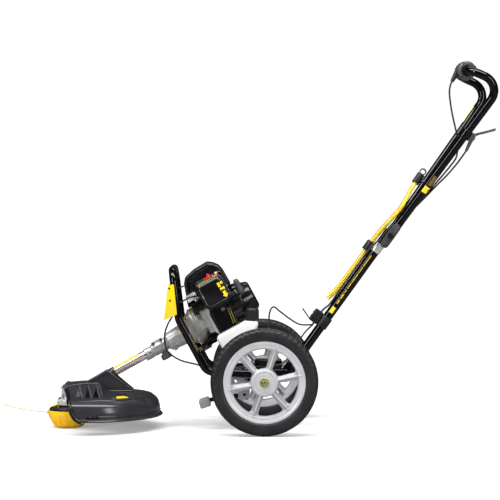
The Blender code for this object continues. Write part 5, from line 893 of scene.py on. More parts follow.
# A collar where the tube leaves the web, and a bare yellow label on the dome
piece("guardCollar", "chassis", [(guardPlastic, rod(0.0152, 0.138, 0.156, 40, "x", edge=0.0016))], at=shaftFrame)
labelAngle = np.radians(np.linspace(-54.5, -42.0, 12))


def guardLabel():
    # a thin sheet that follows the dome's shoulder, by radius and angle
    reach = np.array([0.186, 0.179, 0.172, 0.165])[:, None]
    height = np.interp(-reach, -guardLine[:, 1], guardLine[:, 0])
    x, y = guard["centre"] + (reach + 0.0008) * np.cos(labelAngle), (reach + 0.0008) * np.sin(labelAngle)
    top = np.stack(np.broadcast_arrays(x, y, height + 0.001), -1)
    grid = np.concatenate([top, (top - (0, 0, 0.0014))[::-1]])
    return gridShell(grid, wrapRows=True, wrapColumns=False)


piece("guardLabel", "chassis", [(yellowLabel, guardLabel())], at=headFrame)
print("guard made")

# Gear case, tube, coupler and cone on the shaft line
gearCase = {"boltCircle": 0.0305, "boltAngles": [25, 155, 205, 335], "ribLevels": (0.0935, 0.0985, 0.1035)}
toHead = np.linalg.inv(headFrame) @ shaftFrame
caseProfile = [(0.0657, 0.0), (0.0657, 0.035), (0.08, 0.035), (0.0812, 0.0338), (0.0832, 0.031), (0.0852, 0.0215)]
caseProfile += [(0.11, 0.0195), (0.118, 0.017), (0.12, 0.013), (0.1202, 0.0)]
caseProfile = softened(caseProfile, [0, 0.0008, 0.0008, 0.001, 0.002, 0.003, 0.006, 0.004, 0.003, 0], closed=False)
caseShells = [turned(caseProfile, 72), placed(rod(0.018, 0.01, 0.0408, 48, "x", edge=0.0015), toHead)]
caseBolts = [(gearCase["boltCircle"] * math.cos(a), gearCase["boltCircle"] * math.sin(a))
    for a in np.radians(gearCase["boltAngles"])]
caseShells += [rod(0.0048, 0.0668, 0.0838, 24, "z", (x, y, 0.0), edge=0.0008) for x, y in caseBolts]
caseShells += [band(level, level + 0.0018, 0.019, 0.0222, 0.0005, 2, 64) for level in gearCase["ribLevels"]]
clampEars = []
for low, high in ((-0.0235, -0.015), (0.015, 0.0235)):
    clampEars.append(placed(roundBox((0.018, low, -0.0045), (0.036, high, 0.0045), 0.0014), toHead))
# the upright bracket that the guard hangs on, with its two screws
bracket = [roundBox((-0.0205, -0.013, 0.076), (-0.015, 0.013, 0.124), 0.0014),
    roundBox((-0.033, -0.02, 0.074), (-0.016, 0.02, 0.08), 0.0014)]
bracket += [roundBox((-0.0212, -0.019, 0.0795), (-0.016, 0.019, 0.101), 0.0014)]
caseScrews = boltRow([(x, y, 0.0838) for x, y in caseBolts], (0, 0, 1), 0.003, 0.0024)
caseScrews += boltRow([(-0.0205, 0.0, 0.116), (-0.0212, 0.0, 0.089)], (-1, 0, 0), 0.0032, 0.0024)
caseScrews += boltRow([(0.0, 0.0, 0.1202)], (0, 0, 1), 0.0042, 0.002)
piece("gearCaseVisual", "chassis", [(brightAlloy, *caseShells, *clampEars, *bracket), (darkSteel, *caseScrews)],
    "gear_case", headFrame)

shaftTube = {"radius": 0.013, "wall": 0.0015, "start": 0.03, "end": 0.3}


def closedPatch(along, angle, radius, thick=0.0005, steps=14, sides=16):
    # a thin label bent round a tube: a ring over a span of angle from straight up, carried along the tube
    angle = np.radians(np.linspace(*angle, sides))
    reach = np.r_[np.full(sides, radius + thick), np.full(sides, radius + 0.00004)]
    around = np.r_[angle, angle[::-1]]
    along = np.linspace(*along, steps)[:, None]
    grid = np.stack(np.broadcast_arrays(along, -reach * np.sin(around), reach * np.cos(around)), -1)
    return gridShell(grid, capFirst=True, capLast=True)


tubePath = np.linspace((shaftTube["start"], 0, 0), (shaftTube["end"], 0, 0), 10)
tubeShell = hollowPipe(tubePath, shaftTube["radius"], shaftTube["wall"], 64)
tubeStrip = closedPatch((0.15, 0.2345), (-30, 52), shaftTube["radius"], 0.0006, 14, 30)
tubeLine = closedPatch((0.23, 0.262), (-30, 46), shaftTube["radius"], 0.0004, 8, 30)
# the tube's pink-brown tint is a painted reflection
piece("shaftTubeVisual", "chassis", [(chromePaintedReflection, tubeShell), (stripYellow, tubeStrip), (plainSteel, tubeLine)],
    "shaft_tube", shaftFrame)

couplerProfile = [(0.256, 0.0131), (0.256, 0.0162), (0.2576, 0.0168), (0.266, 0.0168), (0.267, 0.016), (0.279, 0.0162)]
couplerProfile += [(0.2815, 0.019), (0.305, 0.019), (0.307, 0.0182), (0.31, 0.0182), (0.312, 0.019), (0.3262, 0.019)]
couplerProfile += [(0.328, 0.0172), (0.328, 0.007), (0.3003, 0.007), (0.3003, 0.0131)]
coupler = [sleeve(couplerProfile, 0.0007, 3, 72, "x")]
for side in (-1, 1):
    lug = [(0.2865, 0.0115), (0.2865, 0.0215), (0.2895, 0.0235), (0.319, 0.0235), (0.322, 0.0215), (0.322, 0.0115)]
    coupler.append(cutPlate(lug, 0.0012, 3, *onSide(side, 0.001, 0.011), 0.0012))
    for place in (0.2885, 0.314):
        coupler.append(rod(0.005, *onSide(side, 0.008, 0.015), 28, "y", (place + 0.0025, 0, 0.0185), 0.0007))
    coupler.append(cutPlate([(0.283, 0.002), (0.283, 0.009), (0.325, 0.009), (0.325, 0.002)], 0.001, 2,
        *onSide(side, 0.0165, 0.0199), 0.0008))
coupler.append(cutPlate([(0.253, -0.019), (0.253, -0.012), (0.2775, -0.012), (0.2775, -0.019)], 0.0012, 3, -0.0075,
    0.0075, 0.0012))
couplerBolts = boltRow([(0.291, -0.015, 0.0185), (0.3165, -0.015, 0.0185)], (0, -1, 0), 0.0034, 0.003)
couplerBolts += boltRow([(0.291, 0.015, 0.0185), (0.3165, 0.015, 0.0185)], (0, 1, 0), 0.0034)
couplerBolts += boltRow([(0.258, -0.0163, 0.0), (0.272, -0.016, 0.0)], (0, -1, 0), 0.0022, 0.0014)
piece("couplerVisual", "chassis", [(castAlloy, *coupler), (darkSteel, *couplerBolts)], "coupler", shaftFrame)


def lobed(radius, lobes, depth, low, high, sides=96):
    # a knob: its radius rises and falls with the cosine of the angle, and its ends are rounded
    angle = fullTurn(sides)
    outline = radius - depth * (0.5 - 0.5 * np.cos(lobes * angle)) ** 1.6
    share = np.array([0.0, 0.03, 0.1, 0.22, 0.5, 0.78, 0.9, 0.97, 1.0])
    pull = np.array([0.78, 0.88, 0.96, 1.0, 1.0, 1.0, 0.96, 0.88, 0.78])
    reach, level = pull[:, None] * outline, np.broadcast_to((low + (high - low) * share)[:, None], (9, sides))
    points = np.stack([reach * np.cos(angle), reach * np.sin(angle), level], -1)
    return gridShell(points, capFirst=True, capLast=True)


screwKnob = shifted([lobed(0.015, 6, 0.003, -0.0412, -0.024), rod(0.0085, -0.0245, -0.0194)], (0.308, 0, 0))
piece("couplerKnob", "coupler_screw", [(darkGreyPlastic, *screwKnob), (plainSteel,
    rod(0.0039, -0.024, -0.0166, 20, "z", (0.308, 0, 0)))], "coupler_knob", shaftFrame)

coneProfile = [(0.3284, 0.0), (0.3284, 0.0205), (0.331, 0.0215), (0.3345, 0.0268), (0.36, 0.0284), (0.383, 0.03),
    (0.3985, 0.032), (0.4046, 0.0392), (0.4046, 0.0)]
cone = [spindle(coneProfile, [0, 0.001, 0.002, 0.003, 0.02, 0.02, 0.006, 0.001, 0], 5, 72, "x")]
for angle in np.radians(range(0, 360, 60)):
    fin = cutPlate([(0.3345, 0.02), (0.3345, 0.0272), (0.39, 0.0318), (0.403, 0.0385), (0.403, 0.02)], 0.001, 2,
        -0.0012, 0.0012, 0.0006, 2)
    cone.append(placed(fin, spun(angle, "x")))
cone.append(cutPlate([(0.3386, -0.0318), (0.3386, -0.02), (0.35, -0.02), (0.35, -0.0318)], 0.0015, 3, -0.0078, 0.0078))
piece("coneVisual", "chassis", [(castAlloy, *cone)], "shaft_cone", shaftFrame)

housingProfile = [(0.405, 0.0), (0.405, 0.0415), (0.4125, 0.0455), (0.4215, 0.053), (0.4238, 0.0578), (0.4325, 0.058),
    (0.4325, 0.0566), (0.4338, 0.0566), (0.4338, 0.058), (0.44, 0.058), (0.44, 0.0)]
housing = [spindle(housingProfile, 0.0006, 3, 96, "x")]
ears = np.radians([45, 135, 225, 315])
for angle in ears:
    housing.append(placed(rod(0.0062, 0.413, 0.4398, 28, "x", (0, 0, 0.0512), 0.001), spun(angle, "x")))
    rib = cutPlate([(0.407, 0.03), (0.407, 0.0405), (0.421, 0.054), (0.421, 0.03)], 0.001, 2, -0.0013,
        0.0013, 0.0006, 2)
    housing += [placed(rib, spun(angle + 0.5, "x")), placed(rib, spun(angle - 0.5, "x"))]
housingBolts = [placed(placed(screw(0.004, 0.0036), aimed((0.413, 0, 0.0512), (-1, 0, 0))), spun(angle, "x"))
    for angle in ears]
flangeBand = band(0.434, 0.4396, 0.056, 0.0588, 0.0006, 2, 96, "x")
piece("clutchHousingVisual", "chassis", [(castAlloy, flangeBand, *housing), (darkSteel, *housingBolts)],
    "clutch_housing", shaftFrame)
print("shaft line made")

# The line head, turning under the gear case
lineHead = {"coverRibs": 12, "tongues": 4, "bowlRibs": 16, "lineRadius": 0.0012, "lineReach": 0.191,
    "coilRadius": 0.044}
coverProfile = [(0.0513, 0.0), (0.0513, 0.057), (0.056, 0.0572), (0.0585, 0.0545), (0.061, 0.047), (0.0618, 0.023),
    (0.065, 0.02), (0.0654, 0.0)]
coverProfile = softened(coverProfile, [0, 0.0008, 0.001, 0.002, 0.003, 0.002, 0.001, 0], closed=False)
coverShells = [turned(coverProfile, 72)]
for number in range(lineHead["coverRibs"]):
    rib = cutPlate([(0.022, 0.06), (0.022, 0.064), (0.044, 0.0632), (0.0525, 0.059), (0.0525, 0.057), (0.03, 0.057)],
        0.0008, 2, -0.0011, 0.0011, 0.0005, 2)
    coverShells.append(placed(rib, spun(number * math.pi / 6)))
for number in range(lineHead["tongues"]):
    tongue = roundBox((0.052, -0.0075, 0.0514), (0.06, 0.0075, 0.0566), 0.0012)
    coverShells.append(placed(tongue, spun(math.pi / 4 + number * math.pi / 2)))
piece("headCover", "head", [(blackPlastic, *coverShells)], "head_cover", headFrame)

bowlOutside = [(0.003, 0.0362), (0.003, 0.0392), (0.006, 0.0438), (0.02, 0.0522), (0.033, 0.059), (0.042, 0.0618),
    (0.044, 0.0612), (0.0455, 0.0618), (0.051, 0.062), (0.051, 0.0596)]
bowlInside = [(0.0425, 0.0594), (0.033, 0.0566), (0.02, 0.0496), (0.009, 0.0416), (0.0056, 0.0395), (0.0056, 0.0362)]
bowlProfile = softened(bowlOutside + bowlInside, 0.0012, 3)
bowl = [turned(bowlProfile, 96, wrap=True)]
for number in range(lineHead["bowlRibs"]):
    if number % 8 == 0:  # the two eyelets are there
        continue
    rib = pipe(smoothPath([(0.0418, 0, 0.005), (0.047, 0, 0.011), (0.0527, 0, 0.0205), (0.0592, 0, 0.033)], 4),
        [0.0009] * 12 + [0.0005], 8)
    bowl.append(placed(rib, spun(number * math.pi / 8)))
for number in range(lineHead["tongues"]):
    lug = roundBox((0.0575, -0.0065, 0.0435), (0.0625, 0.0065, 0.0505), 0.0014)
    bowl.append(placed(lug, spun(math.pi / 4 + number * math.pi / 2)))
eyelets = []
for side in (-1, 1):
    ringProfile = softened([(0.056, 0.0016), (0.056, 0.0062), (0.0628, 0.0052), (0.064, 0.004),
        (0.064, 0.0016)], 0.0006, 3)
    eyelets.append(placed(turned(ringProfile, 32, "x", wrap=True), spun(0 if side > 0 else math.pi)))
piece("headBowl", "head", [(bowlYellow, *bowl), (orangePlastic, *shifted(eyelets, (0, 0, 0.0435)))],
    "head_bowl", headFrame)

knobProfile = [(0.0, 0.0), (0.0, 0.024), (0.0014, 0.032), (0.0034, 0.0354), (0.0064, 0.0354), (0.0064, 0.011),
    (0.0323, 0.0108), (0.0323, 0.0)]
bumpShell = spindle(knobProfile, [0, 0.001, 0.003, 0.002, 0.0005, 0.001, 0.0005, 0], 4, 72)
piece("bumpKnobVisual", "bump", [(bowlYellow, bumpShell)], "bump_knob", headFrame)

# Cutting line: the wound coil, two free ends with a slight bow, and the curl left at the cover
def freeEnd(side):
    # straight out from the coil, rising with the distance past the bowl and sagging by half a sine
    share, reach = np.linspace(0, 1, 40), lineHead["lineReach"]
    x = 0.041 + (reach - 0.041) * share
    past = np.clip((x - 0.062) / (reach - 0.062), 0, 1)
    return np.stack([side * x, 0 * x, 0.0435 + 0.022 * past - 0.004 * np.sin(np.pi * past)], 1)


coilTurns = np.linspace(0, 2 * np.pi * 9, 700)
coilAcross, coilLevel = lineHead["coilRadius"], 0.0215 + 0.025 * coilTurns / coilTurns[-1]
coilPath = np.stack([coilAcross * np.cos(coilTurns), coilAcross * np.sin(coilTurns), coilLevel], 1)
lineShells = [band(0.02, 0.0482, 0.0243, 0.0436, 0.001, 2, 64), pipe(coilPath, lineHead["lineRadius"], 8)]
lineShells += [pipe(freeEnd(side), lineHead["lineRadius"], 12) for side in (-1, 1)]
piece("cuttingLineVisual", "head", [(nylonLine, *lineShells)], "cutting_line", headFrame)
curlTurn = np.linspace(math.radians(-70), math.radians(215), 28)
curl = np.stack([-0.035 + 0.0062 * np.cos(curlTurn), -0.025 + 0.0016 * np.sin(curlTurn * 0.5),
    0.0665 + 0.0072 * np.sin(curlTurn)], 1)
piece("lineCurl", "head", [(yellowLabel, pipe(curl, 0.001, 10))], at=headFrame)
print("line head made")

# Plate on the hoop: two side flanges outside the legs and a front sheet between them
plate = {"sheet": 0.0016, "side": 0.1284, "rivet": 0.0032}
plateSide = [(-0.2764, 0.4208), (-0.2588, 0.4254), (-0.2499, 0.3376), (-0.2875, 0.3209)]
plateOutline = softened(plateSide, [0.004, 0.003, 0.003, 0.002])
plateShells = [slab(plateOutline, *onSide(side, plate["side"] - plate["sheet"], plate["side"]), 0.0004, 2)
    for side in (-1, 1)]
plateTop, plateFoot = np.array(plateSide[0]), np.array(plateSide[3])
down = (plateFoot - plateTop) / np.linalg.norm(plateFoot - plateTop)
sheetEdge = np.array([plateTop + 0.002 * down, plateFoot - 0.001 * down])
sheetBack = sheetEdge[::-1] + np.array([-down[1], down[0]]) * plate["sheet"]
plateShells.append(slab(np.vstack([sheetEdge, sheetBack]), -plate["side"] + 0.0008, plate["side"] - 0.0008, 0.0004, 2))
rivets = [(point[0], side * plate["side"], point[1]) for side in (-1, 1)
    for point in ((-0.2718, 0.413), (-0.27, 0.3775))]
rivetProfile = [(-0.0005, 0.0), (-0.0005, plate["rivet"]), (0.0006, 0.003), (0.0013, 0.0018), (0.0015, 0.0)]
rivetHead = spindle(rivetProfile, [0, 0, 0.001, 0.001, 0], 3, 20)
plateRivets = [placed(rivetHead, aimed(place, (0, np.sign(place[1]), 0))) for place in rivets]
piece("yellowPlate", "chassis", [(yellowPaint, *plateShells), (darkSteel, *plateRivets)], "warning_plate", axleFrame)

mount = {"front": 0.409, "back": 0.4446, "halfWidth": 0.1262, "low": -0.0663}
mountShells = []
for start, end, high in ((mount["front"], mount["back"], -0.0625), (mount["front"], 0.4125, -0.0585),
        (0.4411, mount["back"], -0.0585)):
    mountShells.append(roundBox((start, -mount["halfWidth"], mount["low"]), (end, mount["halfWidth"], high), 0.0012))
mountShells.append(roundBox((0.411, -0.034, -0.064), (0.444, 0.034, -0.0584), 0.0014))
mountBolts = boltRow([(0.427, side * 0.05, -0.0626) for side in (-1, 1)], (0, 0, 1), 0.005, 0.004)
mountBolts += boltRow([(0.4088, side * 0.115, -0.062) for side in (-1, 1)], (-1, 0, 0), 0.0038, 0.0006)
for low, high in ((-0.1262, -0.1225), (0.1225, 0.1262)):
    mountShells.append(roundBox((0.4092, low, -0.064), (0.42, high, -0.05), 0.0012))
foot = [(0.441, -0.064), (0.441, -0.042), (0.454, -0.033), (0.47, -0.035), (0.478, -0.048), (0.47, -0.064)]
mountShells.append(cutPlate(foot, 0.003, 3, -0.0535, 0.0535, 0.002))
brassEnd = [placed(hexHead(0.0052, 0.0, 0.004), aimed((0.415, side * 0.1258, -0.056), (0, side, 0)))
    for side in (-1, 1)]
piece("engineShelf", "chassis", [(glossBlack, *mountShells), (plainSteel, *mountBolts), (brassMetal, *brassEnd)],
    "engine_mount", shaftFrame)
legMark = [closedPatch(span, (38, 57), 0.0115, 0.0003, 6, 8)
    for span in ((-0.036, -0.025), (-0.0225, -0.018), (-0.0155, -0.003), (-0.0005, 0.006), (0.0085, 0.015))]
legFrame = aimed((-0.2041, -0.115, 0.2462), (0.2449 - 0.1636, 0, 0.1718 - 0.321))
legSpot = np.eye(4)
legAlong = legFrame[:3, 2]
legSpot[:3, :4] = np.stack([legAlong, (0, 1, 0), np.cross(legAlong, (0, 1, 0)), legFrame[:3, 3]], 1)
piece("hoopLegLabel", "chassis", [(goldLabel, *allPlaced(legMark, legSpot))], at=axleFrame)

# Crankcase: cast nose with ribs, black side covers, one bare stripe and a screw on the near side
crankcase = [spindle([(0.4403, 0.0), (0.4403, 0.0575), (0.444, 0.0575), (0.4452, 0.047), (0.47, 0.046), (0.476, 0.048),
    (0.476, 0.0)], 0.0012, 3, 96, "x")]
crankcase.append(roundBox((0.469, -0.048, -0.0478), (0.5428, 0.048, 0.0394), 0.004))
for angle in np.radians(range(0, 360, 45)):
    rib = cutPlate([(0.444, 0.04), (0.444, 0.056), (0.47, 0.049), (0.472, 0.04)], 0.001, 2, -0.0014, 0.0014, 0.0007, 2)
    crankcase.append(placed(rib, spun(angle + 0.2, "x")))
for low, high in ((-0.049, -0.035), (0.035, 0.049)):
    crankcase.append(roundBox((0.456, low, -0.044), (0.479, high, 0.038), 0.004))
sideCover = softened([(0.48, -0.0474), (0.5424, -0.0474), (0.5424, 0.0386), (0.506, 0.0388), (0.486, 0.03),
    (0.48, 0.012)], [0.004, 0.003, 0.003, 0.006, 0.008, 0.006])
covers = [slab(sideCover, *onSide(side, 0.046, 0.05), 0.0014) for side in (-1, 1)]
covers += [slab(offset(cleaned(sideCover), 0.006), *onSide(side, 0.049, 0.0506), 0.0008) for side in (-1, 1)]
coverScrews = [(0.4925, 0.025), (0.538, 0.033), (0.538, -0.042), (0.485, -0.042)]
coverBolts = [shell for side in (-1, 1) for shell in boltRow([(s, side * 0.05, u) for s, u in coverScrews],
    (0, side, 0), 0.0032, 0.0018)]
stripe = [cutPlate([(0.5312 + k, -0.0405), (0.5334 + k, -0.0405), (0.54 + k, 0.008), (0.5378 + k, 0.008)], 0.0004, 2,
    -0.0514, -0.05, 0.0003, 2) for k in (-0.0036, 0.0026)]
plug = spindle([(0.0, 0.0), (0.0, 0.0056), (0.0022, 0.0054), (0.0024, 0.0036), (0.001, 0.003),
    (0.001, 0.0)], 0.0004, 2, 32)
plug = placed(plug, aimed((0.521, -0.0504, 0.011), (0, -1, 0)))
piece("crankcaseVisual", "chassis", [(castAlloy, *crankcase), (shinyPlastic, *covers), (darkSteel, *coverBolts),
    (plainSteel, plug), (oliveLabel, *stripe)], "crankcase", shaftFrame)

# Cylinder: a stack of rounded fins on the barrel, with bolts down into the case
fins = {"count": 10, "thickness": 0.0016, "low": 0.042, "high": 0.111}
finOutline = softened(rectangle(0.4552, -0.0378, 0.5408, 0.0378), 0.009, 5)
finLevels = np.linspace(fins["low"], fins["high"], fins["count"])
cylinder = [slab(finOutline, level, level + fins["thickness"], 0.0006, 2, axis="z") for level in finLevels]
cylinder += [rod(0.024, 0.0398, 0.112, 48, "z", (0.498, 0, 0)),
    roundBox((0.4562, -0.034, 0.0398), (0.5398, 0.034, 0.045), 0.0015),
    roundBox((0.462, -0.03, 0.108), (0.534, 0.03, 0.1168), 0.003)]
cylinder += [roundBox((0.48, -0.0386, 0.056), (0.544, -0.01, 0.088)),
    roundBox((0.48, 0.01, 0.06), (0.516, 0.0386, 0.085))]
for s, y in ((0.468, -0.026), (0.468, 0.026), (0.528, -0.026), (0.528, 0.026)):
    cylinder.append(rod(0.0042, 0.043, 0.115, 24, "z", (s, y, 0)))
darkBlock = roundBox((0.444, -0.056, 0.04), (0.479, -0.04, 0.0672), 0.0025)
# these near-side fins are coloured near white as painted light, where direct light falls on them
nearFins = [roundBox((0.4425, -0.06, level), (0.474, -0.03, level + 0.0043), 0.001, 2)
    for level in (0.075, 0.0802, 0.0854, 0.0906)]
piece("finnedCylinder", "chassis", [(brightAlloy, *cylinder), (finsPaintedLight, *nearFins)], "cylinder", shaftFrame)
piece("intakeBlock", "chassis", [(shinyPlastic, darkBlock), (darkSteel,
    *boltRow([(0.456, -0.056, 0.062), (0.47, -0.056, 0.05)], (0, -1, 0), 0.0026, 0.0014))], at=shaftFrame)
plugShells = [spindle([(0.1173, 0.0), (0.1173, 0.0095), (0.123, 0.0095), (0.124, 0.0062), (0.144, 0.005),
    (0.1453, 0.0)], [0, 0.0006, 0.0006, 0.0006, 0.001, 0], 3, 32, "z", (0.498, 0, 0))]
piece("sparkPlugVisual", "chassis", [(paleMetal, *plugShells)], "spark_plug", shaftFrame)

# Shroud: a cover open below, its top folded in flats, with windows on both sides
shroud = {"half": 0.058, "wall": 0.0025, "louvres": 6}
shroudOutline = [(0.5755, 0.0625), (0.5745, 0.112), (0.5705, 0.129), (0.56, 0.1425), (0.544, 0.154), (0.5, 0.1525)]
shroudOutline += [(0.4685, 0.145), (0.4565, 0.129), (0.45, 0.109), (0.444, 0.09), (0.435, 0.0602)]
rounding = [0.004, 0.012, 0.012, 0.012, 0.01, 0.014, 0.01, 0.012, 0.012, 0.012, 0.004]
shroudOuter = cutPlate(shroudOutline, rounding, 4, -shroud["half"], shroud["half"], 0.0036, 4)
innerLine = offset(cleaned(shroudOutline), shroud["wall"])
innerLine = np.array([point + ((0, -0.05) if point[1] < 0.075 and (point[0] < 0.44 or point[0] > 0.57) else (0, 0))
    for point in innerLine])
shroudInner = cutPlate(innerLine, 0.006, 3, -0.0555, 0.0555, 0.0015, 2)
leftWindow = cutPlate([(0.43, 0.02), (0.566, 0.02), (0.566, 0.113), (0.486, 0.113), (0.486, 0.0975), (0.446, 0.0975)],
    0.006, 4, -0.1, -0.03, 0.0002, 1)
rightWindow = cutPlate(rectangle(0.457, 0.02, 0.541, 0.114), 0.01, 5, 0.03, 0.1, 0.0002, 1)
louvres = []
for number in range(shroud["louvres"]):
    s = 0.47 + 0.014 * number
    louvres.append(cutPlate(rectangle(s, -0.026, s + 0.0045, 0.026), 0.002, 3, 0.12, 0.17, 0.0002, 1, axis="z"))
shroudShell = carved(shroudOuter, shroudInner, leftWindow, rightWindow, *louvres)
# raised borders, side ribs and screws; the border ridges are a lighter grey as a painted highlight
shroudExtras, ridges = [], []
for side in (-1, 1):
    face = side * 0.0578
    ridgeLine = [(0.57, 0.114), (0.566, 0.1275), (0.5565, 0.1385), (0.543, 0.1485), (0.5005, 0.147), (0.471, 0.14),
        (0.461, 0.127), (0.45, 0.096)]
    ridgePath = softened([(s, face, u) for s, u in ridgeLine], 0.008, closed=False)
    ridges.append(pipe(ridgePath, 0.0014, 10))
    border = [(0.437, 0.064), (0.447, 0.099), (0.4845, 0.099), (0.4845, 0.115), (0.568, 0.115), (0.568, 0.068)]
    if side > 0:
        border = [(0.455, 0.04), (0.455, 0.116), (0.543, 0.116), (0.543, 0.05)]
    border = softened(border, 0.01, 5, closed=False)
    ridges.append(pipe(upright(border, face), 0.0014, 10))
    shroudExtras.append(cutPlate([(0.474, 0.1195), (0.55, 0.1195), (0.542, 0.142), (0.501, 0.1395), (0.478, 0.133)],
        0.004, 3, *onSide(side, 0.057, 0.0592), 0.0012))
shroudExtras += [cutPlate([(0.462, 0.096), (0.483, 0.096), (0.483, 0.116), (0.47, 0.118)], 0.003, 3, -0.06, -0.057,
    0.0012), rod(0.002, 0.439, 0.454, 16, "x", (0, -0.045, 0.125))]
shroudScrews = [(0.476, -0.0592, 0.1262), (0.542, -0.0592, 0.1262), (0.476, 0.0592, 0.1262), (0.542, 0.0592, 0.1262),
    (0.473, -0.06, 0.107)]
shroudBolts = [placed(screw(0.0032, 0.002), aimed(place, (0, np.sign(place[1]), 0))) for place in shroudScrews]
piece("engineShroudVisual", "chassis", [(shinyPlastic, shroudShell, *shroudExtras), (darkSteel, *shroudBolts),
    (ridgesPaintedHighlight, *ridges)], "engine_shroud", shaftFrame, sharp=30)

# Starter: ribbed housing with air slots, rope boss and T grip
starter = {"lift": 0.006, "slots": 14, "ribs": 24}
starterCentre = (0, 0, starter["lift"])
starterOutside = [(0.5433, 0.0), (0.5433, 0.054), (0.58, 0.056), (0.5872, 0.052), (0.6165, 0.0425),
    (0.621, 0.036), (0.621, 0.0)]
starterShell = spindle(starterOutside, [0, 0.002, 0.004, 0.003, 0.004, 0.002, 0], 4, 112, "x", starterCentre)
starterTools = [roundBox((0.53, -0.1, -0.11), (0.64, 0.1, -0.0477), 0.001)]
for number in range(starter["slots"]):
    angle = 2 * np.pi * number / starter["slots"] + 0.1
    slotCut = roundBox((0.584, -0.003, 0.0465), (0.614, 0.003, 0.064), 0.0025)
    starterTools += shifted([placed(slotCut, spun(angle, "x"))], starterCentre)
starterShell = carved(starterShell, *starterTools)
starterExtras = [rod(0.0092, -0.0618, -0.034, 32, "y", (0.6, 0, 0.04), 0.0015)]
starterExtras.append(spindle([(0.6185, 0.0), (0.6185, 0.021), (0.6212, 0.02), (0.6212, 0.0)], [0, 0.001, 0.001, 0], 3,
    48, "x", (-0.0004, 0, starter["lift"])))
for number in range(starter["ribs"]):
    angle = 2 * np.pi * number / starter["ribs"]
    if math.cos(angle) * 0.056 < -0.05:
        continue
    rib = placed(roundBox((0.548, -0.001, 0.053), (0.578, 0.001, 0.0566), 0.0008, 2), spun(angle, "x"))
    if (rib[0][:, 2] + starter["lift"]).min() > -0.047:
        starterExtras += shifted([rib], starterCentre)
starterBolts = []
for angle in np.radians([40, 140, 215, 325]):
    place = (0.57, 0.0565 * math.sin(angle), 0.0565 * math.cos(angle) + starter["lift"])
    if place[2] - 0.006 > -0.047:
        across, up = place[1] * 0.97, place[2] * 0.97
        starterExtras.append(rod(0.0055, 0.5436, 0.576, 24, "x", (0, across, up), 0.001))
        starterBolts += boltRow([(0.576, across, up)], (1, 0, 0), 0.0034, 0.0024)
piece("starterVisual", "chassis", [(shinyPlastic, starterShell, *starterExtras), (plainSteel, *starterBolts)],
    "starter_housing", shaftFrame, sharp=30)

gripParts = {"place": (0.6, -0.0623, 0.04), "rings": (-0.009, -0.005, 0.019, 0.023)}
gripPath = np.stack([np.full(13, -0.006), np.full(13, -0.0145), np.linspace(-0.016, 0.032, 13)], 1)
gripRadius = np.array([0.005, 0.0072, 0.0083, 0.0084, 0.008, 0.0078, 0.0079, 0.008, 0.0082, 0.0085,
    0.0084, 0.0074, 0.005])
grip = [pipe(gripPath, gripRadius, 32), rod(0.0055, -0.0102, 0.0, 28, "y", edge=0.0008)]
grip += [band(level, level + 0.0016, 0.007, 0.0087, 0.0005, 2, 32, "z", (-0.006, -0.0145, 0))
    for level in gripParts["rings"]]
piece("starterGrip", "pull", [(darkGreyPlastic, *shifted(grip, gripParts["place"]))], "starter_handle", shaftFrame)
# The rope between the boss and the grip is a stub at rest
ropeSpots = np.r_[-0.056, np.linspace(-0.0608, -0.063, 14), -0.07]
rope = piece("starterRope", None,
    [(cableRubber, pipe(np.stack([np.full(16, 0.6), ropeSpots, np.full(16, 0.04)], 1), 0.0018, 14))], at=shaftFrame)
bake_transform(rope)

# Air filter cover: a rounded lid on a tray, with a thin bright frame round its face that is a painted highlight on its
# raised border
lid = {"front": 0.4822, "low": 0.0284, "back": 0.5638, "high": 0.1098, "corner": 0.0135}
lidOutline = softened(rectangle(lid["front"], lid["low"], lid["back"], lid["high"]), lid["corner"], 8)
lidShells = [slab(lidOutline, -0.109, -0.074, 0.004, 5), slab(offset(cleaned(lidOutline), 0.001), -0.076, -0.0622)]
lidShells += [slab(offset(cleaned(lidOutline), 0.0042), -0.1112, -0.104, 0.0025, 4),
    cutPlate(rectangle(0.4927, 0.0389, 0.5533, 0.0993), 0.0095, 8, -0.1146, -0.11, 0.0016, 4)]


def closedPipe(path, radius, sides=10):
    # a pipe whose path closes on itself in one plane square to Y
    before, after = np.roll(path, 1, 0), np.roll(path, -1, 0)
    along = after - before
    along /= np.linalg.norm(along, axis=1)[:, None]
    flat = np.cross(along, (0.0, 1.0, 0.0))
    angle = fullTurn(sides)[None, :, None]
    around = path[:, None] + radius * (np.cos(angle) * flat[:, None] + np.sin(angle) * np.array([0.0, 1.0, 0.0]))
    return gridShell(around, wrapRows=True)


frameLine = softened(rectangle(0.49, 0.0362, 0.556, 0.102), 0.0118, 8)
# a thin steel line as painted highlight along the lid's raised border
lidFramePaintedHighlight = closedPipe(upright(frameLine, -0.1114), 0.0008)
seamLine = offset(cleaned(lidOutline), -0.0004)
seam = closedPipe(upright(seamLine, -0.075), 0.0005)
hatch = [rod(0.0006, 0.4915, 0.5545, 10, "x", (0, -0.1113, level), 0.0003) for level in (0.1006, 0.1028, 0.105)]
arrow = [(0.5505, 0.0395), (0.559, 0.048), (0.5545, 0.048), (0.5545, 0.059), (0.5465, 0.059),
    (0.5465, 0.048), (0.542, 0.048)]
marks = [cutPlate(arrow, 0.0005, 2, -0.1151, -0.112, 0.0003, 2)]
for box in ((0.544, 0.064, 0.558, 0.071), (0.543, 0.074, 0.55, 0.088), (0.552, 0.08, 0.559, 0.088)):
    marks.append(cutPlate(rectangle(*box), 0.0006, 2, -0.1151, -0.112, 0.0003, 2))
topBand = roundBox((0.49, -0.1097, 0.1066), (0.556, -0.1012, 0.1102), 0.0009)
lidKnob = shifted([rod(0.004, -0.112, -0.107, 28, "y", edge=0.0008)], (0.4905, 0, 0.069))
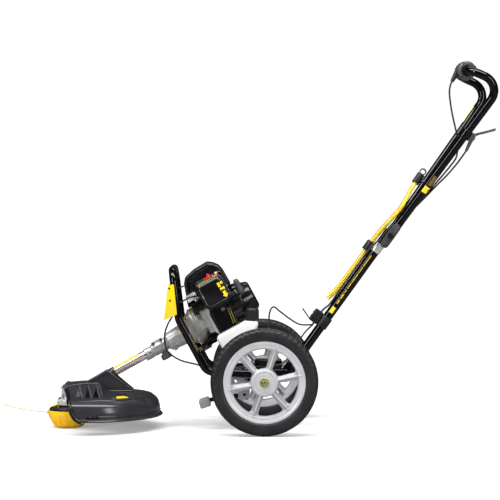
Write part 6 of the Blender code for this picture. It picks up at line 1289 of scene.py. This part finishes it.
piece("filterCover", "chassis", [(shinyPlastic, *lidShells), (plainSteel, lidFramePaintedHighlight, seam, *hatch, *lidKnob),
    (oliveLabel, topBand), (yellowLabel, *marks)], "air_filter_cover", shaftFrame)

choke = [spindle([(0.0, 0.0), (0.0, 0.0062), (0.006, 0.0058), (0.0064, 0.0)], [0, 0.0008, 0.001, 0], 3, 28)]
choke += [cutPlate(rectangle(-0.017, -0.0036, 0.0, 0.0036), 0.0015, 3, 0.0008, 0.0048, 0.0008, axis="z"),
    cutPlate([(-0.017, 0.001), (-0.0125, 0.001), (-0.0125, 0.0062), (-0.015, 0.0075), (-0.0168, 0.007)], 0.0012, 3,
    -0.0042, 0.0042, 0.0012), cutPlate([(-0.0075, 0.003), (0.006, 0.003), (0.004, 0.012), (0.0005, 0.0155),
    (-0.0035, 0.012)], 0.002, 4, -0.0036, 0.0036)]
piece("chokeLeverVisual", "choke", [(redPlastic, *shifted(choke, (0.531, -0.076, 0.1103)))], "choke_lever", shaftFrame)
primer = [spindle([(0.0, 0.0), (0.0, 0.0044), (0.003, 0.0044), (0.0062, 0.0032), (0.0078, 0.0)],
    [0, 0.0006, 0.001, 0.003, 0], 4, 28, "z", (0.5535, -0.066, 0.11))]
piece("whiteCap", "chassis",
    [(tankPlastic, *primer), (redPlastic, rod(0.0075, 0.1096, 0.1125, 28, centre=(0.5535, -0.066, 0)))], at=shaftFrame)

carbShells = [roundBox((0.4972, -0.0608, 0.0562), (0.5448, -0.0392, 0.0878), 0.003),
    rod(0.014, -0.0617, -0.058, 40, "y", (0.52, 0, 0.072))]
piece("carburettorVisual", "chassis", [(castAlloy, *carbShells)], "carburettor", shaftFrame)
muffler = [roundBox((0.4622, 0.0392, 0.0462), (0.5358, 0.064, 0.1088), 0.006),
    roundBox((0.4622, 0.0646, 0.0462), (0.5358, 0.0884, 0.1088), 0.006)]
muffler.append(roundBox((0.4612, 0.063, 0.0452), (0.5368, 0.0654, 0.1098), 0.001))
for number in range(4):
    s = 0.474 + 0.015 * number
    muffler.append(roundBox((s, 0.086, 0.056), (s + 0.005, 0.09, 0.099), 0.0016))
muffler.append(hollowPipe([(0.478, 0.083, 0.06), (0.478, 0.09, 0.06), (0.478, 0.0978, 0.06)], 0.0065, 0.0014))
mufflerBolts = boltRow([(0.466, 0.0884, 0.1045), (0.532, 0.0884, 0.1045), (0.532, 0.0884, 0.0505)],
    (0, 1, 0), 0.0034, 0.0024)
piece("mufflerVisual", "chassis", [(heatPaint, *muffler), (plainSteel, *mufflerBolts)], "muffler", shaftFrame)

# Tank and cap
tankOutline = [(0.47, -0.115), (0.56, -0.115), (0.578, -0.087), (0.597, -0.0695), (0.564, -0.0483), (0.463, -0.0483)]
tankOutline = softened(tankOutline, [0.022, 0.016, 0.014, 0.008, 0.01, 0.014], 8)
tank = [slab(tankOutline, -0.0948, 0.0948, 0.0075, 6)]
neckSpot = {"along": 0.5805, "below": 0.059, "side": -0.072}
shoulderX = -headAhead + neckSpot["along"] * math.cos(shaftTilt) + neckSpot["below"] * math.sin(shaftTilt)
shoulderZ = gearHeight + neckSpot["along"] * math.sin(shaftTilt) - neckSpot["below"] * math.cos(shaftTilt)
shoulder = np.array([shoulderX, neckSpot["side"], shoulderZ])
toShaft = np.linalg.inv(shaftFrame) @ axleFrame
neckProfile = [(-0.008, 0.0), (-0.008, 0.0165), (-0.001, 0.015), (0.0005, 0.0132), (0.0105, 0.0132), (0.0105, 0.0)]
tank.append(placed(spindle(neckProfile, 0.001, 3, centre=shoulder), toShaft))
piece("fuelTankVisual", "chassis", [(tankPlastic, *tank)], "fuel_tank", shaftFrame)
capBase = shoulder + (0, 0, 0.0015)
capAngle = fullTurn(192)
knurl = 0.018 + 0.0015 * smoothStep(-0.25, 0.25, np.cos(24 * capAngle))
# height, share of the radius, and share of the knurl
capRows = [(0.0101, 0.55, 0), (0.0001, 0.74, 0), (0.0001, 0.96, 0), (0.0006, 1.0, 0.2), (0.003, 1.0, 1),
    (0.026, 1.0, 1), (0.029, 1.0, 0.3), (0.033, 0.97, 0), (0.0347, 0.9, 0), (0.035, 0.8, 0), (0.0336, 0.76, 0),
    (0.0336, 0.2, 0)]
capGrid = []
for level, share, rough in capRows:
    reach = share * (0.019 * (1 - rough) + knurl * rough)
    capGrid.append(np.stack([reach * np.cos(capAngle), reach * np.sin(capAngle), np.full(192, level)], 1))
capShells = [gridShell(np.array(capGrid), capFirst=True, capLast=True),
    roundBox((-0.015, -0.0022, 0.033), (0.015, 0.0022, 0.0349), 0.0009)]
piece("fuelCapVisual", "cap", [(cableRubber, *shifted(capShells, capBase))], "fuel_cap", axleFrame)
print("engine made")

# Axle carrier: cross tube, side brackets, spine, adjuster tower and the column's socket
carrier = {"tube": 0.016, "halfWidth": 0.1985, "plateNear": 0.0974, "plateFar": 0.1032}
carrierShells = [rod(carrier["tube"], -carrier["halfWidth"], carrier["halfWidth"], 56, "y",
    (0, 0, wheelRadius), 0.001)]
carrierShells += [rod(0.0185, *onSide(side, 0.188, carrier["halfWidth"]), 48, "y", (0, 0, wheelRadius), 0.0012)
    for side in (-1, 1)]
# spine, adjuster tower, cross plate and the tower's shelf: front, half width, low, back, high, edge
for front, half, low, back, high, edge in ((-0.045, 0.03, 0.1342, 0.0718, 0.1718, 0.005),
        (-0.026, 0.0258, 0.166, 0.054, 0.1998, 0.005), (-0.075, 0.1022, 0.132, -0.037, 0.14, 0.0015),
        (-0.02, 0.0282, 0.185, 0.048, 0.189, 0.0012)):
    carrierShells.append(roundBox((front, -half, low), (back, half, high), edge))
bracketShells = []
for side in (-1, 1):
    bracketLine = softened([(-0.098, 0.131), (0.03, 0.136), (0.03, 0.1658), (-0.098, 0.1658)],
        [0.008, 0.006, 0.008, 0.004], 5)
    bracketPlate = slab(bracketLine, *onSide(side, carrier["plateNear"], carrier["plateFar"]), 0.0008)
    bracketHole = rod(0.005, -0.2, 0.2, 28, "y", (-0.083, 0, 0.1435))
    slotHole = cutPlate(rectangle(-0.056, 0.144, -0.03, 0.153), 0.0044, 5, -0.2, 0.2, 0.0002, 1)
    bracketShells.append(carved(bracketPlate, bracketHole, slotHole))
    for ahead in (-0.06, -0.02):
        carrierShells.append(rod(0.0062, *onSide(side, carrier["plateNear"], 0.105), 6, "y", (ahead, 0, 0.16), 0.0004))
for side in (-1, 1):
    earSide = -0.04 + side * 0.009
    ear = softened([(-0.076, 0.137), (-0.073, 0.084), (-0.041, 0.085), (-0.039, 0.137)],
        [0.001, 0.008, 0.008, 0.001], 6)
    bracketShells.append(slab(ear, earSide - 0.0025, earSide + 0.0025, 0.0008))
carrierShells.append(rod(0.004, -0.0525, -0.0275, 24, "y", (-0.056, 0, 0.1)))
socketFrame = turnedFrame(0.074, wheelRadius, handleTilt)
socketProfile = softened([(-0.005, 0.0145), (-0.005, 0.0192), (0.054, 0.0192), (0.0545, 0.0204), (0.0615, 0.0204),
    (0.0618, 0.0145)], 0.0008, 3)
inAxle = np.linalg.inv(axleFrame) @ socketFrame
carrierShells.append(placed(turned(socketProfile, 56, "x", wrap=True, centre=(0, 0, 0.007)), inAxle))
socketBolts = [placed(placed(screw(0.0048, 0.0036), aimed((0.033, side * 0.019, 0.007), (0, side, 0))), inAxle)
    for side in (-1, 1)]
adjuster = [spindle([(0.1975, 0.0), (0.1975, 0.008), (0.201, 0.008), (0.2018, 0.006), (0.2058, 0.0058), (0.206, 0.0)],
    [0, 0.0005, 0.0005, 0.0005, 0.0005, 0], 3, 6, centre=(0.0415, 0, 0))]
adjuster += [rod(0.005, 0.2, 0.206, 28, centre=(0.0415, 0, 0))]
piece("carrierVisual", "chassis", [(glossBlack, *carrierShells), (zincPlate, *bracketShells), (brassMetal, *adjuster),
    (plainSteel, *socketBolts)], "axle_carrier", axleFrame)

pedalFrame = axleFrame.copy()
pedalFrame[:3, 3] += [-0.056, -0.04, 0.1]
padSpot = np.eye(4)
padSpot[:3, :3] = np.array(Matrix.Rotation(math.radians(-18), 3, "Y"))
padSpot[:3, 3] = [-0.115, 0, -0.024]
padShells = [placed(roundBox((-0.016, -0.03, -0.0128), (0.016, 0.03, 0.0118), 0.005), padSpot)]
for number in range(7):
    y = -0.024 + 0.008 * number
    padShells.append(placed(roundBox((-0.013, y - 0.0016, 0.01), (0.013, y + 0.0016, 0.013), 0.001), padSpot))
armShells = [rod(0.0095, -0.006, 0.006, 40, "y", edge=0.001)]
armShells.append(cutPlate([(0.0, -0.0062), (0.004, 0.0), (0.0, 0.0062), (-0.1, -0.01), (-0.104, -0.016),
    (-0.1, -0.022)], 0.002, 3, -0.005, 0.005, 0.0014))
piece("footPedal", "pedal", [(greyPlastic, *padShells), (glossBlack, *armShells)], "foot_pedal", pedalFrame)

# Column, fold plates and bolt
column = {"radius": 0.014, "wall": 0.0018, "offset": 0.007, "low": -0.5049, "high": 0.0139}
columnPath = np.linspace((column["low"], 0, column["offset"]), (column["high"], 0, column["offset"]), 24)
columnShells = [hollowPipe(columnPath, column["radius"], column["wall"], 56)]
onColumn = np.array([[1, 0, 0, 0], [0, 1, 0, 0], [0, 0, 1, column["offset"]], [0, 0, 0, 1.0]])
columnDashes = [closedPatch(span, (76, 87), column["radius"], 0.0003, 8, 10)
    for span in ((-0.118, -0.078), (-0.142, -0.1205), (-0.176, -0.145), (-0.198, -0.179), (-0.213, -0.201))]
columnDashes += [closedPatch(span, (74, 93), column["radius"], 0.0003, 8, 10)
    for span in ((-0.234, -0.217), (-0.252, -0.2375))]
columnBlock = closedPatch((-0.284, -0.264), (62, 108), column["radius"], 0.0003, 8, 14)
piece("columnTube", "chassis", [(glossBlack, *columnShells), (wornPrint, *allPlaced(columnDashes, onColumn)),
    (yellowLabel, placed(columnBlock, onColumn))], "handle_column", handleFrame)
columnSleeve = band(-0.064, -0.034, column["radius"], 0.0158, 0.0006, 3, 56, "x", (0, 0, column["offset"]))
piece("columnSleeve", "chassis", [(paleMetal, columnSleeve)], at=handleFrame)


def ovalLine(length, width, steps=14):
    # two half circles, with straight sides between them
    angle = np.linspace(-np.pi / 2, np.pi / 2, steps)
    end = np.stack([(length - width) / 2 + width / 2 * np.cos(angle), width / 2 * np.sin(angle)], 1)
    return np.vstack([end, -end])


for suffix, side in (("left", -1), ("right", 1)):
    cheek = [slab(ovalLine(0.081, 0.025), *onSide(side, 0.0488, 0.0566), 0.0022, 4)]
    cheek += [slab(ovalLine(0.068, 0.013), *onSide(side, 0.056, 0.0574), 0.0007, 2),
        rod(0.007, *onSide(side, 0.0165, 0.05), 32, "y", (-0.03, 0, 0))]
    washer = [rod(0.0072, *onSide(side, 0.0566, 0.0584), 36, "y", (-0.03, 0, 0))]
    washer += boltRow([(-0.03, side * 0.0584, 0)], (0, side, 0), 0.0046, 0.003)
    piece("foldPlate_" + suffix, "chassis", [(foldPlastic, *cheek, *washer)], "knuckle_" + suffix, handleFrame)
boltShells = [rod(0.004, -0.06, 0.06, 28, "y")]
for side in (-1, 1):
    boltShells += [rod(0.008, *onSide(side, 0.0144, 0.0231), 32, "y"),
        rod(0.0092, *onSide(side, 0.057, 0.0586), 36, "y", edge=0.0004)]
    boltShells += boltRow([(0, side * 0.0575, 0)], (0, side, 0), 0.0078, 0.0042)
piece("foldBoltVisual", "chassis", [(darkSteel, *boltShells)], "fold_bolt", handleFrame)

# Upper handle: two tubes flaring to the crossbar
handle = {"radius": 0.0125, "footSide": 0.036, "topSide": 0.138, "bends": [0, 0.15, 0.046, 0.04, 0.04, 0.046, 0.15, 0]}
footSide, topSide = -handle["footSide"], -handle["topSide"]
handleHalf = [(-0.014, footSide, 0), (0.057, footSide, 0), (0.538, topSide, 0), (0.51632, topSide, 0.10376)]
handleCorners = handleHalf + [(x, -y, z) for x, y, z in handleHalf[::-1]]
handlePath = softened(handleCorners, handle["bends"], 14, closed=False, share=0.62)
slope = 0.102 / 0.481


def tubeSide(along):
    # the tube's distance from the middle, in proportion to the length past its lower bend
    return handle["footSide"] + slope * (along - 0.057)


def onTube(along, side):
    # a frame on one of the two tubes: first axis up the tube, second outwards to the left
    matrix = np.eye(4)
    matrix[:3, :3] = np.array(Matrix.Rotation(side * math.atan(slope), 3, "Z"))
    matrix[:3, 3] = [along, side * tubeSide(along), 0]
    return matrix


def tubeLabel(start, end, angles, side):
    # a label centred on its own stretch of tube, so that it follows the tube's axis exactly
    middle = (start + end) / 2
    half = (end - start) / 2 / math.cos(math.atan(slope))
    return placed(closedPatch((-half, half), angles, handle["radius"], 0.0003), onTube(middle, side))


yellowBits = [tubeLabel(0.16, 0.18, (66, 150), -1), tubeLabel(0.408, 0.464, (4, 26), 1)]
piece("upperHandleVisual", "handle", [(glossBlack, pipe(handlePath, handle["radius"], 36)), (yellowLabel, *yellowBits),
    (goldLabel, tubeLabel(0.185, 0.218, (84, 132), -1))], "upper_handle", handleFrame)

# Control housing on the crossbar, with its boot, the stop button and the throttle ring
bar = np.array([0.51632, 0, 0.10376])
podProfile = [(-0.0968, 0.0126), (-0.0968, 0.0215), (-0.095, 0.0238), (-0.0895, 0.0268), (-0.076, 0.0275),
    (-0.073, 0.0275), (-0.073, 0.0268), (-0.0716, 0.0268), (-0.0716, 0.0275), (-0.056, 0.0275), (-0.0472, 0.0262),
    (-0.0472, 0.0126)]
pod = [sleeve(podProfile, 0.001, 3, 88, "y", bar)]
podEnd = [sleeve([(-0.0975, 0.0128), (-0.0975, 0.0175), (-0.095, 0.0205), (-0.094, 0.0205), (-0.094, 0.0128)], 0.0008,
    3, 72, "y", bar)]
for angle in np.radians([60, 180, 300]):
    podEnd.append(placed(screw(0.0026, 0.0014), aimed(bar + (0.0232 * math.cos(angle), -0.0955,
        0.0232 * math.sin(angle)), (0, -1, 0))))
bootStart = bar + (-0.0196, -0.072, 0.0184)
bootEnd = bar + (-0.0496, -0.072, 0.0154)
bootPath = np.linspace(bootStart, bootEnd, 25)
bootRadius = np.interp(np.linspace(0, 1, 25), [0, 1], [0.0088, 0.0052])
bootRadius += 0.0005 * np.cos(np.linspace(0, 10 * np.pi, 25))
boot = pipe(bootPath, bootRadius, 28)
piece("controlPod", "handle", [(podPlastic, *pod), (cableRubber, boot, *podEnd)], "control_housing", handleFrame)
rearward = np.array([math.cos(handleTilt), 0, -math.sin(handleTilt)])
buttonFrame = aimed(bar + (0, -0.072, 0) + rearward * 0.0215, rearward)
button = spindle([(0.0035, 0.0), (0.0035, 0.006), (0.0085, 0.006), (0.0095, 0.0045), (0.009, 0.0)],
    [0, 0.0004, 0.0012, 0.001, 0], 4, 36)
piece("stopButtonVisual", "stop", [(redPlastic, placed(button, buttonFrame))], "stop_button", handleFrame)
ringAngle = fullTurn(160)
ringRadius = 0.028 + 0.001 * smoothStep(-0.4, 0.4, np.cos(20 * ringAngle))
# along the bar, and share of the radius
ringRows = np.array([[-0.0466, 0.6], [-0.0466, 0.9], [-0.0458, 0.97], [-0.044, 1.0], [-0.0274, 1.0], [-0.0256, 0.97],
    [-0.0248, 0.9], [-0.0248, 0.6]])
reach = ringRows[:, 1:] * ringRadius
ringGrid = np.stack([reach * np.cos(ringAngle), ringRows[:, :1] + 0 * ringAngle, reach * np.sin(ringAngle)], -1)
bore = np.stack([0.0128 * np.cos(ringAngle), 0 * ringAngle, 0.0128 * np.sin(ringAngle)], -1)
ringGrid = np.concatenate([ringGrid, (bore + (0, -0.0248, 0))[None], (bore + (0, -0.0466, 0))[None]])
tab = placed(roundBox((-0.004, -0.0425, 0.026), (0.01, -0.029, 0.0358), 0.0022), spun(math.radians(120), "y"))
piece("throttleRingVisual", "throttle", [(gripRubber, *shifted([gridShell(ringGrid, wrapRows=True), tab], bar))],
    "throttle_ring", handleFrame)

# Lever bracket, lever and its pad
leverSpot = onTube(0.364, -1)
clampProfile = softened([(-0.013, 0.0126), (-0.013, 0.016), (-0.0118, 0.0166), (0.0118, 0.0166), (0.013, 0.016),
    (0.013, 0.0126)], 0.0008, 3)
leverClamp, leverMount = turned(clampProfile, 56, "x", wrap=True), []
for side in (-1, 1):
    earLine = softened([(-0.012, -0.0135), (-0.01, -0.029), (0.006, -0.03), (0.015, -0.025), (0.015, -0.0135)],
        [0.001, 0.004, 0.005, 0.005, 0.001], 5)
    leverMount.append(slab(earLine, *onSide(side, 0.0034, 0.0078), 0.001))
noseRadius = 0.0041 + 0.0018 * np.linspace(0, 1, 18) + 0.0003 * np.cos(np.linspace(0, 8 * np.pi, 18))
leverMount += [pipe(np.linspace((-0.0395, 0, -0.0305), (-0.008, 0, -0.024), 18), noseRadius),
    roundBox((-0.011, -0.0078, -0.0175), (0.012, 0.0078, -0.013), 0.0014)]
leverBolts = [placed(screw(0.0034, 0.002), aimed((0.009, side * 0.0074, -0.0235), (0, side, 0))) for side in (-1, 1)]
piece("leverBracketVisual", "handle", [(darkGreyPlastic, *allPlaced(leverMount, leverSpot)),
    (glossBlack, placed(leverClamp, leverSpot)), (plainSteel, *allPlaced(leverBolts, leverSpot))],
    "lever_bracket", handleFrame)
pivot = leverSpot @ np.array([[1, 0, 0, 0.009], [0, 1, 0, 0], [0, 0, 1, -0.0235], [0, 0, 0, 1.0]])
bladeLine = [(-0.0058, -0.0029), (0.004, -0.0044), (0.02, -0.0152), (0.049, -0.0384), (0.0548, -0.0384),
    (0.054, -0.0356), (0.024, -0.0116), (0.01, 0.0008), (0.0, 0.0044), (-0.0058, 0.0029)]
lever = [cutPlate(bladeLine, 0.002, 4, -0.0028, 0.0028, 0.0009)]
lever += [cutPlate([(0.017, -0.0135), (0.048, -0.0386), (0.053, -0.0388), (0.05, -0.0358), (0.019, -0.0108)], 0.001, 3,
    -0.008, 0.008, 0.0011), rod(0.005, -0.0031, 0.0031, 32, "y")]
piece("brakeLever", "lever", [(darkGreyPlastic, *allPlaced(lever, pivot))], "hand_lever", handleFrame)
print("handle made")

# Cables. Both are held at their two ends, and each is in two lengths that meet beside the fold
cable = {"radius": 0.0025, "sides": 16}


def fromHandle(along, side, out):
    # a point given along and out from the handle, on the axle's axes
    x = foldBehind + along * math.cos(handleTilt) - out * math.sin(handleTilt)
    return (x, side, foldHeight + along * math.sin(handleTilt) + out * math.cos(handleTilt))


throttleUpper = [bootEnd + (-0.0002, 0, -0.0001), bootEnd + (-0.0117, 0, -0.0032)]
# along as a share of the tube, side, and out
throttleShares = [(0.842, -0.07, 0.1044), (0.772, -0.066, 0.0701), (0.703, -0.061, 0.0296), (0.671, -0.058, 0.0102),
    (0.638, -0.057, -0.003)]
throttleShares += [(0.604, -0.058, -0.014), (0.561, -0.064, -0.0215), (0.467, -0.06, -0.02), (0.4, -0.05, -0.0178),
    (0.33, -0.042, -0.015), (0.232, -0.032, -0.0085)]
throttleUpper += [(0.51632 * share, side, out) for share, side, out in throttleShares] + [(0.06, -0.021, 0.006)]
nose = (leverSpot @ (-0.0405, 0, -0.0306, 1))[:3]
leverShares = [(0.782, -0.0855, -0.031), (0.662, -0.075, -0.0285), (0.549, -0.061, -0.0225), (0.44, -0.036, -0.0185),
    (0.318, 0.002, -0.014), (0.2335, 0.017, -0.007)]
leverUpper = [nose + (0.001, 0, 0.0001)]
leverUpper += [(0.364 * share, side, out) for share, side, out in leverShares] + [(0.06, 0.021, 0.006)]
piece("throttleCableTop", "handle",
    [(cableRubber, pipe(smoothPath(throttleUpper, 10), cable["radius"], cable["sides"]))],
    "throttle_cable_upper", handleFrame)
piece("leverCableTop", "handle", [(cableRubber, pipe(smoothPath(leverUpper, 10), cable["radius"], cable["sides"]))],
    "lever_cable_upper", handleFrame)

cableOut, clampLow, clampHigh = 0.0241, -0.337, -0.297
throttleTail = [(0.122, -0.01, 0.279), (0.101, -0.018, 0.25), (0.079, -0.03, 0.218), (0.056, -0.041, 0.19),
    (0.02, -0.06, 0.184), (-0.02, -0.084, 0.184), (-0.06, -0.094, 0.184), (-0.105, -0.096, 0.178),
    (-0.15, -0.086, 0.172), (-0.19, -0.068, 0.188), (-0.2373, -0.06, 0.1993), (-0.2672, -0.06, 0.2161),
    (-0.2838, -0.06, 0.2365), (-0.2879, -0.06, 0.2728), (-0.2794, -0.06, 0.3034), (-0.2635, -0.06, 0.3324),
    (-0.256, -0.07, 0.352), (-0.24, -0.078, 0.37), (-0.215, -0.07, 0.383), (-0.192, -0.057, 0.388),
    (-0.174, -0.05, 0.389)]
leverTail = [(0.1429, 0.004, 0.3002), (0.1076, 0.006, 0.301), (0.0782, 0.006, 0.3172), (0.0489, 0.004, 0.3392),
    (0.0312, 0.002, 0.3524), (0.0209, 0.0, 0.3436), (0.0165, -0.002, 0.3201), (0.0186, -0.004, 0.285),
    (0.028, -0.004, 0.245), (0.04, 0.0, 0.218), (0.0415, 0.0, 0.2065)]
up = Vector((math.cos(handleTilt), 0, math.sin(handleTilt)))
lowCables = [(-1, "throttleCableLow", "throttle_cable_lower", throttleTail),
    (1, "leverCableLow", "lever_cable_lower", leverTail)]
for side, name, node, tail in lowCables:
    shared = [(0.059, 0.0209, 0.0066), (0.03, 0.019, 0.0125), (0.0, 0.0185, 0.0145), (-0.028, 0.018, 0.017),
        (-0.06, 0.014, 0.023)]
    shared += [(-0.1, 0.005, cableOut), (-0.16, 0.004, cableOut), (clampHigh + 0.077, 0.004, cableOut),
        (clampHigh + 0.032, 0.004, cableOut)]
    shared += [(clampHigh + 0.007, 0.004, cableOut + 0.006), (clampHigh - 0.021, 0.004, cableOut + 0.006),
        (clampLow - 0.007, 0.004, cableOut + 0.006)]
    route = [fromHandle(t, side * y, n) for t, y, n in shared] + tail
    cord = piece(name, None,
        [(cableRubber, pipe(smoothPath(route, 8), cable["radius"], cable["sides"]))], at=axleFrame)
    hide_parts(node)
    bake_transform(cord)

clamp = [band(clampLow + 0.002, clampHigh - 0.003, 0.0142, 0.0174, 0.001, 3, 56, "x", (0, 0, column["offset"]))]
clampBody = roundBox((clampLow, -0.0138, 0.0216), (clampHigh, 0.0138, 0.0488), 0.004)
clamp.append(carved(clampBody, *[rod(0.0029, clampLow - 0.01, clampHigh + 0.01, 20, "x", (0, side * 0.004, 0.0301))
    for side in (-1, 1)]))
tailSpot = np.array(Matrix.Translation((clampLow + 0.004, 0, 0.045)) @ Matrix.Rotation(math.radians(20), 4, "Y"))
clamp += [placed(roundBox((-0.0038, -0.002, 0.0), (0.0, 0.002, 0.038), 0.0008), tailSpot),
    roundBox((clampLow + 0.01, -0.015, 0.03), (clampLow + 0.018, 0.015, 0.05), 0.0015)]
clampBolts = boltRow([(clampLow + 0.028, 0, 0.0488)], (0, 0, 1), 0.004, 0.0024)
piece("cableClampVisual", "chassis", [(blackPlastic, *clamp), (plainSteel, *clampBolts)], "cable_clamp", handleFrame)

# Spare lines: a bundle of straight strands held by the cup above and the clip below
bundle = {"strands": 7, "lineRadius": 0.0029}
bundleLine = [(0.178, tubeSide(0.178), 0.0245), (0.15, tubeSide(0.15) - 0.0012, 0.024),
    (0.115, tubeSide(0.115) - 0.0078, 0.02), (0.0816, 0.0295, 0.019), (0.045, 0.0265, 0.0225), (0.01, 0.0265, 0.0265),
    (-0.035, 0.0265, 0.029), (-0.085, 0.0265, 0.029), (-0.15, 0.0265, 0.029), (-0.2216, 0.025, 0.032),
    (-0.255, 0.023, 0.04)]
bundlePath = smoothPath(bundleLine, 8)
bundleReach = np.interp(np.arange(len(bundlePath)), [0, 8, 24, 40, 72, 80],
    [0.0058, 0.0064, 0.007, 0.0072, 0.0074, 0.0088])
first, second = sideways(bundlePath)
strands, lengths = [], np.linspace(0, 1, len(bundlePath))
for number in range(bundle["strands"]):
    angle = 2 * np.pi * number / bundle["strands"] + 0.1 * np.sin(5.0 * lengths + number * 1.7)
    spread = (bundleReach - bundle["lineRadius"]) * (1 + 0.05 * np.sin(7 * lengths + number))
    strand = bundlePath + (spread * np.cos(angle))[:, None] * first + (spread * np.sin(angle))[:, None] * second
    strands.append(pipe(strand[number % 2 : len(strand) - number % 5], bundle["lineRadius"], 12))
yellowStrands, orangeStrands = strands[:3] + strands[5:], strands[3:5]
core = pipe(bundlePath[2:-6], bundleReach[2:-6] * 0.5)
spare = piece("spareLineBundle", None, [(yellowLine, *yellowStrands, core),
    (nylonLine, *orangeStrands)], at=handleFrame)
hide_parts("spare_lines")
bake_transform(spare)

holderSpot = onTube(0.19, 1)
cupShell = band(-0.0168, 0.0168, 0.009, 0.0113, 0.0009, 3, 48, "x", (0, 0, 0.0243))
cupEnd = rod(0.01, 0.013, 0.0166, 44, "x", (0, 0, 0.0243))
claspShell = band(-0.006, 0.006, 0.0127, 0.0159, 0.0009, 3, 52, "x")
loopTurn = np.linspace(0, 2 * np.pi, 37)[:-1]
loops = [closedPipe(np.stack([0.0262 + size * np.cos(loopTurn), np.full(36, y), 0.0243 + size * np.sin(loopTurn)], 1),
    0.0011) for size, y in ((0.0092, 0.0), (0.0078, 0.003))]
piece("lineCup", "handle", [(blackPlastic, *allPlaced((cupShell, cupEnd, claspShell, *loops), holderSpot))],
    "line_holder", handleFrame)
clipBody = carved(roundBox((-0.0748, 0.0206, -0.0038), (-0.0432, 0.039, 0.0418), 0.003),
    rod(0.0101, -0.09, -0.03, 40, "x", (0, 0.0265, 0.029)))
clipFoot = roundBox((-0.0705, 0.015, 0.0005), (-0.0475, 0.0215, 0.0098), 0.0014)
clipRing = band(-0.0748, -0.0432, 0.01, 0.0116, 0.0007, 3, 48, "x", (0, 0.0265, 0.029))
piece("lineClipVisual", "chassis", [(blackPlastic, clipBody, clipFoot, clipRing)], "line_clip", handleFrame)
print("cables and spare lines made")

# The nodes that keep their CAD shape take a finish of their own
kept = {"spool": blackPlastic, "head_spindle": plainSteel, "drive_shaft": plainSteel, "clutch_drum": darkSteel,
    "crankshaft": plainSteel, "flywheel": castAlloy, "starter_pulley": blackPlastic, "line_cutter": plainSteel}
for name, material in kept.items():
    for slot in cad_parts[name].material_slots:
        slot.material = material
